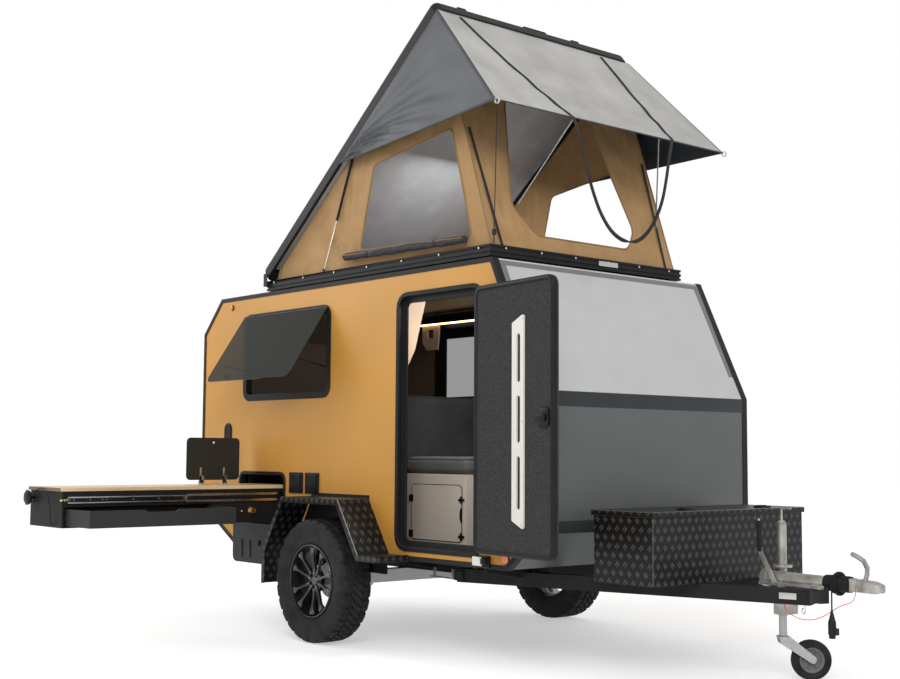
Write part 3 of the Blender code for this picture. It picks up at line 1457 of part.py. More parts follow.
# Gas struts beside the canvas: rod on the base, barrel under the shell, each drawn along its own X axis
eye = on_shell(STRUT_EYE)
strut_length = math.hypot(eye.x - STRUT_FOOT_X, eye.y - STRUT_FOOT_Z)
strut_rise = math.atan2(eye.y - STRUT_FOOT_Z, eye.x - STRUT_FOOT_X)
for side, tag in SIDES:
    strut_axis = empty(
        "strut_axis_" + tag, (STRUT_FOOT_X, side * STRUT_Y, STRUT_FOOT_Z), (0, -strut_rise, 0), VEHICLE
    )
    eye_ring = [(0.0035, -0.0035), (EYE_R, -0.0035), (EYE_R, 0.0035), (0.0035, 0.0035)]
    bar = rod((0.005, 0, 0), (STRUT_ROD_L, 0, 0), STRUT_ROD_R, 12)
    strut_rod = link("strut_rod_" + tag, bar, STEEL, strut_axis, 30)
    fuse(strut_rod, turned("y", (0, 0, 0), eye_ring, 12))
    mouth, end = strut_length - BARREL_L, strut_length - 0.010
    bore = STRUT_ROD_R + GAP
    tube = [(BARREL_R, mouth), (BARREL_R, end), (bore, end), (bore, mouth)]
    barrel = link("strut_barrel_" + tag, turned("x", (0, 0, 0), tube, 16), BLACK, strut_axis, 30)
    fuse(barrel, rod((end - 0.004, 0, 0), (strut_length + 0.008, 0, 0), BARREL_R - 0.0005, 16))

# Trailer cable: wound on the bellows, with a tail that hangs to its plug
CABLE_R = 0.004
WINDING_X0 = cable_exit.x + GAP
WINDING_X1 = WINDING_X0 + 0.070
WINDING_R = BELLOWS_R + 0.016
winding = [
    (BELLOWS_R + GAP, WINDING_X0),
    (WINDING_R - 0.003, WINDING_X0),
    (WINDING_R, WINDING_X0 + 0.006),
    (WINDING_R, WINDING_X1 - 0.006),
    (WINDING_R - 0.003, WINDING_X1),
    (BELLOWS_R + GAP, WINDING_X1),
]
link("cable_winding", turned("x", (0, 0, HEAD_Z), winding, 20), RUBBER, VEHICLE, 30)
TAIL_CABLE_X = WINDING_X0 + 0.052
PLUG_TOP_Z = 0.409
PLUG_L = 0.140
tail_y = -(WINDING_R + CABLE_R + 2 * GAP)
tail_route = [
    (TAIL_CABLE_X - 0.006, tail_y, HEAD_Z + 0.004),
    (TAIL_CABLE_X - 0.003, tail_y - 0.001, HEAD_Z - 0.030),
    (TAIL_CABLE_X, tail_y - 0.001, HEAD_Z - 0.060),
    (TAIL_CABLE_X, tail_y, HEAD_Z - 0.095),
    (TAIL_CABLE_X, tail_y, PLUG_TOP_Z + GAP),
]
cord("cable_tail", tail_route, CABLE_R, RUBBER)
plug = link(
    "cable_plug",
    rod((TAIL_CABLE_X, tail_y, PLUG_TOP_Z - 0.045), (TAIL_CABLE_X, tail_y, PLUG_TOP_Z), 0.016, 16, 0.007),
    RUBBER,
)
fuse(
    plug,
    rod((TAIL_CABLE_X, tail_y, PLUG_TOP_Z - PLUG_L), (TAIL_CABLE_X, tail_y, PLUG_TOP_Z - 0.044), 0.020, 16),
    block(
        (TAIL_CABLE_X + 0.010, tail_y - 0.012, PLUG_TOP_Z - PLUG_L + 0.020),
        (TAIL_CABLE_X + 0.034, tail_y + 0.012, PLUG_TOP_Z - PLUG_L + 0.052),
    ),
)

# Breakaway cable: from the jockey clamp down in a low curve, and up to the side of the coupling head
breakaway_route = [
    (2.7650, -0.0985, BEAM_Z0 - GAP),
    (2.7650, -0.0985, 0.4080),
    (2.7780, -0.0980, 0.3850),
    (2.8070, -0.0900, 0.3640),
    (2.8350, -0.0800, 0.3520),
    (2.8650, -0.0720, 0.3470),
    (2.9000, -0.0660, 0.3490),
    (2.9350, -0.0600, 0.3580),
    (2.9700, -0.0520, 0.3750),
    (3.0000, -0.0430, 0.3950),
    (3.0320, -0.0340, 0.4180),
    (3.0620, -0.0320, 0.4330),
    (3.0950, -0.0380, 0.4440),
    (3.1250, -0.0500, 0.4560),
    (3.1450, -0.0570, 0.4760),
    (3.1500, -0.0520, 0.5020),
    (3.1430, -0.0420, 0.5220),
    (3.1350, -HEAD_W0 - 0.0060, 0.5350),
]
cord("breakaway_cable", breakaway_route, 0.0020, ORANGE)

# Lead on the end of the kitchen slide: out of the end face, up over its edge and back in lower down
lead_y = carcass_end - 0.0195
lead_route = [
    (-1.0900, carcass_end - GAP, 0.8600),
    (-1.0900, carcass_end - 0.0060, 0.8600),
    (-1.0876, carcass_end - 0.0155, 0.8632),
    (-1.0819, lead_y, 0.8708),
    (-1.0660, lead_y, 0.8915),
    (-1.0440, lead_y, 0.9130),
    (-1.0100, lead_y, 0.9320),
    (-0.9600, lead_y, 0.9430),
    (-0.9100, lead_y, 0.9380),
    (-0.8650, lead_y, 0.9180),
    (-0.8320, lead_y, 0.8850),
    (-0.8120, lead_y, 0.8450),
    (-0.8020, lead_y, 0.8020),
    (-0.7970, lead_y, 0.7700),
    (-0.7960, lead_y, 0.7455),
    (-0.7955, carcass_end - 0.0155, 0.7359),
    (-0.7950, carcass_end - 0.0060, 0.7320),
    (-0.7950, carcass_end - GAP, 0.7320),
]
cord("kitchen_lead", lead_route, 0.0030, RUBBER)
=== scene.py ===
# Looks of a small off-road caravan: an ochre cabin with its door open, a kitchen slide drawn out
# and a rooftop tent standing under its fly. Metres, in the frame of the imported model.

import json
import math

import bmesh
import bpy
import numpy as np
from mathutils import Matrix, Vector


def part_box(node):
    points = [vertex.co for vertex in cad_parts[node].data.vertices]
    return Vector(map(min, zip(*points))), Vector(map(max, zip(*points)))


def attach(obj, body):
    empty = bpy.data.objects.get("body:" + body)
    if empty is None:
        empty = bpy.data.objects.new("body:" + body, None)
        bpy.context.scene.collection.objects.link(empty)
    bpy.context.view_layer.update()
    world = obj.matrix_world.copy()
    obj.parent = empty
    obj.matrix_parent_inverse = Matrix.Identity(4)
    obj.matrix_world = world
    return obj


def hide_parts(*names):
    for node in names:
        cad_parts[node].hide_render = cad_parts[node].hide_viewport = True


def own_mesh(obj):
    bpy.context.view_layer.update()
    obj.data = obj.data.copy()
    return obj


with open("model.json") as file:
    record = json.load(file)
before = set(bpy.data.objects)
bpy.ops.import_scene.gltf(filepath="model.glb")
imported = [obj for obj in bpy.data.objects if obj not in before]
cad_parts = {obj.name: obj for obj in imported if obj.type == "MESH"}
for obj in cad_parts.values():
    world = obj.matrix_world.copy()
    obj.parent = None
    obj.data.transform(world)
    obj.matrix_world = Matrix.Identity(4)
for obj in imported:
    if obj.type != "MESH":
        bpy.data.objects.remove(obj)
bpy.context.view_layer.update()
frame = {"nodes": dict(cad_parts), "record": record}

# Camera
# A phone's view from beside the drawbar at chest height, level and turned a little.
# It was solved from the body's edges and the wheels, with the axle as its starting point.
tyre_low, tyre_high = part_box("tyre_right")
wall_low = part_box("side_wall_right")[0]
left_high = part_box("side_wall_left")[1]
AXLE_X = (tyre_low.x + tyre_high.x) / 2
MIDDLE_Y = (wall_low.y + left_high.y) / 2
PICTURE_WIDTH = 900
FOCUS_PIXELS = 1331.0
SENSOR = 36.0
EYE = (AXLE_X + 6.899, MIDDLE_Y - 5.864, 1.183)
YAW, PITCH, ROLL = 139.64, 4.81, 0.36
camera = bpy.data.objects.new("camera", bpy.data.cameras.new("camera"))
bpy.context.scene.collection.objects.link(camera)
camera.data.sensor_width = SENSOR
camera.data.lens = FOCUS_PIXELS * SENSOR / PICTURE_WIDTH
aim = Matrix.Rotation(math.radians(YAW - 90), 4, "Z") @ Matrix.Rotation(
    math.radians(90 + PITCH), 4, "X"
)
camera.matrix_world = Matrix.Translation(EYE) @ aim @ Matrix.Rotation(math.radians(ROLL), 4, "Z")
bpy.context.scene.camera = camera

# Trailer cable
# A rubber lead of seven cores, wound round the drawbar's bellows when parked, whose plug hangs free.
# Its sheath is extruded rubber with a dull bloom, and the plug is a moulded shell with a hinged flap.


class Wire:
    """A shader socket that takes part in sums: every sign between two values adds one Math node."""

    def __init__(self, socket, finish):
        self.socket = socket
        self.finish = finish

    def math(self, operation, first, second=None):
        values = {0: first} if second is None else {0: first, 1: second}
        return self.finish.node("ShaderNodeMath", {"operation": operation}, values)

    def __add__(self, other):
        return self.math("ADD", self, other)

    def __radd__(self, other):
        return self.math("ADD", other, self)

    def __sub__(self, other):
        return self.math("SUBTRACT", self, other)

    def __rsub__(self, other):
        return self.math("SUBTRACT", other, self)

    def __mul__(self, other):
        return self.math("MULTIPLY", self, other)

    def __rmul__(self, other):
        return self.math("MULTIPLY", other, self)

    def __truediv__(self, other):
        return self.math("DIVIDE", self, other)

    def __gt__(self, other):
        return self.math("GREATER_THAN", self, other)

    def size(self):
        return self.math("ABSOLUTE", self)

    def part(self):
        return self.math("FRACT", self)

    def wave(self):
        return self.math("SINE", self)


class Finish:
    """One material: node() adds any node, and shade() sets or links the Principled shader's sockets."""

    def __init__(self, name):
        self.material = bpy.data.materials.new(name)
        self.material.use_nodes = True
        self.tree = self.material.node_tree
        self.shader = self.tree.nodes["Principled BSDF"]

    def node(self, kind, settings=None, values=None, out=0):
        """Any node of a kind: its settings go in first, then the values or links of its sockets."""
        made = self.tree.nodes.new(kind)
        for key, value in (settings or {}).items():
            if key == "stops":
                ramp = made.color_ramp.elements
                while len(ramp) < len(value):
                    ramp.new(0.5)
                for stop, (place, colour) in zip(ramp, value):
                    stop.position = place
                    stop.color = (*colour, 1.0) if hasattr(colour, "__len__") else (colour,) * 3 + (1.0,)
            else:
                setattr(made, key, value)
        for key, value in (values or {}).items():
            self.plug(made.inputs[key], value)
        return Wire(made.outputs[out], self)

    def plug(self, socket, value):
        if isinstance(value, Wire):
            self.tree.links.new(value.socket, socket)
        elif hasattr(value, "__len__") and socket.type == "RGBA" and len(value) == 3:
            socket.default_value = (*value, 1.0)
        else:
            socket.default_value = value

    def shade(self, **sockets):
        """Sockets of the shader by their plain names, with low lines for spaces."""
        for key, value in sockets.items():
            self.plug(self.shader.inputs[key.replace("_", " ")], value)
        return self

    def place(self):
        """The surface's own place on the piece, in metres."""
        return self.node("ShaderNodeTexCoord", out=3)

    def lengths(self):
        """The three parts of the place, as values."""
        split = self.node("ShaderNodeSeparateXYZ", values={0: self.place()})
        return [Wire(split.socket.node.outputs[i], self) for i in range(3)]

    def noise(self, scale, detail=3.0, rough=0.55, stretch=(1, 1, 1), at=None):
        """Cloudy noise between 0 and 1 at a scale in lumps a metre, stretched along the axes."""
        at = self.node("ShaderNodeMapping", values={"Vector": at or self.place(), "Scale": stretch})
        values = {"Vector": at, "Scale": scale, "Detail": detail, "Roughness": rough}
        return self.node("ShaderNodeTexNoise", values=values)

    def ramp(self, value, *stops):
        return self.node("ShaderNodeValToRGB", {"stops": stops}, {0: value})

    def blend(self, factor, first, second):
        node = self.node("ShaderNodeMix", {"data_type": "RGBA"}).socket.node
        self.plug(node.inputs["Factor"], factor)
        self.plug(node.inputs[6], first)
        self.plug(node.inputs[7], second)
        return Wire(node.outputs[2], self)

    def bump(self, height, depth=0.001, strength=1.0):
        """Raised detail, as deep as given in metres where the height goes from 0 to 1."""
        values = {"Height": height, "Distance": depth, "Strength": strength}
        return self.shade(Normal=self.node("ShaderNodeBump", values=values))


def moulded(name, colour, roughness=0.55, grain=900, depth=0.00015, worn=0.25):
    """Moulded plastic or rubber: a fine grain, and patches that are a little lighter and duller."""
    made = Finish(name)
    patch = made.noise(7, 4)
    light = tuple(min(1.0, c * 1.6 + 0.012) for c in colour)
    made.shade(
        Base_Color=made.blend(made.ramp(patch, (0.35, 0.0), (0.75, worn)), colour, light),
        Roughness=roughness - 0.06 + patch * 0.12,
        Specular_IOR_Level=0.14,
    )
    return made.bump(made.noise(grain, 2), depth)


def surface(name, points, around=False, along=False, ends=False, smooth=True):
    """A mesh from a grid of points, rows by columns. around closes each row's ring, along joins the
    last row to the first, and ends puts a lid on the first and last row. Each face is a quad between
    neighbouring rows and columns, and the grid's own steps become its UV map, from 0 to 1."""
    points = np.asarray(points, float)
    rows, columns = points.shape[:2]
    index = np.arange(rows * columns).reshape(rows, columns)
    if around:
        index = np.concatenate([index, index[:, :1]], 1)
    if along:
        index = np.concatenate([index, index[:1]], 0)
    quads = np.stack(
        [index[:-1, :-1], index[1:, :-1], index[1:, 1:], index[:-1, 1:]], -1
    ).reshape(-1, 4)
    steps = np.stack(
        np.meshgrid(np.arange(index.shape[0]), np.arange(index.shape[1]), indexing="ij"), -1
    )
    steps = steps / (np.array(index.shape) - 1)
    uv = np.stack(
        [steps[:-1, :-1], steps[1:, :-1], steps[1:, 1:], steps[:-1, 1:]], -2
    ).reshape(-1, 2)
    faces = quads.tolist()
    if ends:
        faces += [
            np.arange(columns)[::-1].tolist(), ((rows - 1) * columns + np.arange(columns)).tolist()
        ]
        uv = np.concatenate([uv, np.zeros((2 * columns, 2))])
    mesh = bpy.data.meshes.new(name)
    mesh.from_pydata(points.reshape(-1, 3).tolist(), [], faces)
    mesh.uv_layers.new(name="UVMap").data.foreach_set("uv", uv.astype(np.float32).ravel())
    if smooth:
        mesh.shade_smooth()
        mesh.set_sharp_from_angle(angle=math.radians(42))
    return mesh


def piece(name, mesh, finish, body="caravan", *replaced, slot=None):
    """Puts a mesh, or a list of them, into the scene as a piece that rides on a body, with its finish; slot is not
    used. Where every edge has two faces the mesh is closed, and its faces are turned outwards."""
    if isinstance(mesh, list):
        mesh = joined(name, mesh)
    if len(mesh.loops) == 2 * len(mesh.edges):
        whole = bmesh.new()
        whole.from_mesh(mesh)
        bmesh.ops.recalc_face_normals(whole, faces=whole.faces)
        whole.to_mesh(mesh)
        whole.free()
    made = bpy.data.objects.new(name, mesh)
    bpy.context.scene.collection.objects.link(made)
    mesh.materials.clear()
    mesh.materials.append(finish.material)
    if body:
        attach(made, body)
    if replaced:
        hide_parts(*replaced)
    return made


def joined(name, meshes):
    """Several meshes in one."""
    whole = bmesh.new()
    for mesh in meshes:
        whole.from_mesh(mesh)
        bpy.data.meshes.remove(mesh)
    made = bpy.data.meshes.new(name)
    whole.to_mesh(made)
    whole.free()
    return made


def moved(mesh, place):
    """Carries a mesh's points to where place, a function of their x, y and z, puts them."""
    points = np.zeros(len(mesh.vertices) * 3, np.float32)
    mesh.vertices.foreach_get("co", points)
    placed = place(*points.reshape(-1, 3).T)
    mesh.vertices.foreach_set("co", placed.astype(np.float32).ravel())
    return mesh


def frames(path):
    """Tangent, side and rise of every point of a path: the side is carried on with the least twist."""
    path = np.asarray(path, float)
    tangent = np.gradient(path, axis=0)
    tangent /= np.linalg.norm(tangent, axis=1)[:, None]
    side = np.cross(tangent[0], (0.0, 0.0, 1.0) if abs(tangent[0][2]) < 0.9 else (1.0, 0.0, 0.0))
    sides = []
    for t in tangent:
        side = side - t * np.dot(side, t)
        side = side / np.linalg.norm(side)
        sides.append(side)
    sides = np.array(sides)
    return tangent, sides, np.cross(tangent, sides)


def tube(name, path, radius, sides=12, ends=True):
    """A round tube: every point of the path carries a circle across its tangent, with radius as one
    number or one for each point."""
    path = np.asarray(path, float)
    tangent, side, rise = frames(path)
    angle = np.linspace(0, 2 * np.pi, sides, endpoint=False)
    ring = side[:, None] * np.cos(angle)[None, :, None] + rise[:, None] * np.sin(angle)[None, :, None]
    radius = np.broadcast_to(radius, (len(path),))[:, None, None]
    return surface(name, (path[:, None] + ring * radius)[:, ::-1], around=True, ends=ends)


def smooth_path(route, steps=8):
    """A smooth line through given points: between two points it is the cubic whose slopes at both ends are half the
    way between their neighbours."""
    route = np.asarray(route, float)
    ends = np.concatenate([[2 * route[0] - route[1]], route, [2 * route[-1] - route[-2]]])
    a, b, c, d = (ends[i : len(ends) - 3 + i, None] for i in range(4))
    t = np.linspace(0, 1, steps, endpoint=False)[None, :, None]
    line = (
        2 * b + (c - a) * t + (2 * a - 5 * b + 4 * c - d) * t**2 + (3 * b - a - 3 * c + d) * t**3
    ) / 2
    return np.concatenate([line.reshape(-1, 3), route[-1:]])


def at(x, y, z):
    """A place given from the axle's centre line on the ground, in the frame's own coordinates."""
    return (AXLE_X + x, MIDDLE_Y + y, z)


bellows_low, bellows_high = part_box("drawbar_bellows")
winding_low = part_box("cable_winding")[0]
plug_low, plug_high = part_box("cable_plug")
HEAD_Z = (bellows_low.z + bellows_high.z) / 2
CABLE_R = 0.004
coil_r = (bellows_high.z - bellows_low.z) / 2 + CABLE_R + 0.0016
GLAND_Y, GLAND_Z = -0.049, -0.018
gland = np.array((winding_low.x, MIDDLE_Y + GLAND_Y, HEAD_Z + GLAND_Z))
gland_r = math.hypot(GLAND_Y, GLAND_Z)
gland_turn = math.atan2(GLAND_Z, GLAND_Y)
# The lead leaves the gland forwards, turns to lie round the bellows, winds on and comes back over itself
LEAD_IN, COIL_PITCH, FIRST, SECOND = 0.032, 0.0088, 7 * math.pi, 11 * math.pi
bend = np.linspace(0, np.pi / 2, 14)
bend_r = gland_r + (coil_r - gland_r) * (1 - np.cos(bend))
bend_turn = gland_turn + LEAD_IN * (1 - np.cos(bend)) / gland_r
wind_turn = np.linspace(bend_turn[-1], SECOND, 200)[1:]
laid = np.clip((wind_turn - FIRST + 2.2) / 2.2, 0, 1)
wind_r = coil_r + (2 * CABLE_R + 0.0006) * laid * laid * (3 - 2 * laid)
# Forward to the end of the first layer and back: a parabola of one radian joins the two ways
ahead = wind_turn - bend_turn[-1]
top = FIRST - bend_turn[-1]
fold = np.clip(ahead - top + 0.5, 0, 1)
wind_x = np.minimum(ahead, top - 0.5) + fold - fold**2 - np.maximum(ahead - top - 0.5, 0)
wound = np.concatenate([bend_turn, wind_turn])
wound_r = np.concatenate([bend_r, wind_r])
wound_x = np.concatenate(
    [LEAD_IN * np.sin(bend), LEAD_IN + COIL_PITCH * wind_x / (2 * np.pi)]
) + gland[0]
coil = np.stack([wound_x, MIDDLE_Y + wound_r * np.cos(wound), HEAD_Z + wound_r * np.sin(wound)], 1)
# Its tail hangs from there to the plug, upright at both ends
plug_middle = ((plug_low.x + plug_high.x) / 2 - 0.007, (plug_low.y + plug_high.y) / 2)
fall = np.linspace(0, 1, 24)[1:, None]
tail_end = np.array((*plug_middle, plug_high.z))
tail = coil[-1] + (tail_end - coil[-1]) * np.concatenate(
    [fall * fall * (3 - 2 * fall)] * 2 + [fall], 1
)
cable_path = np.concatenate([coil, tail])
cable_rubber = moulded("cable_rubber", (0.012, 0.012, 0.013), 0.5, 1500, 0.0001, 0.35)
trailer_cable = piece(
    "trailer_cable",
    tube("trailer_cable", cable_path, CABLE_R, 12),
    cable_rubber,
    "caravan",
    "cable_winding",
    "cable_tail",
    slot="cable_rubber",
)


def turned(name, axis, centre, profile, sides=32, hollow=False):
    """A turned form: a profile of (radius, depth) carried round an axis through a centre. A hollow one
    joins its profile's ends, and any other is closed by a lid at both."""
    profile = np.asarray(profile, float)
    angle = np.linspace(0, 2 * np.pi, sides, endpoint=False)
    across = profile[:, 0, None] * np.cos(angle)[None]
    up = profile[:, 0, None] * np.sin(angle)[None]
    along = np.broadcast_to(profile[:, 1, None], across.shape)
    order = {"x": (along, across, up), "y": (up, along, across), "z": (across, up, along)}[axis]
    points = np.stack(order, -1) + np.asarray(centre, float)
    return surface(name, points, around=True, along=hollow, ends=not hollow)


def plate(name, low, high, edge=0.002, rows=3):
    """A box with rounded edges: every section along z is a rounded rectangle, and the sections near
    both faces draw in along a quarter circle."""
    low, high = np.asarray(low, float), np.asarray(high, float)
    centre, half = (low + high) / 2, (high - low) / 2
    edge = min(edge, *(half * 0.98))
    turn = np.linspace(0, np.pi / 2, rows + 1)
    quarter = np.stack([np.cos(turn), np.sin(turn)], 1)
    corner = [quarter, quarter[::-1] * (-1, 1), quarter * (-1, -1), quarter[::-1] * (1, -1)]
    ring = np.concatenate(corner)
    signs = np.repeat([(1, 1), (-1, 1), (-1, -1), (1, -1)], rows + 1, 0)
    curl, sink = 1 - np.sin(turn), edge * (1 - np.cos(turn))
    depth = np.concatenate([sink - half[2], [0.0], half[2] - sink[::-1]])
    radius = edge * (1 - np.concatenate([curl, [0.0], curl[::-1]]) * 0.999)
    plan = signs[None] * (half[:2] - edge) + ring[None] * radius[:, None, None]
    points = np.concatenate(
        [plan, np.broadcast_to(depth[:, None, None], (*plan.shape[:2], 1))], -1
    ) + centre
    return surface(name, points, around=True, ends=True)


plug_profile = [
    (0.0001, -0.140), (0.016, -0.140), (0.0165, -0.136), (0.0165, -0.122), (0.020, -0.120)
]
plug_profile += [(0.020, -0.062), (0.0185, -0.056), (0.0150, -0.046)]
plug_profile += [(0.0135 - 0.0012 * i + 0.0012 * (i % 2), -0.040 + 0.0045 * i) for i in range(8)]
plug_profile += [(0.0048, 0.0), (0.0001, 0.0)]
plug_flap = plate(
    "plug_flap",
    (plug_middle[0] + 0.017, plug_middle[1] - 0.012, plug_high.z - 0.122),
    (plug_high.x, plug_middle[1] + 0.012, plug_high.z - 0.088),
    0.003,
)
plug_shell = turned("plug_shell", "z", (*plug_middle, plug_high.z - 0.0003), plug_profile, 28)
cable_plug = piece(
    "trailer_plug",
    joined("trailer_plug", [plug_shell, plug_flap]),
    moulded("plug_shell", (0.02, 0.02, 0.021), 0.42),
    "caravan",
    "cable_plug",
    slot="cable_rubber",
)

# Breakaway cable
# A thin steel rope in an orange sheath from the drawbar to the coupling, slack enough for a turn.
# It sags under its own weight between two eyes.
ROPE_R = 0.002
breakaway_route = [
    (2.7650, -0.0985, 0.4197),
    (2.7650, -0.0985, 0.4080),
    (2.7780, -0.0980, 0.3850),
    (2.8070, -0.0900, 0.3640),
    (2.8350, -0.0800, 0.3520),
    (2.8650, -0.0720, 0.3470),
    (2.9000, -0.0660, 0.3490),
    (2.9350, -0.0600, 0.3580),
    (2.9700, -0.0520, 0.3750),
    (3.0000, -0.0430, 0.3950),
    (3.0320, -0.0340, 0.4180),
    (3.0620, -0.0320, 0.4330),
    (3.0950, -0.0380, 0.4440),
    (3.1250, -0.0500, 0.4560),
    (3.1450, -0.0570, 0.4760),
    (3.1500, -0.0520, 0.5020),
    (3.1430, -0.0420, 0.5220),
    (3.1350, -0.0340, 0.5350),
]
orange_path = smooth_path([at(*p) for p in breakaway_route], 8)
orange = moulded("orange_sheath", (0.75, 0.10, 0.02), 0.35, 2500, 0.00005)
breakaway = piece(
    "breakaway_rope",
    tube("breakaway_rope", orange_path, ROPE_R, 10),
    orange,
    "caravan",
    "breakaway_cable",
    slot="orange_cord",
)

# Kitchen lead
# A round rubber lead that leaves the end panel of the kitchen slide and goes back into it lower down.
CARCASS_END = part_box("kitchen_carcass")[0].y
LEAD_R = 0.003
lead_y = CARCASS_END - 0.0195
lead_route = [
    (-1.0900, CARCASS_END - 0.0003, 0.8600),
    (-1.0900, CARCASS_END - 0.0060, 0.8600),
    (-1.0876, CARCASS_END - 0.0155, 0.8632),
    (-1.0819, lead_y, 0.8708),
    (-1.0660, lead_y, 0.8915),
    (-1.0440, lead_y, 0.9130),
    (-1.0100, lead_y, 0.9320),
    (-0.9600, lead_y, 0.9430),
    (-0.9100, lead_y, 0.9380),
    (-0.8650, lead_y, 0.9180),
    (-0.8320, lead_y, 0.8850),
    (-0.8120, lead_y, 0.8450),
    (-0.8020, lead_y, 0.8020),
    (-0.7970, lead_y, 0.7700),
    (-0.7960, lead_y, 0.7455),
    (-0.7955, CARCASS_END - 0.0155, 0.7359),
    (-0.7950, CARCASS_END - 0.0060, 0.7320),
    (-0.7950, CARCASS_END - 0.0003, 0.7320),
]
lead_path = smooth_path([(AXLE_X + x, y, z) for x, y, z in lead_route], 8)
kitchen_lead = piece(
    "slide_lead", tube(
        "slide_lead", lead_path, LEAD_R, 10
    ), cable_rubber, "caravan", "kitchen_lead", slot="cable_rubber"
)

# Body panels
# Flat sandwich panels with a thin painted skin, held along every edge in black aluminium angle.
# The satin paint has a faint peel, and the nose has a brushed panel above a plain dark one.
record_nodes = {s["node"]: s["material_slot"] for s in frame["record"]["subparts"]}
node_body = {
    node: body for body, nodes in frame["record"]["behaviour"]["bodies"].items() for node in nodes
}


def dressed(node, finish, edge=0.0015, angle=32, flat=0.4):
    """A finer copy of a solid: its triangles are merged back into flat faces, each sharp edge gets a
    small round of two facets, and round forms are shaded smooth."""
    mesh = frame["nodes"][node].data.copy()
    whole = bmesh.new()
    whole.from_mesh(mesh)
    bmesh.ops.remove_doubles(whole, verts=whole.verts, dist=2e-5)
    if flat:
        bmesh.ops.dissolve_limit(
            whole, angle_limit=math.radians(flat), verts=whole.verts, edges=whole.edges, delimit={"NORMAL"}
        )
    whole.to_mesh(mesh)
    whole.free()
    mesh.shade_smooth()
    mesh.set_sharp_from_angle(angle=math.radians(angle))
    made = piece(node + "_form", mesh, finish, node_body[node], node, slot=record_nodes[node])
    if edge:
        bevel = made.modifiers.new("edges", "BEVEL")
        bevel.width = edge
        bevel.segments = 2
        bevel.limit_method = "ANGLE"
        bevel.angle_limit = math.radians(angle)
        bevel.use_clamp_overlap = False
        even = made.modifiers.new("even", "WEIGHTED_NORMAL")
        even.keep_sharp = True
    return made


def facing(finish, axis):
    """One part of the surface's own direction, from -1 to 1 along an axis."""
    turn = finish.node("ShaderNodeTexCoord", out=1)
    return finish.node("ShaderNodeSeparateXYZ", values={0: turn}, out="xyz".index(axis))


def painted(name, colour, roughness=0.4, drift=0.10, metallic=0.0, coat=0.15, inside=None):
    """Satin paint with slow drifts in tone and a fine peel. inside gives an axis and the sign of the
    faces that look into the cabin, which carry a brown lining instead."""
    made = Finish(name)
    slow = made.noise(1.3, 2)
    light = tuple(min(1.0, c * (1 + drift)) for c in colour)
    deep = tuple(c * (1 - drift) for c in colour)
    tone = made.blend(made.ramp(slow, (0.3, 0.0), (0.7, 1.0)), deep, light)
    if inside:
        axis, sign = inside
        nap = made.noise(300, 3, 0.7)
        tone = made.blend(
            facing(made, axis) * sign > 0.5,
            tone,
            made.blend(nap, (0.15, 0.105, 0.075), (0.27, 0.20, 0.15)),
        )
    made.shade(
        Base_Color=tone,
        Roughness=roughness + made.noise(30, 4) * 0.08,
        Metallic=metallic,
        Coat_Weight=coat,
        Coat_Roughness=0.25,
        Specular_IOR_Level=0.35 if max(colour) > 0.06 else 0.12,
    )
    return made.bump(made.noise(260, 2), 0.00012)


def brushed(name, colour, roughness=0.3, metallic=1.0, stretch=(1, 40, 40), depth=0.00004):
    """Brushed or drawn metal: noise drawn out along one axis varies its tone and its gloss."""
    made = Finish(name)
    lines = made.noise(60, 3, 0.6, stretch)
    patch = made.noise(6, 4)
    light = tuple(min(1.0, c * 1.15) for c in colour)
    deep = tuple(c * 0.82 for c in colour)
    made.shade(
        Base_Color=made.blend(lines * 0.6 + patch * 0.4, deep, light),
        Roughness=roughness - 0.07 + patch * 0.14,
        Metallic=metallic,
    )
    return made.bump(lines, depth)


OCHRE = (0.60, 0.292, 0.050)
for node, inside in (
    ("side_wall_right", ("y", 1)), ("side_wall_left", ("y", -1)), ("rear_wall", ("x", 1))
):
    dressed(node, painted("ochre_" + node, OCHRE, 0.38, 0.07, inside=inside), 0.0008)
dark_paint = painted("grey_paint", (0.120, 0.129, 0.131), 0.36, 0.08)
dressed("front_wall_lower", dark_paint, 0.0008)
silver_paint = brushed("silver_panel", (0.64, 0.64, 0.645), 0.34, 0.55, (30, 1, 30), 0.00002)
dressed("front_wall_upper", silver_paint, 0.0008)
roof_paint = painted("roof_paint", (0.022, 0.022, 0.024), 0.5)
dressed("roof_panel", roof_paint, 0.0008)
dressed("floor_panel", moulded("floor_sheet", (0.016, 0.016, 0.016), 0.7), 0.0008)
black_coat = moulded("black_coat", (0.017, 0.017, 0.018), 0.42, 1400, 0.00008, 0.3)
for side in ("right", "left"):
    dressed("edge_trim_" + side, black_coat, 0.001)

# Strips across the nose: thin folded aluminium, in rows of name, z low, z high, thickness and finish
nose_low, nose_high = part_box("front_wall_lower")
upper_low, upper_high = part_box("front_wall_upper")
NOSE_X = nose_high.x
CHIN_Z = 0.745
belt_grey = painted("belt_grey", (0.040, 0.046, 0.050), 0.4)
strip_grey = brushed("strip_grey", (0.24, 0.245, 0.25), 0.4, 0.6, (30, 1, 30), 0.00002)
for name, z0, z1, thick, finish in (
    ("nose_belt", nose_high.z - 0.082, nose_high.z - 0.001, 0.0035, belt_grey),
    ("nose_foot", CHIN_Z + 0.002, CHIN_Z + 0.067, 0.0030, belt_grey),
):
    low = (NOSE_X + 0.0003, nose_low.y + 0.003, z0)
    high = (NOSE_X + thick, nose_high.y - 0.003, z1)
    piece(name, plate(name, low, high, 0.0012), finish, "caravan")


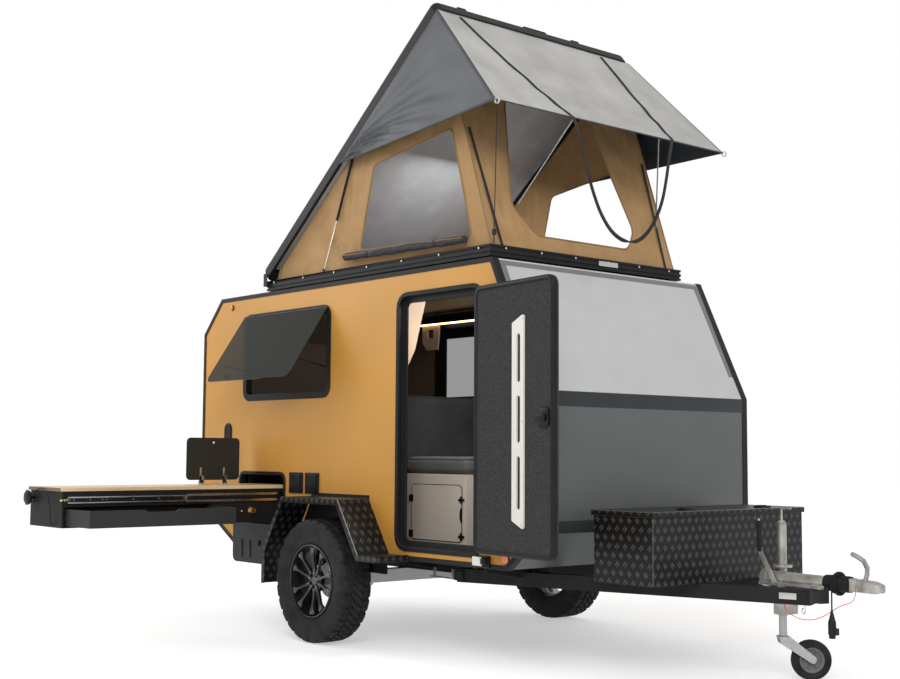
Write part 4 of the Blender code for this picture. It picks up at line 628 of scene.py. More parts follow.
def on_nose(y, rise, out):
    """A place on the sloped upper nose: across, up along its slope, and out from its face."""
    foot = np.array((NOSE_X, 0.0, upper_low.z))
    top = np.array((AXLE_X + 1.427, 0.0, 2.268))
    along = (top - foot) / np.linalg.norm(top - foot)
    normal = np.array((along[2], 0.0, -along[0]))
    return foot + along * rise + normal * out + np.array((0.0, y, 0.0))


nose_rise = math.hypot(1.780 - 1.427, 2.268 - 1.517)
y0, y1 = upper_low.y + 0.004, upper_high.y - 0.004
FRAME_W = 0.045
strips = []
for a, b, c, d in (
    (y0, y1, 0.004, 0.030),
    (y0, y1, nose_rise - 0.036, nose_rise - 0.006),
    (y0, y0 + FRAME_W, 0.032, nose_rise - 0.038),
    (y1 - FRAME_W, y1, 0.032, nose_rise - 0.038),
):
    ring = [(a, c), (b, c), (b, d), (a, d)]
    rows = []
    cy, cz = (a + b) / 2, (c + d) / 2
    for level, pull in ((0.0004, 0.0), (0.0018, 0.0), (0.0026, 0.0010)):
        pulled = [
            (
                cy + (y - cy) * (1 - pull / (b - a)), cz + (r - cz) * (1 - pull / (d - c))
            ) for y, r in ring
        ]
        rows.append([on_nose(y, r, level) for y, r in pulled][::-1])
    strips.append(surface("strip", rows, around=True, ends=True, smooth=False))
piece("nose_frame", strips, strip_grey)

# Entry door
# A foam panel in a rounded aluminium profile, with needled felt inside and the body's paint outside.
# It hangs on three lift-off hinges and carries a slotted board and a turning latch.
felt = Finish("door_felt")
fleck = felt.noise(520, 3, 0.75)
clump = felt.noise(110, 4, 0.7)
# The board's own face tells felt and outer paint apart
outer = facing(felt, "y") > 0.5
felt_colour = felt.blend(
    felt.ramp(fleck * 0.6 + clump * 0.4, (0.38, 0.0), (0.62, 1.0)),
    (0.010, 0.011, 0.011),
    (0.075, 0.078, 0.076),
)
felt.shade(
    Base_Color=felt.blend(outer, felt_colour, OCHRE),
    Roughness=0.95 - outer * 0.55,
    Specular_IOR_Level=0.2,
)
felt.bump((fleck * 0.5 + clump * 0.5) * (1 - outer), 0.0016)
dressed("entry_door", felt, 0.0015)
seal_rubber = moulded("seal_rubber", (0.014, 0.014, 0.015), 0.38, 1200, 0.00006, 0.25)
dressed("door_frame", seal_rubber, 0.003)
rack_board = Finish("rack_board")
streak = rack_board.noise(14, 4, 0.6, (6, 6, 0.6))
rack_board.shade(
    Base_Color=rack_board.blend(
        streak, (0.74, 0.70, 0.62), (0.86, 0.83, 0.77)
    ), Roughness=0.42, Coat_Weight=0.1
)
rack_board.bump(rack_board.noise(300, 2), 0.0001)
dressed("door_rack", rack_board, 0.0015)


def grown_outline(low, high, radius, inset=0.0, steps=8):
    """A rounded rectangle's points in two dimensions, from its corners drawn in by an inset."""
    low, high = np.asarray(low, float) + inset, np.asarray(high, float) - inset
    radius = max(radius - inset, 0.001)
    turn = np.linspace(0, np.pi / 2, steps + 1)
    arc = np.stack([np.cos(turn), np.sin(turn)], 1) * radius
    corners = []
    for k, (sx, sy) in enumerate(((1, 1), (0, 1), (0, 0), (1, 0))):
        c, s = math.cos(k * math.pi / 2), math.sin(k * math.pi / 2)
        turned_arc = arc @ np.array([(c, s), (-s, c)])
        centre = np.where((sx, sy), high - radius, low + radius)
        corners.append(turned_arc + centre)
    return np.concatenate(corners)


def rail_around(name, low, high, radius, section, place):
    """A profile carried round a rounded rectangle: section holds (inset, depth), and place turns
    (u, v, depth) arrays into points."""
    rows = []
    for inset, depth in section:
        ring = grown_outline(low, high, radius, inset)
        rows.append(place(ring[:, 0], ring[:, 1], np.full(len(ring), depth)))
    return surface(name, rows, around=True, along=True)


# The door stands almost flat against the wall, so its profile is set out along its own face
door_axis = np.array((*at(1.340, -0.926, 0.0)[:2], 0.0))
DOOR_OPEN = math.radians(173)
door_x = np.array((math.cos(DOOR_OPEN), math.sin(DOOR_OPEN), 0.0))
door_y = np.array((-math.sin(DOOR_OPEN), math.cos(DOOR_OPEN), 0.0))


def on_door(u, v, depth):
    return door_axis + u[:, None] * door_x + depth[:, None] * door_y + v[:, None] * np.array((0, 0, 1.0))


DOOR_T, RIM_OUT = 0.032, 0.005
DOOR_FACE = 0.010 + DOOR_T
rim_section = [
    (-0.0004, DOOR_FACE - 0.020),
    (-0.0004, DOOR_FACE + 0.001),
    (0.0040, DOOR_FACE + RIM_OUT + 0.0015),
    (0.0120, DOOR_FACE + RIM_OUT + 0.0045),
    (0.0200, DOOR_FACE + RIM_OUT + 0.0040),
    (0.0270, DOOR_FACE + 0.0015),
    (0.0270, DOOR_FACE - 0.002),
    (0.0040, DOOR_FACE - 0.020),
]
rim = rail_around(
    "door_rim", (-0.7370, 0.6280), (-0.0180, 2.1020), 0.057, rim_section[::-1], on_door
)
piece("door_rim", rim, seal_rubber, "entry_door", slot="rubber_seal")


def door_box(name, u0, u1, v0, v1, d0, d1, edge=0.002):
    """A rounded block in the door's own directions."""
    return moved(plate(name, (u0, d0, v0), (u1, d1, v1), edge), lambda u, d, v: on_door(u, v, d))


# The latch's plate, its turning handle and the boss between them, in rows about its middle
LATCH_U, LATCH_V = -0.665, 1.363
latch = []
for u0, u1, half_v, d0, d1 in (
    (-0.041, 0.041, 0.046, 0.0, 0.018),
    (-0.030, 0.052, 0.014, 0.0185, 0.036),
    (-0.016, 0.016, 0.022, 0.016, 0.026),
):
    u0, u1, v0, v1 = LATCH_U + u0, LATCH_U + u1, LATCH_V - half_v, LATCH_V + half_v
    latch.append(door_box("latch", u0, u1, v0, v1, DOOR_FACE + d0, DOOR_FACE + d1, 0.006))
black_moulding = moulded("black_moulding", (0.012, 0.012, 0.013), 0.3, 1500, 0.00005, 0.2)
piece("door_latch", latch, black_moulding, "entry_door", slot="rubber_seal")
screws = []
SCREW_U, SCREW_R = -0.478, 0.005
for v in (0.800, 1.345, 1.890):
    u0, u1, v0, v1 = SCREW_U - SCREW_R, SCREW_U + SCREW_R, v - SCREW_R, v + SCREW_R
    screws.append(door_box("screw", u0, u1, v0, v1, DOOR_FACE + 0.0125, DOOR_FACE + 0.0145, 0.0049))
steel = brushed("bright_steel", (0.62, 0.62, 0.62), 0.28)
piece("rack_screws", screws, steel, "entry_door", slot="bright_steel")

# Side windows
# Double acrylic, tinted green grey, in a black frame. The right one is propped open on two stays.
acrylic = Finish("tinted_acrylic")
acrylic.shade(
    Base_Color=(0.018, 0.021, 0.015),
    Roughness=0.06,
    Specular_IOR_Level=0.15,
    Alpha=0.76,
)
clear_acrylic = Finish("clear_acrylic")
clear_acrylic.shade(Base_Color=(0.10, 0.115, 0.085), Roughness=0.06, Coat_Weight=0.5, Alpha=0.45)
for side, glass in (("right", acrylic), ("left", clear_acrylic)):
    dressed("window_frame_" + side, seal_rubber, 0.003, flat=0)
    dressed("window_sash_" + side, glass, 0.0012)
sash_low, sash_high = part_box("window_sash_right")
frame_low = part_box("window_frame_right")[0]
# The stays run from the frame's sides to the sash's lower corners
sash_top = np.array((0.0, sash_high.y - 0.0055, sash_high.z - 0.0055))
sash_foot = np.array((0.0, sash_low.y, sash_low.z))
sash_way = (sash_foot - sash_top) / np.linalg.norm(sash_foot - sash_top)
sash_in = np.array((0.0, sash_way[2], -sash_way[1]))
stays, catches = [], []
for x in (sash_low.x + 0.030, sash_high.x - 0.030):
    foot = np.array((x, frame_low.y + 0.010, frame_low.z + 0.200))
    head = np.array((x, 0, 0)) + sash_top + sash_way * 0.400 - sash_in * 0.012
    middle = foot + (head - foot) * 0.55
    stays.append(tube("stay", [foot, middle], 0.0055, 12))
    stays.append(tube("stay", [middle, head], 0.0035, 10))
for x in (sash_low.x + 0.22, sash_high.x - 0.22):
    place = np.array((x, 0, 0)) + sash_top + sash_way * 0.515 - sash_in * 0.010
    catches.append(
        plate("catch", place - (0.024, 0.006, 0.012), place + (0.024, 0.006, 0.012), 0.004)
    )
piece("window_stays", stays, black_moulding, slot="rubber_seal")
piece("window_catches", catches, black_moulding, slot="rubber_seal")

# Chassis and axle
# Welded box section: the frame is powder coated and the torsion axle is hot-dip galvanised.
# Two beams run forward under the floor and meet at the coupling.
zinc = Finish("zinc")
spangle = zinc.node("ShaderNodeTexVoronoi", values={"Vector": zinc.place(), "Scale": 130.0}, out=1)
spangle_tone = zinc.node("ShaderNodeRGBToBW", values={0: spangle})
cloud = zinc.noise(9, 4)
tone = spangle_tone * 0.35 + cloud * 0.65
zinc.shade(
    Base_Color=zinc.blend(tone, (0.30, 0.31, 0.32), (0.58, 0.59, 0.60)),
    Roughness=0.34 + tone * 0.20,
    Metallic=0.85,
)
zinc.bump(cloud * 0.5 + zinc.noise(400, 2) * 0.5, 0.0002)
black_steel = moulded("black_steel", (0.017, 0.017, 0.018), 0.46, 700, 0.0002, 0.4)
dressed("chassis_frame", black_steel, 0.002)
dressed("axle_beam", zinc, 0.0015)

# Tyres
# All-terrain tyres of black rubber with a dusty bloom: two zigzag grooves part a blocky middle from
# shoulder blocks that reach down the wall.
TYRE_R = 0.380
PITCHES = 26
tyre_rubber = Finish("tyre_rubber")
bloom = tyre_rubber.noise(12, 4)
fine = tyre_rubber.noise(220, 3)
tyre_rubber.shade(
    Base_Color=tyre_rubber.blend(
        tyre_rubber.ramp(
            bloom, (0.35, 0.0), (0.75, 1.0)
        ), (0.011, 0.011, 0.011), (0.030, 0.029, 0.027)
    ),
    Roughness=0.60 + fine * 0.2,
    Specular_IOR_Level=0.25,
)
tyre_rubber.bump(fine, 0.0005)

# The wall from the tread's edge to the bead, in rows of distance from the middle and radius
TYRE_WALL = [
    (0.0900, 0.3765),
    (0.0975, 0.3725),
    (0.1020, 0.3650),
    (0.1045, 0.3550),
    (0.1062, 0.3450),
    (0.1074, 0.3300),
    (0.1070, 0.3130),
    (0.1052, 0.2950),
    (0.1015, 0.2760),
    (0.0975, 0.2600),
    (0.0945, 0.2480),
    (0.0930, 0.2400),
    (0.0905, 0.2330),
    (0.0840, 0.2240),
]


def ease(value, low, high):
    """0 below low, 1 above high, and a smooth S between them."""
    t = np.clip((value - low) / (high - low), 0, 1)
    return t * t * (3 - 2 * t)


def tyre_mesh(name, centre_y):
    """A tyre by angle (rows) and by the section from bead to bead (columns). Zigzag grooves and slots
    lower the tread, and every second gap between shoulder blocks goes on down the wall."""
    wall = np.array(TYRE_WALL)
    tread = np.linspace(-0.0855, 0.0855, 41)
    crown = np.stack([tread, TYRE_R - 0.0022 * (tread / 0.0855) ** 2], 1)
    section = np.concatenate([wall[::-1] * (-1, 1), crown, wall])
    turn = np.linspace(0, 2 * np.pi, PITCHES * 24, endpoint=False)[:, None]
    w, radius = section[None, :, 0], section[None, :, 1]
    u = (turn * PITCHES / (2 * np.pi)) % 1.0
    shift = (u + 0.5 * (w > 0)) % 1.0
    zig = 0.0042 * (np.abs(((u + 0.25) % 1.0) * 4 - 2) - 1)
    groove = 1 - ease(np.abs(np.abs(w) - 0.046 - zig), 0.0030, 0.0062)
    shoulder = ease(np.abs(w), 0.046, 0.052)
    slot = (1 - ease(np.abs(shift - 0.5), 0.085, 0.140)) * shoulder
    sipe = (
        1 - ease(np.abs(shift - 0.0), 0.012, 0.035)
    ) * shoulder * (1 - ease(np.abs(w), 0.078, 0.084))
    slant = (u + w * 9.0) % 0.5
    middle = (1 - ease(np.abs(slant - 0.25), 0.030, 0.060)) * (1 - ease(np.abs(w), 0.040, 0.046))
    ring = 1 - ease(np.abs(w), 0.0035, 0.0065)
    fade = ease(radius, 0.340, 0.350)
    drop = np.maximum.reduce(
        [groove, slot, sipe * 0.5, middle * 0.8, ring * 0.7 + 0 * u]
    ) * 0.0105 * fade
    # Ribs and a scuff bead on the wall, and a shallow band that stands where markings would be
    band = 0.0011 * (ease(radius, 0.262, 0.268) - ease(radius, 0.318, 0.324))
    bead = 0.0022 * np.exp(-(((radius - 0.247) / 0.0022) ** 2))
    out = w + np.sign(w) * (band + bead - 0.0011) * (np.abs(w) > 0.09) - np.sign(w) * 0.35 * drop * (np.abs(w) > 0.088)
    small = radius - drop * np.where(np.abs(w) > 0.099, 0.35, 1.0)
    small = np.broadcast_to(small, (len(turn), section.shape[0]))
    out = np.broadcast_to(out, small.shape)
    points = np.stack(
        [AXLE_X + small * np.cos(turn), centre_y + out, TYRE_R + small * np.sin(turn)], -1
    )
    return surface(name, points, around=True, along=True)


for side in ("right", "left"):
    low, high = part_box("tyre_" + side)
    tyre = tyre_mesh("tyre_" + side, (low.y + high.y) / 2)
    piece(
        "all_terrain_tyre_" + side,
        tyre,
        tyre_rubber,
        "road_wheel_" + side,
        "tyre_" + side,
        slot="tyre",
    )

# Rims
# Cast alloy in gloss black: ten spokes in pairs run from the hub to the lip, and a cutter has faced
# one thin line on each. Five nuts hold each rim, and a plain cap closes the bore.
SPOKES = 10
NUT = [(0.0001, 0.0), (0.009, 0.0), (0.0095, 0.010), (0.0075, 0.014), (0.0001, 0.014)]
alloy = Finish("black_alloy")
bared = alloy.node("ShaderNodeAttribute", {"attribute_name": "faced"}, out=2)
cut_lines = alloy.noise(900, 2)
alloy.shade(
    Base_Color=alloy.blend(bared, (0.012, 0.012, 0.013), (0.20, 0.20, 0.20)),
    Roughness=0.24 + bared * 0.12 + cut_lines * 0.06,
    Metallic=bared * 0.9,
    Coat_Weight=0.4,
)
alloy.bump(cut_lines, 0.00005)


def faced(mesh, amount):
    """Marks where the cutter has bared the metal, from 0 to 1 a point."""
    mesh.attributes.new("faced", "FLOAT", "POINT").data.foreach_set(
        "value", np.asarray(amount, np.float32).ravel()
    )
    return mesh


def spoke_mesh(centre_y, side, angle):
    """One spoke: a grid along its length and over its crowned section. Its width waists in the middle
    and flares into the lip, and its face sweeps back towards the hub."""
    s = np.linspace(0, 1, 22)[:, None]
    t = np.linspace(-1, 1, 15)[None, :]
    along = 0.048 + (0.203 - 0.048) * s
    width = 0.0125 - 0.0045 * np.sin(np.pi * s) + 0.012 * ease(s, 0.72, 1.0)
    lateral = width * np.clip(t * 1.5, -1, 1)
    crown = 0.0045 * (1 - np.clip(np.abs(t) * 1.5, 0, 1) ** 2) * 0.5
    side_drop = 0.020 * np.clip(np.abs(t) * 1.5 - 1, 0, 0.5) * 2
    groove = 0.0035 * (
        1 - ease(np.abs(t), 0.16, 0.30)
    ) * ease(s, 0.05, 0.2) * (1 - ease(s, 0.75, 0.95))
    face = 0.068 + 0.020 * ease(s, 0.0, 1.0) + 0 * t
    depth = face + crown - side_drop - groove
    x, z = along + 0 * t, lateral + 0 * s
    points = np.stack(
        [
            AXLE_X + x * math.cos(angle) - z * math.sin(angle),
            centre_y + side * depth,
            TYRE_R + x * math.sin(angle) + z * math.cos(angle),
        ],
        -1,
    )
    if side > 0:
        points = points[:, ::-1]
    bright = ease(t, 0.54, 0.60) * (
        1 - ease(t, 0.66, 0.72)
    ) * ease(s, 0.15, 0.3) * (1 - ease(s, 0.85, 0.97))
    return faced(surface("spoke", points), bright if side < 0 else bright[:, ::-1])


for side_name, side in (("right", -1), ("left", 1)):
    low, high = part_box("tyre_" + side_name)
    middle = (low.y + high.y) / 2
    lip = [
        (0.2100, 0.040),
        (0.2140, 0.088),
        (0.2165, 0.0955),
        (0.2215, 0.0975),
        (0.2255, 0.0940),
        (0.2265, 0.0880),
        (0.2200, 0.0780),
        (0.2150, 0.050),
        (0.2150, -0.070),
        (0.2250, -0.092),
        (0.2190, -0.096),
        (0.2080, -0.070),
        (0.2060, 0.030),
    ]
    hub = [(0.0001, 0.0640), (0.0270, 0.0640), (0.0290, 0.0620), (0.0295, 0.0560), (0.0560, 0.0560)]
    hub += [
        (0.0620, 0.0620), (0.0680, 0.0600), (0.0700, 0.0300), (0.0300, 0.0200), (0.0001, 0.0200)
    ]
    parts = []
    for rows, hollow in ((np.array(lip), True), (np.array(hub), False)):
        angle = np.linspace(0, 2 * np.pi, 96, endpoint=False)[None, :]
        ring = np.stack(
            [
                AXLE_X + rows[:, 0, None] * np.cos(angle),
                middle + side * rows[:, 1, None] + 0 * angle,
                TYRE_R + rows[:, 0, None] * np.sin(angle),
            ],
            -1,
        )
        ring = ring if side < 0 else ring[:, ::-1]
        parts.append(
            faced(surface("ring", ring[::-1], around=True, along=hollow), np.zeros(ring.shape[:2]))
        )
    for k in range(SPOKES):
        pair = (k % 2 - 0.5) * 0.10
        parts.append(spoke_mesh(middle, side, 2 * math.pi * (k + 0.5) / SPOKES + pair))
    for k in range(5):
        around = 2 * math.pi * (k + 0.25) / 5
        spot = (AXLE_X + 0.043 * math.cos(around), 0.0, TYRE_R + 0.043 * math.sin(around))
        nut = turned("nut", "y", spot, NUT, 6)
        moved(nut, lambda x, y, z: np.stack([x, middle + side * (0.0560 + y), z], 1))
        if side < 0:
            nut.flip_normals()
        parts.append(faced(nut, np.full(len(nut.vertices), 0.8)))
    rim = piece(
        "alloy_rim_" + side_name,
        joined("alloy_rim", parts),
        alloy,
        "road_wheel_" + side_name,
        "rim_" + side_name,
        slot="black_alloy",
    )

# Fenders
# Black-painted aluminium tread plate, folded over each wheel with an outer lip; a bright line on the lip's front slope
# is a painted highlight.
# Each has a step in front and a flap behind.
tread = Finish("tread_plate")
PAIR_ACROSS, PAIR_ROW, BAR_LONG, BAR_WIDE, BAR_APART = 0.056, 0.046, 0.0185, 0.0034, 0.0066


def lozenges(finish, u, v, lean):
    """Raised bars of tread plate: pairs of slim ovals in rows set half a step apart, which lean left and
    right by turns."""
    row = v / PAIR_ROW
    odd = ((row - row.part()) * 0.5).part() * 2
    dv = (row.part() - 0.5) * PAIR_ROW
    du = ((u / PAIR_ACROSS + odd * 0.5).part() - 0.5) * PAIR_ACROSS * lean * (odd * 2 - 1)
    long_way = du * 0.62 + dv * 0.78
    short_way = (dv * 0.62 - du * 0.78).size() - BAR_APART
    oval = long_way * long_way * (1 / BAR_LONG**2) + short_way * short_way * (1 / BAR_WIDE**2)
    return finish.ramp(oval, (0.45, 1.0), (1.0, 0.0))


def shared_bars(finish):
    """The pattern on the two flat directions of each face, chosen by the face's own direction."""
    x, y, z = finish.lengths()
    flat_top, flat_side = facing(finish, "z").size() > 0.6, facing(finish, "y").size() > 0.6
    u = x * (flat_top + flat_side) + y * (1 - flat_top - flat_side)
    v = y * flat_top + z * (1 - flat_top)
    return lozenges(finish, u + 10.0, v + 10.0, 1 - flat_side * 2)


bars = shared_bars(tread)
scuff = tread.noise(7, 4)
glint_noise = tread.noise(90, 3)
# The raised bars are coloured lighter than the black plate, varied by noise: painted highlights on the bars.
tread.shade(
    Base_Color=tread.blend(
        bars * tread.ramp(glint_noise, (0.30, 0.35), (0.60, 1.0)),
        (0.008, 0.008, 0.0085),
        (0.150, 0.150, 0.146),
    ),
    Roughness=0.30 + scuff * 0.14,
    Metallic=0.25,
    Specular_IOR_Level=0.3,
)
tread.bump(bars + glint_noise * 0.05, 0.0016)
edge_highlight = brushed("edge_highlight", (0.62, 0.62, 0.61), 0.3)
FENDER_FOLD = [
    (0.700, 0.570),
    (0.520, 0.570),
    (0.310, 0.890),
    (-0.310, 0.890),
    (-0.520, 0.550),
    (-0.520, 0.330),
]
for side_name, side in (("right", -1), ("left", 1)):
    dressed("fender_" + side_name, tread, 0.0012)
    low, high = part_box("fender_" + side_name)
    edge_y = low.y if side < 0 else high.y
    # A thin bright line along the lip's front slope: painted highlight on the fold.
    fold = np.array([(AXLE_X + x, edge_y - side * 0.0012, z + 0.0006) for x, z in FENDER_FOLD[1:3]])
    piece(
        "fender_edge_" + side_name,
        tube("edge_line", fold, 0.0016, 8),
        edge_highlight,
        slot="tread_plate",
    )
    # The step's front edge is a folded rail, and a black sheet on the wall inside the arch is painted shade under the
    # fender.
    inner = high.y if side < 0 else low.y
    rail_y = sorted((inner + side * 0.004, edge_y - side * 0.001))
    step_rail = plate(
        "step_rail", (AXLE_X + 0.694, rail_y[0], 0.536), (AXLE_X + 0.706, rail_y[1], 0.5735), 0.004
    )
    piece("step_rail_" + side_name, step_rail, tread, slot="tread_plate")
    arch = np.array(
        [
            (0.500, 0.5620),
            (0.296, 0.8850),
            (-0.300, 0.8850),
            (-0.500, 0.5480),
            (-0.500, 0.4450),
            (0.500, 0.4450),
        ]
    )
    depth = np.array([side * 0.0005, side * 0.0035]) + (wall_low.y if side < 0 else left_high.y)
    rows = [[(AXLE_X + x, y, z) for x, z in arch] for y in sorted(depth)[::-1]]
    shade_sheet = surface("arch_shade_sheet", rows, around=True, ends=True, smooth=False)
    piece("arch_liner_" + side_name, shade_sheet, seal_rubber)

# Tent base
# An extruded black rail all round a flat board, bolted to the roof on three bars. Bright screws sit in
# its grooves, and a small blank plate is on its front.
dressed("tent_base", black_coat, 0.0015)
tent_low, tent_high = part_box("tent_base")
TENT_X0, TENT_X1 = tent_low.x, tent_high.x
TENT_Y0, TENT_Y1 = MIDDLE_Y - 0.834, MIDDLE_Y + 0.834
SCREW_Z = 2.349
SCREW = [(0.0001, 0.0), (0.006, 0.0), (0.007, 0.002), (0.004, 0.0036), (0.0001, 0.004)]
screws = []
for y_face, out in ((TENT_Y0, -1), (TENT_Y1, 1)):
    for x in np.linspace(TENT_X0 + 0.10, TENT_X1 - 0.10, 7):
        screw = turned("screw", "y", (x, 0.0, SCREW_Z), SCREW, 12)
        screws.append(moved(screw, lambda x, y, z: np.stack([x, y_face + out * y, z], 1)))
for y in np.linspace(TENT_Y0 + 0.12, TENT_Y1 - 0.12, 6):
    screws.append(turned("screw", "x", (TENT_X1, y, SCREW_Z), SCREW, 12))
piece("tent_base_screws", screws, steel, slot="bright_steel")
blank = plate(
    "base_plate",
    (TENT_X1 + 0.0002, MIDDLE_Y + 0.060, 2.322),
    (TENT_X1 + 0.0018, MIDDLE_Y + 0.230, 2.352),
    0.0008,
)
piece("base_plate", blank, brushed("base_plate", (0.62, 0.62, 0.61), 0.35, 0.6, (40, 1, 40)))

# Tent shell
# A shallow lid pressed from aluminium sheet and coated black, on pins at its rear corners. Two
# over-centre clamps and a bent handle stand on its front edge.
dressed("tent_shell", black_coat, 0.0025)
SHELL_OPEN = math.radians(38.5)
shell_pin = np.array(at(-1.003, 0.0, 2.400))
shell_x = np.array((math.cos(SHELL_OPEN), 0.0, math.sin(SHELL_OPEN)))
shell_z = np.array((-math.sin(SHELL_OPEN), 0.0, math.cos(SHELL_OPEN)))
SHELL_L, RIM_TOP, SHELL_HALF = 2.370, 0.052, 0.852


def on_shell(distance, y, drop):
    """A place on the open shell: its distance from the pins, across, and up from their line."""
    distance, y, drop = (np.asarray(v, float)[..., None] for v in (distance, y, drop))
    return shell_pin + shell_x * distance + shell_z * drop + np.array((0.0, 1.0, 0.0)) * y


clamps, levers = [], []
for y in (-0.600, 0.400):
    top = RIM_TOP + 0.0225
    clamps.append(
        plate(
            "clamp",
            (SHELL_L - 0.062, y - 0.032, RIM_TOP + 0.001),
            (SHELL_L - 0.010, y + 0.032, top),
            0.004,
        )
    )
    for back, front, y0, y1, low, high, edge in (
        (0.086, 0.022, -0.026, -0.012, 0.0, 0.016, 0.004),
        (0.086, 0.022, 0.012, 0.026, 0.0, 0.016, 0.004),
        (0.090, 0.066, -0.030, 0.030, 0.004, 0.018, 0.005),
    ):
        far = (SHELL_L - front, y + y1, top + high)
        levers.append(plate("lever", (SHELL_L - back, y + y0, top + low), far, edge))
piece(
    "clamp_feet",
    moved(joined("clamp_feet", clamps), on_shell),
    black_coat,
    "tent_shell",
    slot="black_trim",
)
piece(
    "clamp_levers",
    moved(joined("clamp_levers", levers), on_shell),
    steel,
    "tent_shell",
    slot="bright_steel",
)
lining = moulded("shell_lining", (0.50, 0.50, 0.51), 0.9, 500, 0.0006, 0.3)
lining_mesh = plate(
    "shell_lining",
    (0.05, -SHELL_HALF + 0.030, 0.024),
    (SHELL_L - 0.05, SHELL_HALF - 0.030, 0.044),
    0.006,
)
piece("shell_lining", moved(lining_mesh, on_shell), lining, "tent_shell", slot="grey_felt")
for side in ("right", "left"):
    dressed("strut_barrel_" + side, black_moulding, 0.001)
    dressed("strut_rod_" + side, steel, 0)

# Tent canvas
# Ripstop polycotton sewn to the shell and to the base, with bound window openings in the side and the
# front. It is drawn tight between them, with slack puckers along its seams.
CANVAS_HALF = 0.800
SIDE_WINDOW = [
    (0.035, 2.470, 0.03), (1.130, 2.430, 0.03), (0.945, 3.110, 0.05), (0.175, 3.010, 0.05)
]
FRONT_WINDOW = [
    (-0.560, 2.640, 0.10),
    (-0.400, 2.462, 0.10),
    (0.400, 2.462, 0.10),
    (0.500, 2.600, 0.10),
    (0.330, 3.350, 0.05),
    (-0.400, 3.350, 0.05),
]


def woven(name, thread, light, warp=900.0, roughness=0.85, slub=0.3, sheen=0.0):
    """Plain weave: two crossed sines make the threads, and slow noise makes thick and thin places."""
    made = Finish(name)
    x, y, z = made.lengths()
    over = ((x + y) * warp * 2).wave() * 0.5 + 0.5
    under = (z * warp * 2).wave() * 0.5 + 0.5
    threads = over * under
    patch = made.noise(5, 4)
    tone = patch * (1 - slub) + made.noise(240, 3, 0.6) * slub
    made.shade(
        Base_Color=made.blend(made.ramp(tone, (0.3, 0.0), (0.7, 1.0)), thread, light),
        Roughness=roughness,
    )
    if sheen:
        made.shade(Sheen_Weight=sheen, Sheen_Roughness=0.5)
    return made.bump(threads * 0.5 + made.noise(60, 4) * 0.5, 0.0009)


canvas_cloth = woven("tan_canvas", (0.37, 0.215, 0.090), (0.53, 0.325, 0.145))


def round_corners(rows, steps=7):
    """Points round an outline given in rows of (u, v, radius), each corner as an arc."""
    rows = np.array(rows, float)
    place = rows[:, :2]
    before, after = np.roll(place, 1, 0) - place, np.roll(place, -1, 0) - place
    before /= np.linalg.norm(before, axis=1)[:, None]
    after /= np.linalg.norm(after, axis=1)[:, None]
    half = np.arccos((before * after).sum(1)) / 2
    reach = (rows[:, 2] / np.tan(half))[:, None]
    start, end = place + before * reach, place + after * reach
    t = np.linspace(0, 1, steps)[None, :, None]
    # A conic through both tangent points leans on the corner itself
    weight = np.sin(half)[:, None, None]
    top = (1 - t) ** 2 * start[:, None] + 2 * t * (1 - t) * weight * place[:, None] + t**2 * end[:, None]
    return (top / ((1 - t) ** 2 + 2 * t * (1 - t) * weight + t**2)).reshape(-1, 2)


def even_ring(points, count, start=None):
    """Equally spaced points round a closed line, from the one nearest to a start."""
    points = np.asarray(points, float)
    if start is not None:
        points = np.roll(points, -int(np.argmin(np.linalg.norm(points - start, axis=1))), 0)
    loop = np.concatenate([points, points[:1]])
    length = np.concatenate([[0], np.cumsum(np.linalg.norm(np.diff(loop, axis=0), axis=1))])
    at_length = np.linspace(0, length[-1], count, endpoint=False)
    return np.stack([np.interp(at_length, length, loop[:, k]) for k in range(loop.shape[1])], 1)


def ray_ring(outline, centre, angles):
    """Where rays from a centre at given angles meet an outline."""
    outline = np.asarray(outline, float)
    rim = outline - centre
    around = np.unwrap(np.arctan2(rim[:, 1], rim[:, 0]))
    far = np.linalg.norm(rim, axis=1)
    order = np.argsort(around % (2 * np.pi))
    around, far = (around % (2 * np.pi))[order], far[order]
    around = np.concatenate([around - 2 * np.pi, around, around + 2 * np.pi])
    far = np.tile(far, 3)
    return np.interp(angles % (2 * np.pi), around, far)


def holed_panel(name, outer, hole, place, puff, rings=26, columns=220):
    """A panel of cloth with a window: rings run from the window's edge out to the panel's outline,
    along rays from the window's middle, and puff lifts each point by how far it is from both edges."""
    outer = even_ring(outer, 1600)
    hole = even_ring(hole, 1200)
    centre = hole.mean(0)
    # More rays where the outline has its corners: the rays go through evenly spaced points of it
    rim = even_ring(outer, columns)
    angle = np.arctan2(rim[:, 1] - centre[1], rim[:, 0] - centre[0])
    near = ray_ring(hole, centre, angle)
    far = np.linalg.norm(rim - centre, axis=1)
    step = np.linspace(0, 1, rings)[:, None]
    reach = near + (far - near) * step
    u, v = centre[0] + reach * np.cos(angle), centre[1] + reach * np.sin(angle)
    lift = puff(u, v, step * np.ones_like(u), (far - near) * np.ones_like(u))
    return surface(name, place(u, v, lift), around=True)


def creases(u, v):
    """Loose diagonal folds in slack cloth: a few sines along crossed directions, each slowly bent."""
    bend = 0.05 * np.sin(5 * u + 3 * v)
    one = np.sin((u * 0.9 + v * 1.3 + bend) * 21) * np.sin((u * 1.4 - v * 0.5) * 4.2 + 1)
    two = np.sin((u * 1.6 - v * 0.7 + bend) * 33 + 2) * np.sin((u * 0.6 + v * 1.2) * 5.5)
    three = np.sin((v * 0.4 + u * 2.1 - bend) * 52) * np.sin(u * 7 + v * 3)
    hung = np.sin(u * 78 + 2.4 * np.sin(v * 3.1 + u)) * (0.6 + 0.4 * np.sin(v * 2.3 + u * 5))
    return 0.50 * one + 0.25 * two + 0.15 * three + 0.55 * hung


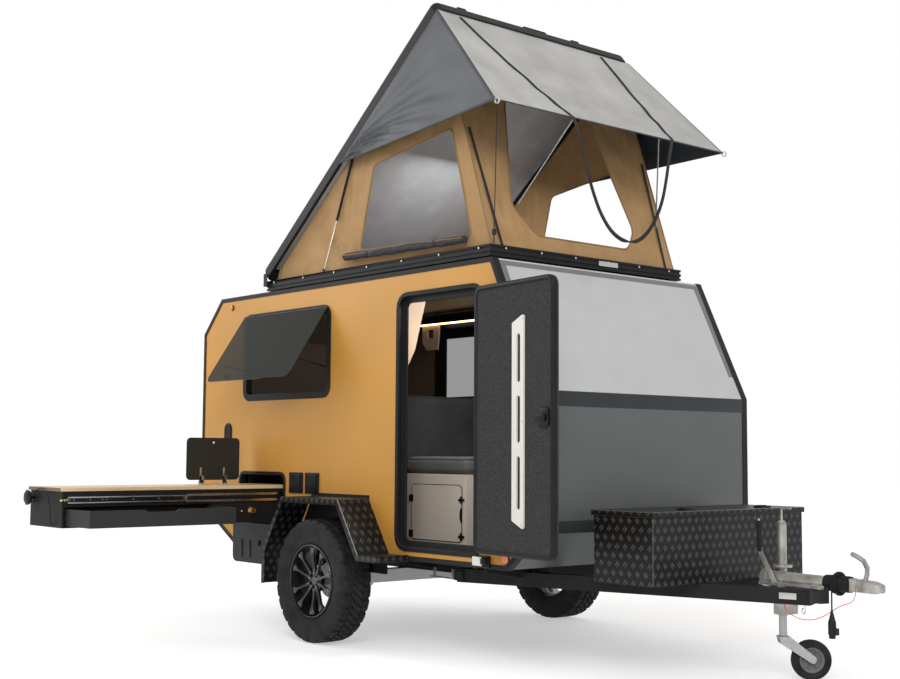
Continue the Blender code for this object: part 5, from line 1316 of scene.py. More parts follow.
canvas_foot = 2.3665
CANVAS_TOP = (0.8229, 3.8153)
side_outer = np.array([(-0.930, canvas_foot), (1.300, canvas_foot), CANVAS_TOP, (-0.891, 2.452)])
side_outer[:, 0] += AXLE_X
side_hole = round_corners([(AXLE_X + x, z, r) for x, z, r in SIDE_WINDOW])
front_hole = round_corners([(MIDDLE_Y + y, z, r) for y, z, r in FRONT_WINDOW])
front_y0, front_y1 = MIDDLE_Y - CANVAS_HALF, MIDDLE_Y + CANVAS_HALF
front_outer = np.array(
    [
        (front_y0, canvas_foot),
        (front_y1, canvas_foot),
        (front_y1, CANVAS_TOP[1]),
        (front_y0, CANVAS_TOP[1]),
    ]
)


def slack(u, v, step, wide):
    """How far the cloth stands off its plane: it fades at both seams and grows with the width."""
    fade = np.sin(np.pi * np.clip(step, 0, 1)) ** 0.7
    return fade * (0.0080 * creases(u, v) - 0.004) * np.clip(wide / 0.25, 0.4, 1.3)


def front_x(z):
    """The front panel leans back from the base's front edge to the shell's."""
    return AXLE_X + 1.300 + (z - canvas_foot) * (CANVAS_TOP[0] - 1.300) / (
        CANVAS_TOP[1] - canvas_foot
    )


sheets = []
for side in (-1, 1):
    y_side = MIDDLE_Y + side * (CANVAS_HALF - 0.003)
    part = holed_panel(
        "canvas_side",
        side_outer,
        side_hole,
        lambda u, v, lift: np.stack([u, y_side + side * lift, v], -1),
        slack,
    )
    if side > 0:
        part.flip_normals()
    sheets.append(part)
sheets.append(
    holed_panel(
        "canvas_front",
        front_outer,
        front_hole,
        lambda u, v, lift: np.stack([front_x(v) - 0.003 + lift, u, v], -1),
        slack,
        columns=260,
    )
)
# Behind the gusset at the pins a narrow panel closes the tent under the shell's hinge
s = np.linspace(0, 1, 6)[:, None]
t = np.linspace(-1, 1, 40)[None, :]
back_x = AXLE_X - 0.930 + 0.039 * s + 0.002 * np.sin(9 * t)
back_z = canvas_foot + (2.452 - canvas_foot) * s
sheets.append(
    surface(
        "canvas_back",
        np.stack([back_x + 0 * t, MIDDLE_Y + t * CANVAS_HALF + 0 * s, back_z + 0 * t], -1),
    )
)
tent_canvas = piece("tent_walls", sheets, canvas_cloth, "caravan", "tent_canvas", slot="tan_canvas")
wall_thick = tent_canvas.modifiers.new("cloth", "SOLIDIFY")
wall_thick.thickness = 0.0016
wall_thick.offset = 0.0


def collapses(made):
    """Gives a piece of tent cloth or its fittings a mesh of its own."""
    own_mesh(made)
    return made


collapses(tent_canvas)


def strip_along(path, across, width, thick=0.002, lift=0.0):
    """Tape or hem sewn along a line: four points across at each place on the path, as wide as given in
    the direction across, and as thick as given in the direction at right angles to both."""
    path = np.asarray(path, float)
    tangent = np.gradient(path, axis=0)
    tangent /= np.linalg.norm(tangent, axis=1)[:, None]
    across = np.broadcast_to(np.asarray(across, float), path.shape)
    across = across - tangent * (across * tangent).sum(1)[:, None]
    across = across / np.linalg.norm(across, axis=1)[:, None]
    up = np.cross(tangent, across)
    corners = [(-0.5, 0), (-0.46, 1), (0.46, 1), (0.5, 0), (0.46, -1), (-0.46, -1)]
    ring = np.stack(
        [path + across * width * a + up * (thick * b / 2 + lift) for a, b in corners], 1
    )
    return surface("strip", ring, around=True, ends=True)


# Bindings round the windows, in the canvas's own colour and doubled, and seams of the same binding on the front posts
binding_cloth = woven("tan_binding", (0.27, 0.150, 0.060), (0.37, 0.225, 0.10), 1200)
bindings = []
for side in (-1, 1):
    y_side = MIDDLE_Y + side * (CANVAS_HALF - 0.003)
    ring = np.stack([side_hole[:, 0], np.full(len(side_hole), y_side), side_hole[:, 1]], 1)
    bindings.append(tube("binding", np.concatenate([ring, ring[:2]]), 0.0055, 8))
ring = np.stack([front_x(front_hole[:, 1]) - 0.003, front_hole[:, 0], front_hole[:, 1]], 1)
bindings.append(tube("binding", np.concatenate([ring, ring[:2]]), 0.0055, 8))
for side in (-1, 1):
    z = np.linspace(canvas_foot + 0.004, CANVAS_TOP[1] - 0.02, 40)
    seam = np.stack(
        [front_x(z) - 0.002, np.full(40, MIDDLE_Y + side * (CANVAS_HALF - 0.003)), z], 1
    )
    bindings.append(tube("seam", seam, 0.004, 8))
collapses(piece("canvas_bindings", bindings, binding_cloth, slot="tan_canvas"))

# Fly sheet
# Silver-coated polyester over the front and sides, hemmed all round. It hangs from the shell's front and
# side edges to two corners that are held out by poles, and the cloth puckers towards those corners.
FLY_BACK = 1.100
fly_front = on_shell(SHELL_L - 0.010, 0.0, -0.0305)
fly_back = on_shell(FLY_BACK, 0.0, -0.0305)
AWNING = (AXLE_X + 1.550, 0.997, 3.128)
fly_cloth = Finish("fly_cloth")
fly_tone = fly_cloth.noise(3.5, 4)
fly_rib = (fly_cloth.lengths()[1] * 5200).wave() * 0.5 + 0.5
fly_cloth.shade(
    Base_Color=fly_cloth.blend(
        fly_cloth.ramp(fly_tone, (0.3, 0.0), (0.7, 1.0)), (0.40, 0.39, 0.37), (0.54, 0.53, 0.505)
    ),
    Roughness=0.50 + fly_tone * 0.12,
    Metallic=0.10,
)
fly_cloth.bump(fly_cloth.noise(38, 5, 0.6) * 0.8 + fly_rib * 0.02, 0.0022)


def bridged(name, a, b, c, d, lift, rows=40, columns=60):
    """A sheet between four corners: rows go from line a-b to line c-d, and lift moves each point along
    the sheet's own normal by a function of both steps."""
    a, b, c, d = (np.asarray(p, float) for p in (a, b, c, d))
    s = np.linspace(0, 1, rows)[:, None, None]
    t = np.linspace(0, 1, columns)[None, :, None]
    flat = (a * (1 - t) + b * t) * (1 - s) + (c * (1 - t) + d * t) * s
    normal = np.cross(c - a + (d - b), b - a + (d - c))
    normal = normal / np.linalg.norm(normal)
    return surface(name, flat + normal * lift(s[..., 0], t[..., 0])[..., None])


def pucker(s, t):
    """Folds that fan out of both lower corners and die away up the sheet, over a shallow sag."""
    near_a = np.hypot(1 - s, t * 1.6)
    near_b = np.hypot(1 - s, (1 - t) * 1.6)
    fan_a = np.sin(
        np.arctan2(1.001 - s, t * 1.6 + 1e-4) * 17
    ) * np.exp(-near_a * 2.4) * np.minimum(near_a * 5, 1)
    fan_b = np.sin(
        np.arctan2(1.001 - s, (1 - t) * 1.6 + 1e-4) * 17
    ) * np.exp(-near_b * 2.4) * np.minimum(near_b * 5, 1)
    sag = -0.018 * np.sin(np.pi * s) * np.sin(np.pi * t)
    hang = 0.0045 * np.sin(t * 31 + 2 * s) * np.sin(np.pi * s) * np.sin(np.pi * t)
    edge = np.sin(np.pi * np.clip(t, 0, 1)) ** 0.4 * np.sin(np.pi * np.clip(s, 0, 1)) ** 0.5
    return sag + hang + 0.011 * (fan_a + fan_b) * edge


def side_pucker(s, t):
    """On the side triangles the folds run from the front corner back to the shell's edge."""
    angle = s / (t + 0.08)
    fold = np.sin(angle * 15) * np.sin(np.pi * s) * np.minimum((1 - t) * 3, 1) * np.minimum(t * 6, 1)
    return 0.010 * fold - 0.014 * np.sin(np.pi * s) * np.sin(np.pi * t)


corners = []
for (x, _, z), half in (
    (fly_front, SHELL_HALF), (fly_back, SHELL_HALF), ((AWNING[0], 0.0, AWNING[2]), AWNING[1])
):
    corners += [np.array((x, MIDDLE_Y + half, z)), np.array((x, MIDDLE_Y - half, z))]
front_left, front_right, back_left, back_right, low_left, low_right = corners
fly_mesh = bridged("fly_front", front_right, front_left, low_right, low_left, pucker, 48, 90)
fly_piece = piece("fly_front", fly_mesh, fly_cloth, slot="grey_fly")
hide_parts("tent_fly")
# The sides are the front's silver cloth, coloured far darker: painted shade on the side triangles.
shaded_side_cloth = Finish("fly_side_shaded_cloth")
side_tone = shaded_side_cloth.noise(3.5, 4)
shaded_side_cloth.shade(
    Base_Color=shaded_side_cloth.blend(
        shaded_side_cloth.ramp(side_tone, (0.3, 0.0), (0.7, 1.0)),
        (0.060, 0.065, 0.074),
        (0.095, 0.102, 0.112),
    ),
    Roughness=0.48 + side_tone * 0.12,
)
shaded_side_cloth.bump(shaded_side_cloth.noise(38, 5, 0.6), 0.0020)
SIDE_GRID = (30, 50)
right_side = bridged(
    "fly_side", back_right, front_right, back_right, low_right, side_pucker, *SIDE_GRID
)
left_side = bridged(
    "fly_side", back_left, front_left, back_left, low_left, lambda s, t: -side_pucker(s, t), *SIDE_GRID
)
left_side.flip_normals()
fly_sides = piece(
    "fly_sides", joined("fly_sides", [right_side, left_side]), shaded_side_cloth, slot="grey_fly"
)
lining_cloth = Finish("fly_lining")
lining_tone = lining_cloth.noise(3.0, 4)
lining_cloth.shade(
    Base_Color=lining_cloth.blend(
        lining_cloth.ramp(lining_tone, (0.3, 0.0), (0.7, 1.0)),
        (0.018, 0.026, 0.036),
        (0.034, 0.046, 0.058),
    ),
    Roughness=0.55,
)
lining_cloth.bump(lining_cloth.noise(38, 5, 0.6), 0.0020)
LAID_IN = 0.0030
lining_front = bridged(
    "fly_lining", front_left, front_right, low_left, low_right, lambda s, t: LAID_IN - pucker(s, 1 - t), 48, 90
)
lining_right = bridged(
    "fly_lining", back_right, front_right, back_right, low_right, lambda s, t: side_pucker(s, t) - LAID_IN, *SIDE_GRID
)
lining_right.flip_normals()
lining_left = bridged(
    "fly_lining", back_left, front_left, back_left, low_left, lambda s, t: LAID_IN - side_pucker(s, t), *SIDE_GRID
)
fly_lining = piece(
    "fly_lining", joined(
        "fly_lining", [lining_front, lining_right, lining_left]
    ), lining_cloth, "caravan", slot="grey_fly"
)
for made in (fly_piece, fly_sides, fly_lining):
    thick = made.modifiers.new("cloth", "SOLIDIFY")
    thick.thickness = 0.0014
    thick.offset = 0.0

# Hems along the fly's edges, and the loops at its corners
hem_cloth = woven("fly_hem", (0.050, 0.054, 0.060), (0.085, 0.090, 0.098), 1500)
s_line = np.linspace(0, 1, 60)[:, None]
hems = []
for start, end, radius in (
    (low_right, low_left, 0.0042),
    (back_right, low_right, 0.0042),
    (back_left, low_left, 0.0042),
    (front_right, low_right, 0.0028),
    (front_left, low_left, 0.0028),
):
    hems.append(tube("hem", start + (end - start) * s_line, radius, 8))
fly_hems = piece("fly_hems", hems, hem_cloth, slot="grey_fly")
loops = []
for corner in (low_right, low_left):
    ring = np.linspace(0, 2 * np.pi, 25)
    loop = corner + np.stack(
        [0.012 + 0.016 * np.cos(ring), 0.0 * ring, -0.010 + 0.016 * np.sin(ring)], 1
    )
    loops.append(strip_along(loop, (0, 1, 0), 0.014, 0.0025))
white_web = woven("white_webbing", (0.55, 0.55, 0.53), (0.70, 0.70, 0.68), 2600)
fly_loops = piece("fly_loops", loops, white_web, slot="grey_fly")
for made in (fly_piece, fly_sides, fly_lining, fly_hems, fly_loops):
    collapses(made)

# Tent poles, tapes and straps
# Thin alloy poles spread the fly from the front posts, black tapes stiffen those posts, and one webbing
# strap runs down the fly, hangs in a loop below its edge and goes up again; it pulls the shell down.
pole_metal = brushed("pole_metal", (0.25, 0.255, 0.26), 0.32, 0.9)
poles = []
for side in (-1, 1):
    foot = np.array(at(1.315, side * 0.608, 2.620))
    head = np.array(at(1.540, side * 0.380, 3.118))
    poles.append(tube("pole", [foot, foot + (head - foot) * 0.5, head], 0.0045, 12))
    poles.append(tube("pole", [head, head + (0.006, 0, 0.004)], 0.009, 12))
collapses(piece("fly_poles", poles, pole_metal, slot="bright_steel"))
black_web = woven("black_webbing", (0.012, 0.012, 0.013), (0.030, 0.030, 0.032), 2600)
tapes = []
for side in (-1, 1):
    z = np.linspace(canvas_foot + 0.006, 3.10, 40)
    y = MIDDLE_Y + side * (CANVAS_HALF - 0.085 + 0.05 * (z - canvas_foot) / 0.75)
    tapes.append(strip_along(np.stack([front_x(z) + 0.0035, y, z], 1), (0, 1, 0), 0.020, 0.0018))
guy_foot, guy_top = np.array(at(1.322, -0.800, 2.372)), np.array(at(1.548, -0.985, 3.122))
tapes.append(
    tube("guy", guy_foot + (guy_top - guy_foot) * np.linspace(0, 1, 30)[:, None], 0.0028, 8)
)
buckle = guy_foot + (guy_top - guy_foot) * 0.07
tapes.append(plate("buckle", buckle - 0.010, buckle + (0.010, 0.010, 0.024), 0.003))
collapses(piece("tent_tapes", tapes, black_web, slot="grey_fly"))


def on_fly(s, t, lift=0.004):
    """A place on the front of the fly: down it by s and across it by t."""
    s, t = np.asarray(s, float), np.asarray(t, float)
    top = front_right + (front_left - front_right) * t[:, None]
    low = low_right + (low_left - low_right) * t[:, None]
    normal = np.cross(front_left - front_right, low_right - front_right)
    normal = normal / np.linalg.norm(normal)
    normal = normal * np.sign(normal[0])
    return top + (low - top) * s[:, None] + normal * (lift + pucker(s, t)[:, None])


down = on_fly(np.linspace(0.03, 0.985, 12), np.linspace(0.098, 0.300, 12))
up = on_fly(np.linspace(0.985, 0.03, 12), np.linspace(0.752, 0.828, 12))
HANGING = [
    (1.560, -0.385, 3.112),
    (1.572, -0.365, 3.040),
    (1.585, -0.330, 2.920),
    (1.595, -0.300, 2.780),
    (1.598, -0.262, 2.680),
    (1.600, -0.205, 2.575),
    (1.600, -0.120, 2.485),
    (1.600, -0.020, 2.440),
    (1.600, 0.090, 2.442),
    (1.600, 0.190, 2.500),
    (1.600, 0.275, 2.600),
    (1.598, 0.340, 2.720),
    (1.594, 0.385, 2.860),
    (1.580, 0.430, 3.000),
    (1.560, 0.480, 3.112),
]
STRAP_WIDE = 0.024
strap_path = smooth_path(np.concatenate([down, [at(*p) for p in HANGING], up]), 5)
strap = piece(
    "tent_strap",
    strip_along(strap_path, (0.15, 1.0, 0.0), STRAP_WIDE, 0.0022),
    black_web,
    slot="grey_fly",
)
collapses(strap)

# Kitchen hatch
# A moulded frame in the wall, and the sheet that closes it, hung on a bar under the opening.
# The sheet is black laminate with two pressed ribs and a turn latch.
dressed("kitchen_frame", black_moulding, 0.003)
dressed("kitchen_hatch", painted("hatch_sheet", (0.022, 0.022, 0.022), 0.4), 0.003)
hatch_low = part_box("kitchen_hatch")[0]
details = []
for x in (-1.112, -1.008):
    low = (AXLE_X + x - 0.016, hatch_low.y - 0.004, 0.450)
    details.append(plate("rib", low, (AXLE_X + x + 0.016, hatch_low.y + 0.001, 0.572), 0.0035))
details.append(plate("latch", at(-0.900, -0.9440, 0.548), at(-0.868, -0.9355, 0.562), 0.003))
details.append(plate("latch", at(-0.888, -0.9480, 0.538), at(-0.880, -0.9355, 0.574), 0.003))
piece("hatch_details", details, black_moulding)

# Kitchen slide
# A laminated carcass with a drawer, drawn out sideways on steel runners of three channels.
# Its lift-off top is bamboo board, pressed from strips and oiled.
slide_board = painted("slide_board", (0.015, 0.015, 0.016), 0.46, coat=0.0)
dressed("kitchen_carcass", slide_board, 0.0012)
drawer_board = painted("drawer_board", (0.038, 0.039, 0.039), 0.46, 0.08, coat=0.0)
dressed("kitchen_drawer", drawer_board, 0.0015)
bamboo = Finish("bamboo_board")
STRIP = 0.019
x, y, z = bamboo.lengths()
strip = (x + 10.0) / STRIP
strip_number = strip - strip.part()
# Each strip has its own length of cane, and so its own tone and its own knots
cane = bamboo.node("ShaderNodeCombineXYZ", values={0: strip_number, 1: y * 0.9, 2: 0.0})
tone = bamboo.node("ShaderNodeTexNoise", values={"Vector": cane, "Scale": 1.7, "Detail": 1.0})
fibre = bamboo.noise(45, 4, 0.6, (14, 0.6, 14))
seam = bamboo.ramp((strip.part() - 0.5).size(), (0.465, 0.0), (0.490, 1.0))
end_face = facing(bamboo, "y").size() > 0.7
top_tone = bamboo.blend(
    bamboo.ramp(tone * 0.6 + fibre * 0.4, (0.30, 0.0), (0.70, 1.0)),
    (0.72, 0.48, 0.235),
    (0.94, 0.74, 0.46),
)
top_tone = bamboo.blend(seam * 0.45, top_tone, (0.30, 0.16, 0.06))
bamboo.shade(
    Base_Color=bamboo.blend(end_face, top_tone, (0.16, 0.075, 0.028)),
    Roughness=0.34 + fibre * 0.14,
    Coat_Weight=0.25,
)
bamboo.bump(fibre * 0.4 - seam, 0.0003)
dressed("kitchen_worktop", bamboo, 0.0015)

# The runner's channels, in rows of first y, last y, bottom, top, back and front
rail_low, rail_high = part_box("kitchen_rail")
channels = []
for y0, y1, z0, z1, t0, t1 in (
    (rail_low.y, MIDDLE_Y - 0.90, 0.858, 0.898, 0.0003, 0.008),
    (MIDDLE_Y - 1.620, MIDDLE_Y - 0.60, 0.851, 0.905, 0.005, 0.012),
    (MIDDLE_Y - 0.855, rail_high.y, 0.846, 0.910, 0.009, 0.016),
):
    x0, x1 = AXLE_X - 0.680 + t0, AXLE_X - 0.680 + t1
    t, lip = 0.0014, 0.0075
    ring = [
        (x0, z0), (x1, z0), (x1, z0 + lip), (x1 - t, z0 + lip), (x1 - t, z0 + t), (x0 + t, z0 + t)
    ]
    ring += [
        (x0 + t, z1 - t), (x1 - t, z1 - t), (x1 - t, z1 - lip), (x1, z1 - lip), (x1, z1), (x0, z1)
    ]
    rows = [[(x, y, z) for x, z in ring] for y in np.linspace(y0, y1, 3)]
    channels.append(surface("channel", rows, around=True, ends=True, smooth=False))
for y in (-2.400, -2.375, -2.270, -2.190, -2.165, -1.985, -1.810, -1.640):
    rivet = [(0.0001, 0.0), (0.0042, 0.0), (0.0038, 0.0016), (0.0001, 0.0024)]
    channels.append(turned("rivet", "x", at(-0.6770 if y < -1.7 else -0.6722, y, 0.878), rivet, 12))
# Black strips on the webs of two channels: painted shade inside the channels.
channel_shade_strips = []
for y0, y1, z0, z1, x in (
    (rail_low.y + 0.004, MIDDLE_Y - 1.63, 0.866, 0.890, -0.67815),
    (MIDDLE_Y - 1.610, MIDDLE_Y - 0.87, 0.860, 0.896, -0.67345),
):
    channel_shade_strips.append(plate("web", (AXLE_X + x, y0, z0), (AXLE_X + x + 0.0012, y1, z1), 0.0005))
piece("slide_channel_shade", channel_shade_strips, black_moulding)
runner_steel = brushed("runner_steel", (0.60, 0.60, 0.59), 0.26, 1.0, (40, 1, 40))
piece(
    "slide_runner",
    channels,
    runner_steel,
    "caravan",
    "kitchen_rail",
    slot=record_nodes["kitchen_rail"],
)

# Knobs of the slide: a black star grip on the end panel, a brass stop and a brass pull by the wall
brass = brushed("brass", (0.72, 0.47, 0.18), 0.25, 1.0, (1, 1, 1), 0.00003)
grip = [
    (0.0001, -0.050),
    (0.016, -0.050),
    (0.018, -0.047),
    (0.040, -0.046),
    (0.047, -0.042),
    (0.049, -0.036),
]
grip += [
    (0.047, -0.030), (0.040, -0.026), (0.012, -0.025), (0.011, -0.002), (0.017, 0.0), (0.0001, 0.0)
]
GRIP_X, GRIP_Z = AXLE_X - 1.103, 0.884


def lobed(x, y, z):
    """Draws the grip's rim in between seven lobes."""
    reach, turn = np.hypot(x - GRIP_X, z - GRIP_Z), np.arctan2(z - GRIP_Z, x - GRIP_X)
    lobes = 1 - 0.07 * ease(reach, 0.032, 0.044) * (0.5 - 0.5 * np.cos(7 * turn))
    return np.stack([GRIP_X + (x - GRIP_X) * lobes, y, GRIP_Z + (z - GRIP_Z) * lobes], 1)


end_grip = moved(turned("grip", "y", (GRIP_X, CARCASS_END, GRIP_Z), grip, 56), lobed)
piece("slide_grip", end_grip, black_moulding)
stop = [
    (0.0001, -0.046),
    (0.004, -0.046),
    (0.0075, -0.040),
    (0.0075, -0.030),
    (0.0055, -0.028),
    (0.0055, -0.020),
]
stop += [(0.0085, -0.018), (0.0085, 0.0), (0.0001, 0.0)]
pull = [
    (0.0001, 0.0), (0.022, 0.0), (0.023, 0.002), (0.021, 0.006), (0.010, 0.009), (0.0085, 0.024)
]
pull += [(0.0150, 0.030), (0.0165, 0.038), (0.0140, 0.045), (0.0001, 0.047)]
brass_parts = [
    turned("stop", "y", at(-0.6710, -2.4200, 0.878), stop, 20),
    turned("pull", "x", at(-0.6798, -1.1380, 0.789), pull, 28),
]
piece("slide_knobs", brass_parts, brass)
white_stud = moulded("white_stud", (0.80, 0.80, 0.78), 0.35)
stud = [(0.0001, 0.0), (0.0055, 0.0), (0.0050, 0.0018), (0.0001, 0.0026)]
piece("slide_stud", turned("slide_stud", "x", at(-0.6798, -1.2070, 0.786), stud, 14), white_stud)

# Hob shield
# A folding windbreak of black sheet steel on two pin hinges, each with an angle riveted to the sheet.
# A stud near its upper edge rests on the top when it is folded down.
dressed("hob_shield", painted("shield_enamel", (0.030, 0.031, 0.029), 0.38), 0.002)
dressed("shield_hinges", runner_steel, 0.0008)
angles = []
for y in (-1.275, -1.095):
    angles.append(
        plate("angle", at(-1.0908, y - 0.013, 0.9830), at(-1.0890, y + 0.001, 1.0640), 0.0008)
    )
    angles.append(
        plate("angle", at(-1.0908, y - 0.013, 0.9830), at(-1.0890, y + 0.022, 1.0080), 0.0008)
    )
    for z in (1.0500, 1.0300):
        angles.append(
            turned(
                "rivet",
                "x",
                at(-1.0890, y - 0.006, z),
                [(0.0001, 0.0), (0.0032, 0.0), (0.0028, 0.0014), (0.0001, 0.0018)],
                10,
            )
        )
piece("shield_angles", angles, runner_steel, node_body["hob_shield"])
stud = [(0.0001, 0.0), (0.0085, 0.0), (0.0080, 0.0024), (0.0001, 0.0036)]
piece(
    "shield_stud",
    turned("shield_stud", "x", at(-1.0910, -1.1860, 1.2340), stud, 16),
    white_stud,
    node_body["hob_shield"],
)

# Seat and back cushions
# Cut foam in grey woven covers, piped along both edges and sewn shut on a filled-out form.
# Each rests on plain board: the seat on the bench, the back against the bed's end.
cushion_cloth = woven(
    "cushion_cloth", (0.105, 0.100, 0.096), (0.170, 0.163, 0.156), 1200, 0.9, 0.5, 0.2
)
piping_cloth = woven("cushion_piping", (0.060, 0.058, 0.056), (0.090, 0.087, 0.084), 1500)
scene = bpy.context.scene


def filled(made, voxel, cap, pressure=4.0):
    """Fills a cover as its foam would: an even skin of small faces goes through cloth simulation
    under inner pressure, and no point may leave its place by more than the cap."""
    skin = made.modifiers.new("skin", "REMESH")
    skin.mode = "VOXEL"
    skin.voxel_size = voxel
    graph = bpy.context.evaluated_depsgraph_get()
    even = bpy.data.meshes.new_from_object(made.evaluated_get(graph))
    made.modifiers.clear()
    made.data = even
    rest = np.zeros(len(even.vertices) * 3, np.float32)
    even.vertices.foreach_get("co", rest)
    rest = rest.reshape(-1, 3)
    fill = made.modifiers.new("fill", "CLOTH")
    fill.settings.use_pressure = True
    fill.settings.uniform_pressure_force = pressure
    fill.settings.effector_weights.gravity = 0.0
    fill.settings.quality = 5
    fill.point_cache.frame_start, fill.point_cache.frame_end = 1, 20
    for moment in range(1, 21):
        scene.frame_set(moment)
    graph = bpy.context.evaluated_depsgraph_get()
    blown = made.evaluated_get(graph).to_mesh()
    swollen = np.zeros(len(blown.vertices) * 3, np.float32)
    blown.vertices.foreach_get("co", swollen)
    made.evaluated_get(graph).to_mesh_clear()
    made.modifiers.clear()
    scene.frame_set(1)
    way = swollen.reshape(-1, 3) - rest
    far = np.linalg.norm(way, axis=1, keepdims=True)
    return rest + way * np.minimum(1.0, cap / np.maximum(far, 1e-9))


def seam_ring(points, axis, level, reach, count=240):
    """The line where a cushion's skin crosses a plane across an axis, as a closed ring."""
    flat = [k for k in range(3) if k != axis]
    near = points[np.abs(points[:, axis] - level) < reach]
    middle = (near[:, flat].min(0) + near[:, flat].max(0)) / 2
    around = np.arctan2(*(near[:, flat] - middle).T[::-1])
    far = np.linalg.norm(near[:, flat] - middle, axis=1)
    order = np.argsort(around)
    # Points by their way round the middle: the outermost of each small fan is the skin's edge
    fan = np.floor((around[order] + np.pi) / (2 * np.pi) * count).astype(int) % count
    edge = np.zeros(count)
    np.maximum.at(edge, fan, far[order])
    angle = (np.arange(count) + 0.5) / count * 2 * np.pi - np.pi
    known = edge > 0
    edge = np.interp(angle, angle[known], edge[known], period=2 * np.pi)
    ring = np.zeros((count, 3))
    ring[:, axis] = level
    ring[:, flat] = middle + edge[:, None] * np.stack([np.cos(angle), np.sin(angle)], 1)
    return ring


def cushion(node, finish, piping, axis, corner, cap, shrink=0.007, voxel=0.0075):
    """A cushion in the room of its solid: simulated, set down flat on its underside, and piped along
    the seams near both ends of an axis."""
    low, high = (np.array(p, float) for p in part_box(node))
    form = plate(node + "_cover", low + shrink, high - shrink, corner, 6)
    made = piece(node + "_cover", form, finish, "caravan", node, slot=record_nodes[node])
    points = filled(made, voxel, cap)
    points[:, 2] = np.maximum(points[:, 2], low[2])
    rings = []
    for level in (points[:, axis].min() + 0.016, points[:, axis].max() - 0.016):
        ring = seam_ring(points, axis, level, voxel)
        rings.append(ring[np.r_[0 : len(ring), 0]])
        # The seam draws the cover in on both sides of its piping
        flat = [k for k in range(3) if k != axis]
        middle = (points[:, flat].min(0) + points[:, flat].max(0)) / 2
        draw = 0.0035 * np.exp(-(((points[:, axis] - level) / 0.006) ** 2))
        inward = middle - points[:, flat]
        far = np.linalg.norm(inward, axis=1, keepdims=True)
        edge_on = np.clip(far / far.max() * 2 - 0.6, 0, 1)
        points[:, flat] += inward / np.maximum(far, 1e-9) * draw[:, None] * edge_on
    made.data.vertices.foreach_set("co", points.astype(np.float32).ravel())
    made.data.shade_smooth()
    made.data.materials.clear()
    made.data.materials.append(finish.material)
    finer = made.modifiers.new("finer", "SUBSURF")
    finer.levels = finer.render_levels = 1
    cords = [tube("piping", ring, 0.0026, 8) for ring in rings]
    piece(node + "_piping", joined(node + "_piping", cords), piping, "caravan")
    return made


cushion("seat_cushion", cushion_cloth, piping_cloth, 2, 0.034, 0.008)
back_cloth = woven("back_cloth", (0.030, 0.032, 0.034), (0.056, 0.058, 0.060), 1200)
cushion("back_cushion", back_cloth, piping_cloth, 0, 0.030, 0.008)

# Bench
# Birch ply faced in cream laminate, with a round-cornered door cut in its front, two cross hinges, two
# push latches and a notch for the finger.
cream_board = painted("cream_board", (0.86, 0.76, 0.64), 0.40, 0.04)
dressed("bench_cabinet", cream_board, 0.002)
DOOR_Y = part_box("bench_cabinet")[0].y


def bench_front(u, v, depth):
    return np.stack([u, DOOR_Y - depth, v], -1)


DOOR_RECT = ((AXLE_X + 0.160, 0.6243), (AXLE_X + 0.655, 0.9750))
# The door's cut and the finger notch are drawn in black: painted shade in the groove and in the notch.
edge_section = [
    (-0.0020, -0.0035), (-0.0020, 0.0004), (0.0008, 0.0008), (0.0024, 0.0004), (0.0024, -0.0035)
]
door_groove_shade = rail_around("door_groove_shade", *DOOR_RECT, 0.031, edge_section, bench_front)
fittings = [door_groove_shade]
for z in (0.885, 0.660):
    for half_x, half_z in ((0.026, 0.007), (0.009, 0.022)):
        fittings.append(
            plate(
                "hinge",
                at(0.655 - half_x, -0.4640, z - half_z),
                at(0.655 + half_x, -0.4545, z + half_z),
                0.003,
            )
        )
    fittings.append(
        plate("latch", at(0.140, -0.4600, z - 0.022), at(0.180, -0.4545, z + 0.022), 0.0025)
    )
rise = np.linspace(-1, 1, 25)
wide = 0.020 * np.sqrt(np.clip(1 - rise**2, 0, 1)) + 0.0004
u = AXLE_X + 0.6545 - wide * np.linspace(0, 1, 6)[:, None]
notch = np.stack([u, np.full_like(u, DOOR_Y - 0.0006), 0.790 + 0.048 * rise + 0 * u], -1)
fittings.append(surface("notch", notch[::-1]))
piece("bench_fittings", fittings, black_moulding)

# Side cabinet and bed board
# One unit of dark laminated ply: the kitchen's bay, the bed's board and a counter with two plain doors.
# The counter's edge is light oiled wood.
dark_board = painted("dark_board", (0.020, 0.023, 0.025), 0.42, 0.12)
dressed("side_cabinet", dark_board, 0.0015, flat=0)
edge_wood = Finish("edge_wood")
wood_lines = edge_wood.noise(30, 4, 0.6, (0.5, 16, 16))
edge_wood.shade(
    Base_Color=edge_wood.blend(wood_lines, (0.30, 0.19, 0.11), (0.48, 0.33, 0.21)),
    Roughness=0.42,
    Coat_Weight=0.2,
)
edge_wood.bump(wood_lines, 0.0002)
edges = [plate("edge", at(-0.060, 0.4120, 1.4255), at(1.248, 0.4197, 1.4415), 0.002)]
edges.append(plate("edge", at(-1.655, -0.8600, 1.0505), at(-0.052, -0.8553, 1.0655), 0.0015))
piece("counter_edge", edges, edge_wood)
fronts = []
for x0, x1 in ((-0.045, 0.395), (0.399, 0.820), (0.824, 1.245)):
    fronts.append(plate("front", at(x0, 0.4080, 0.600), at(x1, 0.4195, 1.4200), 0.0015))
piece("counter_fronts", fronts, dark_board)
handles = [
    plate(
        "handle", at(x - 0.045, 0.3990, 1.372), at(x + 0.045, 0.4078, 1.384), 0.003
    ) for x in (0.175, 0.610, 1.035)
]
piece("counter_handles", handles, black_moulding)

# Roof shelf and light
# A dark ply shelf along the left wall, with a light gable that hangs down and holds a tray, and a second
# gable by the door. A warm strip lamp of soft silicone runs under the shelf's front edge.
dressed("roof_shelf", dark_board, 0.002)
hook = np.array(
    [(-0.986, 2.130), (-0.986, 2.010), (-0.930, 1.950), (-0.805, 1.950), (-0.785, 2.130)]
)
hole = np.array(
    [(-0.925, 2.105), (-0.925, 2.045), (-0.925, 2.040), (-0.855, 2.040), (-0.855, 2.105)]
)


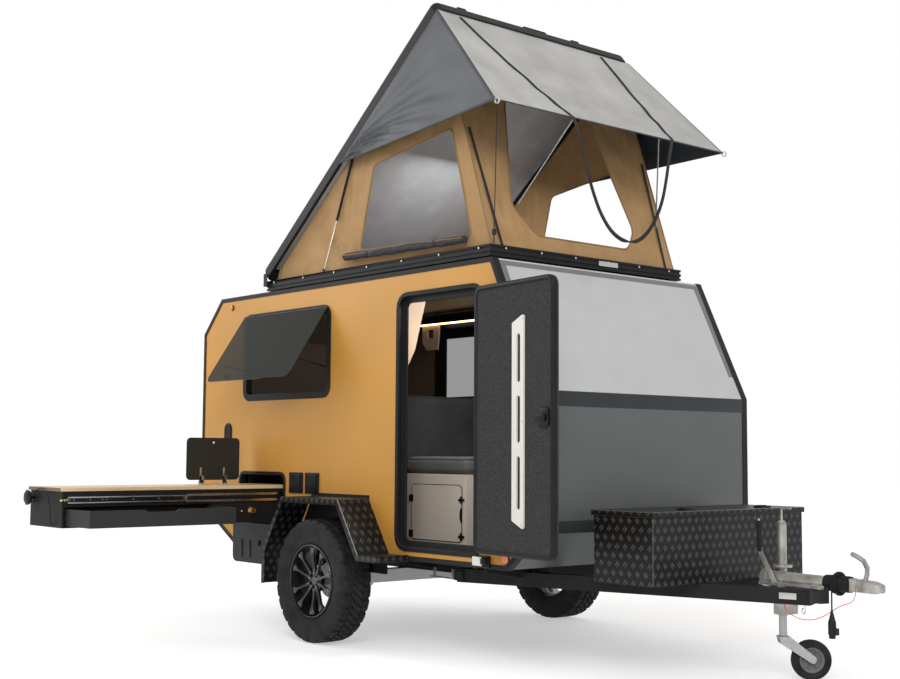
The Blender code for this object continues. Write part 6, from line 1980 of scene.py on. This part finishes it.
def pierced(name, outer, hole, place, depth):
    """A board with one hole: its section runs round the outer edge and the hole's, on both faces."""
    rows = [(outer, 0.0), (outer, depth), (hole, depth), (hole, 0.0)]
    return surface(
        name,
        [[place(u, v, d) for u, v in ring] for ring, d in rows],
        around=True,
        along=True,
        smooth=False,
    )


gables = [pierced("gable", hook, hole, lambda u, v, d: at(u, 0.5600 + d, v), 0.012)]
by_door = [
    (-0.8690, 2.2320),
    (-0.6550, 2.2320),
    (-0.6680, 2.1100),
    (-0.7490, 1.8050),
    (-0.8100, 1.6900),
    (-0.8690, 1.6400),
]
rows = [[at(x, y, z) for y, z in by_door] for x in (0.536, 0.550)]
gables.append(surface("gable", rows[::-1], around=True, ends=True, smooth=False))
piece("shelf_gables", gables, painted("warm_board", (0.72, 0.50, 0.34), 0.45, 0.06))
glow = Finish("strip_lamp")
glow.shade(
    Base_Color=(0.9, 0.75, 0.55),
    Roughness=0.4,
    Emission_Color=(1.0, 0.62, 0.26),
    Emission_Strength=5.0,
)
lamp_strip = plate("strip_lamp", at(-1.285, 0.5480, 2.1360), at(1.235, 0.5595, 2.1480), 0.003)
piece("strip_lamp", lamp_strip, glow)

# Blind frame of the left window
# A wide black cassette round the opening holds the blind and the net, with a slide on each side.
cassette = []
for x0, x1, z0, z1 in (
    (-1.180, -0.115, 2.060, 2.1310),
    (-1.180, -0.115, 1.5200, 1.6050),
    (-1.180, -1.050, 1.6055, 2.0595),
    (-0.245, -0.115, 1.6055, 2.0595),
):
    cassette.append(plate("cassette", at(x0, 0.8480, z0), at(x1, 0.8648, z1), 0.004))
for x in (-1.105, -0.190):
    cassette.append(
        plate("slide", at(x - 0.006, 0.8440, 1.66), at(x + 0.006, 0.8478, 2.00), 0.0018)
    )
cassette.append(plate("slide", at(-0.70, 0.8440, 1.612), at(-0.60, 0.8478, 1.628), 0.0018))
piece("blind_cassette", cassette, black_moulding)

# Storage box
# A riveted box of black tread plate across the drawbar, under a lid with folded edges on a long hinge.
# Thin bright lines run up its outer corners and along the lid's edges, and two paddle latches are let into the lid.
dressed("storage_box", tread, 0.0015)
dressed("storage_lid", tread, 0.003)
box_low, box_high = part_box("storage_box")
lid_low, lid_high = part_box("storage_lid")
bright_lines = brushed("bright_edge_line", (0.20, 0.20, 0.195), 0.38, 0.8)
corners = []
for y in (box_low.y + 0.0006, box_high.y - 0.0006):
    line = [(box_high.x - 0.0006, y, z) for z in (box_low.z + 0.004, box_high.z - 0.004)]
    corners.append(tube("corner", line, 0.0014, 8))
piece("box_corners", corners, bright_lines)
lid_edges = []
LID_TOP = lid_low.z + 0.0297
for a, b in (
    ((lid_high.x - 0.0010, lid_low.y + 0.003), (lid_high.x - 0.0010, lid_high.y - 0.003)),
    ((lid_low.x + 0.014, lid_low.y + 0.0010), (lid_high.x - 0.003, lid_low.y + 0.0010)),
    ((lid_low.x + 0.014, lid_high.y - 0.0010), (lid_high.x - 0.003, lid_high.y - 0.0010)),
):
    lid_edges.append(tube("edge", [(*a, LID_TOP - 0.0012), (*b, LID_TOP - 0.0012)], 0.0014, 8))
piece("lid_edges", lid_edges, bright_lines, node_body["storage_lid"])
# Each paddle is a frame with its handle, in rows of x from and to, half its width, bottom and top
paddles = []
for y in (MIDDLE_Y - 0.330, MIDDLE_Y + 0.330):
    for x0, x1, half, low, high in (
        (2.288, 2.346, 0.044, 0.0055, 0.012), (2.299, 2.327, 0.030, 0.0105, 0.016)
    ):
        far = (AXLE_X + x1, y + half, LID_TOP + high)
        paddles.append(plate("paddle", (AXLE_X + x0, y - half, LID_TOP + low), far, 0.004))
piece("lid_paddles", paddles, black_moulding, node_body["storage_lid"])

# Overrun coupling
# A galvanised casting slides in a housing on the drawbar and pushes the brakes on; a ribbed rubber sleeve
# keeps its shaft clean. The coupling's lever is bent bar, and bolts go through the head and the housing.
cast_zinc = Finish("cast_zinc")
pit = cast_zinc.noise(170, 4, 0.6)
grime = cast_zinc.noise(11, 4)
cast_zinc.shade(
    Base_Color=cast_zinc.blend(
        cast_zinc.ramp(grime, (0.35, 0.0), (0.70, 1.0)), (0.31, 0.29, 0.26), (0.58, 0.57, 0.535)
    ),
    Roughness=0.36 + grime * 0.16,
    Metallic=0.75,
)
cast_zinc.bump(pit, 0.0005)
dressed("overrun_housing", cast_zinc, 0.002, flat=0)
dressed("coupling_head", cast_zinc, 0.004)
FOLDS = 9
fold_turn = np.linspace(0, 1, FOLDS * 8 + 1)
fold_r = 0.0385 + 0.0032 * np.cos(2 * np.pi * FOLDS * fold_turn)
fold_r[:3], fold_r[-3:] = 0.0400, 0.0400
SLEEVE_LONG, SHAFT_R = bellows_high.x - bellows_low.x - 0.0006, 0.0235
sleeve = [(SHAFT_R, 0.0), *zip(fold_r, fold_turn * SLEEVE_LONG), (SHAFT_R, SLEEVE_LONG)]
sleeve_mesh = turned("ribbed_sleeve", "x", (bellows_low.x + 0.0003, MIDDLE_Y, HEAD_Z), sleeve, 48)
piece(
    "ribbed_sleeve",
    sleeve_mesh,
    cable_rubber,
    "caravan",
    "drawbar_bellows",
    slot=record_nodes["drawbar_bellows"],
)
bolts = []
BOLT = [
    (0.0001, 0.0),
    (0.0125, 0.0),
    (0.0125, 0.0018),
    (0.0085, 0.0020),
    (0.0085, 0.0085),
    (0.0070, 0.0100),
    (0.0001, 0.0100),
]
for x in (2.585, 2.650, 2.900, 2.925):
    for y in (-0.036, 0.036):
        bolts.append(turned("bolt", "z", at(x, y, 0.5158), BOLT, 6))
for x in (3.115, 3.150):
    bolts.append(turned("bolt", "z", at(x, 0.0, 0.5600 if x < 3.13 else 0.5570), BOLT, 6))
bolts.append(turned("bolt", "z", at(2.700, 0.0, 0.5735), BOLT, 6))
piece("coupling_bolts", bolts, steel)

# Handbrake lever
# A flat galvanised arm on the housing's side, with a thick ribbed grip of black rubber and a push button.
BRAKE_Y = -0.0553
ARM_LINE = [(2.682, 0.510), (2.672, 0.522), (2.631, 0.594), (2.590, 0.665), (2.586, 0.690)]
arm_line = [at(x, BRAKE_Y, z) for x, z in ARM_LINE]
arm = strip_along(smooth_path(arm_line, 6), (1.0, 0.0, 0.5), 0.026, 0.007)
BUTTON = [(0.0001, 0.0), (0.006, 0.0), (0.0065, 0.008), (0.0045, 0.0125), (0.0001, 0.0130)]
button = turned("button", "z", at(2.5800, BRAKE_Y, 0.8300), BUTTON, 16)
piece(
    "brake_arm",
    joined("brake_arm", [arm, button]),
    cast_zinc,
    "caravan",
    "handbrake_lever",
    slot=record_nodes["handbrake_lever"],
)
grip_way = np.linspace(0, 1, 49)
grip_line = np.array(at(2.5862, BRAKE_Y, 0.6720)) + np.outer(grip_way, (-0.0060, 0.0, 0.1580))
grip_r = 0.0130 + 0.0010 * np.cos(
    grip_way * 2 * np.pi * 12
) * (grip_way > 0.12) * (grip_way < 0.92) - 0.004 * (grip_way > 0.985)
piece(
    "brake_grip",
    tube("brake_grip", grip_line, grip_r, 20),
    moulded("grip_rubber", (0.014, 0.014, 0.014), 0.55),
)

# Jockey wheel
# A galvanised tube in a cast clamp, wound up and down by a bent crank, over a fork that trails.
# Its wheel is solid rubber on a ribbed grey hub.
dressed("jockey_tube", cast_zinc, 0.0015)
dressed("jockey_fork", zinc, 0.001)
TRAIL_TURN = math.radians(49.6)
wheel_low, wheel_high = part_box("jockey_wheel")
wheel_middle = np.array((wheel_low + wheel_high) / 2)


def on_trail(x, y, z):
    """From the wheel's own directions, with its pin along y, to its place under the fork."""
    c, s = math.cos(TRAIL_TURN), math.sin(TRAIL_TURN)
    return np.stack([x * c - y * s, x * s + y * c, z], 1) + wheel_middle


JOCKEY_R = (wheel_high.z - wheel_low.z) / 2
band = [
    (0.0640, -0.021),
    (0.0780, -0.0215),
    (0.0960, -0.0245),
    (0.1015, -0.0220),
    (JOCKEY_R - 0.0008, -0.0150),
]
band += [
    (JOCKEY_R, -0.006),
    (JOCKEY_R - 0.0030, -0.0050),
    (JOCKEY_R - 0.0030, -0.0040),
    (JOCKEY_R, -0.0030),
]
band += [(r, -d) for r, d in band[::-1]]
jockey_tyre = turned("jockey_tyre", "y", (0, 0, 0), band, 72, hollow=True)
wheel_body = node_body["jockey_wheel"]
piece(
    "jockey_tyre",
    moved(jockey_tyre, on_trail),
    tyre_rubber,
    wheel_body,
    "jockey_wheel",
    slot=record_nodes["jockey_wheel"],
)
hub_grey = moulded("hub_grey", (0.17, 0.17, 0.165), 0.45, 900, 0.0001, 0.4)
dish = [
    (0.0120, -0.0250), (0.0200, -0.0250), (0.0215, -0.0200), (0.0260, -0.0100), (0.0480, -0.0100)
]
dish += [(0.0560, -0.0200), (0.0640, -0.0225), (0.0655, -0.0210)]
dish += [(r, -d) for r, d in dish[::-1]]
hub_mesh = turned("jockey_hub", "y", (0, 0, 0), dish, 60, hollow=True)
ribs = []
for k in range(6):
    angle = k * math.pi / 3
    rib = plate("rib", (0.019, -0.0190, -0.0022), (0.056, 0.0190, 0.0022), 0.0012)
    c, s = math.cos(angle), math.sin(angle)
    ribs.append(moved(rib, lambda x, y, z: np.stack([x * c - z * s, y, x * s + z * c], 1)))
piece("jockey_hub", moved(joined("jockey_hub", [hub_mesh, *ribs]), on_trail), hub_grey, wheel_body)

# Small fittings of the chassis
# Bright bolts along the rails, a folded step bracket, a pierced anchor plate and a blank plate on the
# drawbar, all galvanised or bare aluminium. A steel hook below it takes the jockey wheel's cord.
fittings, holes = [], []
EYELET = [(0.0001, 0.0), (0.011, 0.0), (0.011, 0.0005), (0.0001, 0.0006)]


def on_rail(mesh, side, x, out, z):
    """Carries a small turned part to a place along a chassis rail, facing outwards."""
    return moved(
        mesh, lambda u, d, v: np.stack([AXLE_X + x + u, MIDDLE_Y + side * (out + d), z + v], 1)
    )


for side in (-1, 1):
    for x in (-1.10, -0.55, 0.24, 0.36, 0.86, 0.98, 1.12, 1.36):
        fittings.append(on_rail(turned("bolt", "y", (0, 0, 0), BOLT, 6), side, x, 0.5201, 0.4980))
    for x in (1.266, 1.346):
        holes.append(on_rail(turned("eyelet", "y", (0, 0, 0), EYELET, 20), side, x, 0.5264, 0.4495))
    low, high = sorted((MIDDLE_Y + side * 0.5203, MIDDLE_Y + side * 0.5263))
    for x0, x1, z0, z1 in (
        (0.440, 0.705, 0.4060, 0.4160),
        (0.470, 0.500, 0.4160, 0.4700),
        (0.645, 0.675, 0.4160, 0.4700),
    ):
        fittings.append(plate("bracket", (AXLE_X + x0, low, z0), (AXLE_X + x1, high, z1), 0.002))
    anchor = [(1.234, 0.4250), (1.378, 0.4250), (1.378, 0.4740), (1.234, 0.4740)]
    rows = [[(AXLE_X + x, y, z) for x, z in anchor] for y in (high, low)]
    fittings.append(surface("anchor", rows, around=True, ends=True, smooth=False))
piece("chassis_fittings", fittings, cast_zinc)
piece("anchor_eyelets", holes, seal_rubber)
BEAM_LONG, BEAM_IN = 2.000, 0.625
beam_way = np.array((BEAM_LONG, BEAM_IN, 0.0)) / math.hypot(BEAM_LONG, BEAM_IN)
beam_out = np.array((BEAM_IN, -BEAM_LONG, 0.0)) / math.hypot(BEAM_LONG, BEAM_IN)
blank = plate("blank_plate", (-0.045, 0.0002, -0.016), (0.045, 0.0014, 0.016), 0.003)
blank_spot = np.array(at(2.790, -0.055 - (2.900 - 2.790) * 0.3125, 0.4620)) + beam_out * 0.0302


def on_beam(x, y, z):
    return blank_spot + np.outer(x, beam_way) + np.outer(y, beam_out) + np.outer(z, (0.0, 0.0, 1.0))


piece("blank_plate", moved(blank, on_beam), brushed("plate_metal", (0.55, 0.55, 0.54), 0.35, 0.8))
hook_turn = np.linspace(0, 1.5 * np.pi, 20)
hook_line = [at(2.848, -0.040, 0.4195), at(2.848, -0.040, 0.4000)]
hook_line += [
    at(2.848, -0.040 - 0.014 * (1 - math.cos(a)), 0.3860 - 0.014 * math.sin(a)) for a in hook_turn
]
piece("drawbar_hook", tube("drawbar_hook", hook_line, 0.003, 10), steel)

# Lamps, port and covers of the side walls
# Moulded fittings screwed to the panel: an amber marker high up, a lamp and a round reflector low in
# front, an oval filler port, and two blank covers over the sockets behind the fender.


def lens(name, colour, gloss, prisms, depth, **more):
    """A clear moulded lens over small prisms."""
    made = Finish(name)
    made.shade(Base_Color=colour, Roughness=gloss, Coat_Weight=0.6, **more)
    cells = made.node("ShaderNodeTexVoronoi", values={"Vector": made.place(), "Scale": prisms})
    return made.bump(cells, depth)


AMBER = (0.85, 0.16, 0.02)
# A faint amber glow of their own on the marker and reflector lenses is painted light.
amber = lens("amber_lens", AMBER, 0.12, 420.0, 0.0004, Emission_Color=AMBER, Emission_Strength=0.12)
white_lens = lens("white_lens", (0.80, 0.80, 0.78), 0.10, 300.0, 0.0005)


def on_wall(mesh, side):
    """Carries a mesh drawn with its face along y to the outside of a side wall."""
    face = wall_low.y if side < 0 else left_high.y
    return moved(mesh, lambda x, y, z: np.stack([x, face + side * y, z], 1))


def wall_disc(x, z, profile, side, sides=32):
    return on_wall(turned("disc", "y", (AXLE_X + x, 0.0, z), profile, sides), side)


def wall_block(x0, x1, z0, z1, y0, y1, edge, side):
    return on_wall(plate("block", (AXLE_X + x0, y0, z0), (AXLE_X + x1, y1, z1), edge), side)


housings, ambers, whites, covers = [], [], [], []
for side in (-1, 1):
    housings.append(
        wall_disc(
            -1.339,
            2.198,
            [(0.0001, 0.0002), (0.020, 0.0002), (0.020, 0.005), (0.017, 0.007), (0.0001, 0.007)],
            side,
        )
    )
    ambers.append(
        wall_disc(
            -1.339,
            2.198,
            [(0.0001, 0.0072), (0.0145, 0.0072), (0.0135, 0.012), (0.008, 0.0145), (0.0001, 0.015)],
            side,
        )
    )
    housings.append(
        wall_disc(
            1.546,
            0.602,
            [(0.0001, 0.0002), (0.030, 0.0002), (0.030, 0.005), (0.027, 0.008), (0.0001, 0.008)],
            side,
        )
    )
    ambers.append(
        wall_disc(
            1.546,
            0.602,
            [(0.0001, 0.0082), (0.0255, 0.0082), (0.0245, 0.0105), (0.0001, 0.0110)],
            side,
        )
    )
    housings.append(wall_block(1.290, 1.425, 0.548, 0.612, 0.0002, 0.0220, 0.008, side))
    housings.append(wall_block(1.385, 1.424, 0.566, 0.600, 0.0222, 0.0500, 0.008, side))
    whites.append(wall_block(1.302, 1.380, 0.555, 0.605, 0.0222, 0.0340, 0.007, side))
oval = np.linspace(0, 2 * np.pi, 48, endpoint=False)
oval_u = 0.0460 * np.cos(oval)
oval_v = 0.0460 * np.sin(oval) + 0.0340 * np.sign(np.sin(oval))
rows = []
for grow, out in (
    (0.001, 0.0002),
    (1.0, 0.0002),
    (1.0, 0.006),
    (0.94, 0.009),
    (0.78, 0.0092),
    (0.76, 0.007),
    (0.001, 0.007),
):
    rows.append(
        np.stack([AXLE_X - 1.366 + oval_u * grow, np.full(48, out), 1.296 + oval_v * grow], 1)
    )
port = surface("port", rows, around=True, ends=True)
covers.append(on_wall(port, -1))
for x0, x1 in ((-0.567, -0.412), (-0.381, -0.229)):
    covers.append(wall_block(x0, x1, 0.903, 1.040, 0.0002, 0.0120, 0.005, -1))
    covers.append(wall_block(x0 + 0.014, x1 - 0.014, 0.917, 1.026, 0.0122, 0.0190, 0.005, -1))
piece("wall_housings", housings, black_moulding)
piece("wall_covers", covers, black_moulding)
piece("amber_lenses", ambers, amber)
piece("white_lenses", whites, white_lens)

# Tail lamps
# Two flat strips of red lenses in black housings, one at each side of the tail's upright part.
red = lens("red_lens", (0.50, 0.012, 0.010), 0.12, 320.0, 0.0004)
rear_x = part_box("rear_wall")[0].x
tails, reds = [], []
for side in (-1, 1):
    low, high = sorted((MIDDLE_Y + side * 0.640, MIDDLE_Y + side * 0.830))
    tails.append(
        plate("tail", (rear_x - 0.0220, low, 0.905), (rear_x - 0.0003, high, 0.985), 0.008)
    )
    reds.append(
        plate(
            "tail",
            (rear_x - 0.0300, low + 0.008, 0.912),
            (rear_x - 0.0222, high - 0.008, 0.978),
            0.005,
        )
    )
piece("tail_housings", tails, black_moulding)
piece("tail_lenses", reds, red)

# Mattress
# Foam in a quilted grey cover on the tent's board: simulated under its own fill, with tufts sewn
# through it in rows.
mattress_cloth = woven("mattress_cloth", (0.090, 0.092, 0.095), (0.140, 0.143, 0.147), 1200)
mattress = cushion("tent_mattress", mattress_cloth, piping_cloth, 2, 0.024, 0.006, 0.006, 0.020)
base_low, base_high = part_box("tent_mattress")
TUFT_APART = 0.240


def tufted(x, y, z):
    """Draws the upper side in at every tuft, where two crossed waves have their crests."""
    tuft = np.cos(2 * np.pi * (x - AXLE_X) / TUFT_APART) * np.cos(
        2 * np.pi * (y - MIDDLE_Y) / TUFT_APART
    )
    upper_side = np.clip((z - base_low.z) / (base_high.z - base_low.z) * 2 - 1, 0, 1)
    return np.stack([x, y, z - 0.0040 * np.clip(tuft, 0, 1) ** 3 * upper_side], 1)


moved(mattress.data, tufted)

# Rolled window cover
# The side window's cover, unzipped and rolled up on the sill: dark outside, with its tan edges showing
# along the roll. Two tapes hold it.
roll_cloth = woven("roll_cloth", (0.030, 0.031, 0.034), (0.062, 0.064, 0.068), 1100)
ROLL_START, ROLL_END = np.array(at(-0.080, -0.8330, 2.4370)), np.array(at(1.105, -0.8330, 2.4170))
way = np.linspace(0, 1, 130)[:, None]
turn = np.linspace(0, 2 * np.pi, 40, endpoint=False)[None, :]
squeeze = 1 - 0.22 * (
    np.exp(-(((way - 0.22) / 0.012) ** 2)) + np.exp(-(((way - 0.78) / 0.012) ** 2))
)
lumps = 1 + 0.10 * np.sin(
    way * 23 + 2 * np.sin(turn)
) * np.sin(turn * 2 + way * 9) + 0.05 * np.sin(way * 61 + turn * 3)
layer = 0.0030 * ((turn / (2 * np.pi) + 0.15 * np.sin(way * 5)) % 1.0)
roll_r = (0.0245 * lumps + layer) * squeeze * (0.90 + 0.10 * np.sin(np.pi * way) ** 0.3)
spine = ROLL_START + (ROLL_END - ROLL_START) * way
roll_points = np.stack(
    [
        spine[:, :1] + 0 * turn,
        spine[:, 1:2] + roll_r * np.cos(turn),
        spine[:, 2:] + roll_r * np.sin(turn) * 0.92,
    ], -1
)
roll_mesh = surface("window_roll", roll_points[:, ::-1], around=True, ends=True)
roll = collapses(piece("window_roll", roll_mesh, roll_cloth))
edge_lines = []
for turn_at, phase in ((1.2, 0.0), (2.6, 1.0)):
    spiral = turn_at + 0.35 * np.sin(way[:, 0] * 7 + phase)
    far = 0.0262 + 0.0016 * np.sin(way[:, 0] * 23)
    round_spine = np.stack(
        [0 * far, np.cos(spiral), np.sin(spiral)], 1
    ) * (far * squeeze[:, 0])[:, None]
    edge_lines.append(tube("edge", spine + round_spine, 0.0030, 8))
collapses(piece("roll_edges", edge_lines, binding_cloth))
ties = []
for step in (0.22, 0.78):
    middle = ROLL_START + (ROLL_END - ROLL_START) * step
    around = np.linspace(0, 2 * np.pi, 33)
    loop = middle + np.stack([0 * around, 0.0225 * np.cos(around), 0.0215 * np.sin(around)], 1)
    ties.append(strip_along(loop, (1.0, 0.0, 0.0), 0.018, 0.0020))
collapses(piece("roll_ties", ties, black_web))

# Studio
# A pale floor and an even sky of soft light. The camera sees the sky white, as glass does.
floor_finish = Finish("studio_floor")
floor_finish.shade(Base_Color=(0.80, 0.80, 0.80), Roughness=0.9)
# Its own faint light, seen only by the camera and by gloss, joins the lit floor to the white sky
seen_floor = floor_finish.node(
    "ShaderNodeLightPath", out=0
) + floor_finish.node("ShaderNodeLightPath", out=3)
floor_finish.shade(
    Emission_Color=floor_finish.blend(seen_floor, (0.0, 0.0, 0.0), (0.45, 0.45, 0.45)),
    Emission_Strength=1.0,
)
floor = bpy.data.objects.new(
    "studio_floor",
    surface("studio_floor", [[(-40, -40, 0), (40, -40, 0)], [(-40, 40, 0), (40, 40, 0)]]),
)
bpy.context.scene.collection.objects.link(floor)
floor.data.materials.append(floor_finish.material)
world = bpy.data.worlds.new("studio_sky")
bpy.context.scene.world = world
world.use_nodes = True
sky = world.node_tree
SKY_LIGHT = 0.72
ray = sky.nodes.new("ShaderNodeLightPath")
seen = sky.nodes.new("ShaderNodeMath")
seen.operation = "MAXIMUM"
sky.links.new(ray.outputs["Is Camera Ray"], seen.inputs[0])
sky.links.new(ray.outputs["Is Transmission Ray"], seen.inputs[1])
level = sky.nodes.new("ShaderNodeMapRange")
level.inputs["To Min"].default_value = SKY_LIGHT
level.inputs["To Max"].default_value = 1.0
sky.links.new(seen.outputs[0], level.inputs["Value"])
backdrop = sky.nodes["Background"]
backdrop.inputs["Color"].default_value = (1.0, 1.0, 1.0, 1.0)
sky.links.new(level.outputs["Result"], backdrop.inputs["Strength"])
# Soft lamps, in rows of name, place, aim, watts and width
for name, place, target, watts, width in (
    ("key_lamp", (7.5, -6.5, 7.0), (0.0, 0.0, 1.2), 420, 4.0),
    ("tail_lamp", (-7.0, -4.0, 5.0), (0.0, 0.0, 1.2), 160, 4.0),
    ("cabin_lamp", at(1.05, -0.45, 2.20), at(0.20, 0.10, 1.00), 13, 0.5),
    ("tent_lamp", at(0.35, 0.00, 3.05), at(0.10, 0.00, 2.40), 9, 0.5),
):
    lamp = bpy.data.objects.new(name, bpy.data.lights.new(name, "AREA"))
    lamp.data.energy = watts
    lamp.data.size = width
    lamp.matrix_world = Matrix.Translation(place) @ (
        Vector(target) - Vector(place)
    ).to_track_quat("-Z", "Y").to_matrix().to_4x4()
    bpy.context.scene.collection.objects.link(lamp)

bpy.context.scene.view_settings.view_transform = "Standard"
bpy.context.view_layer.update()
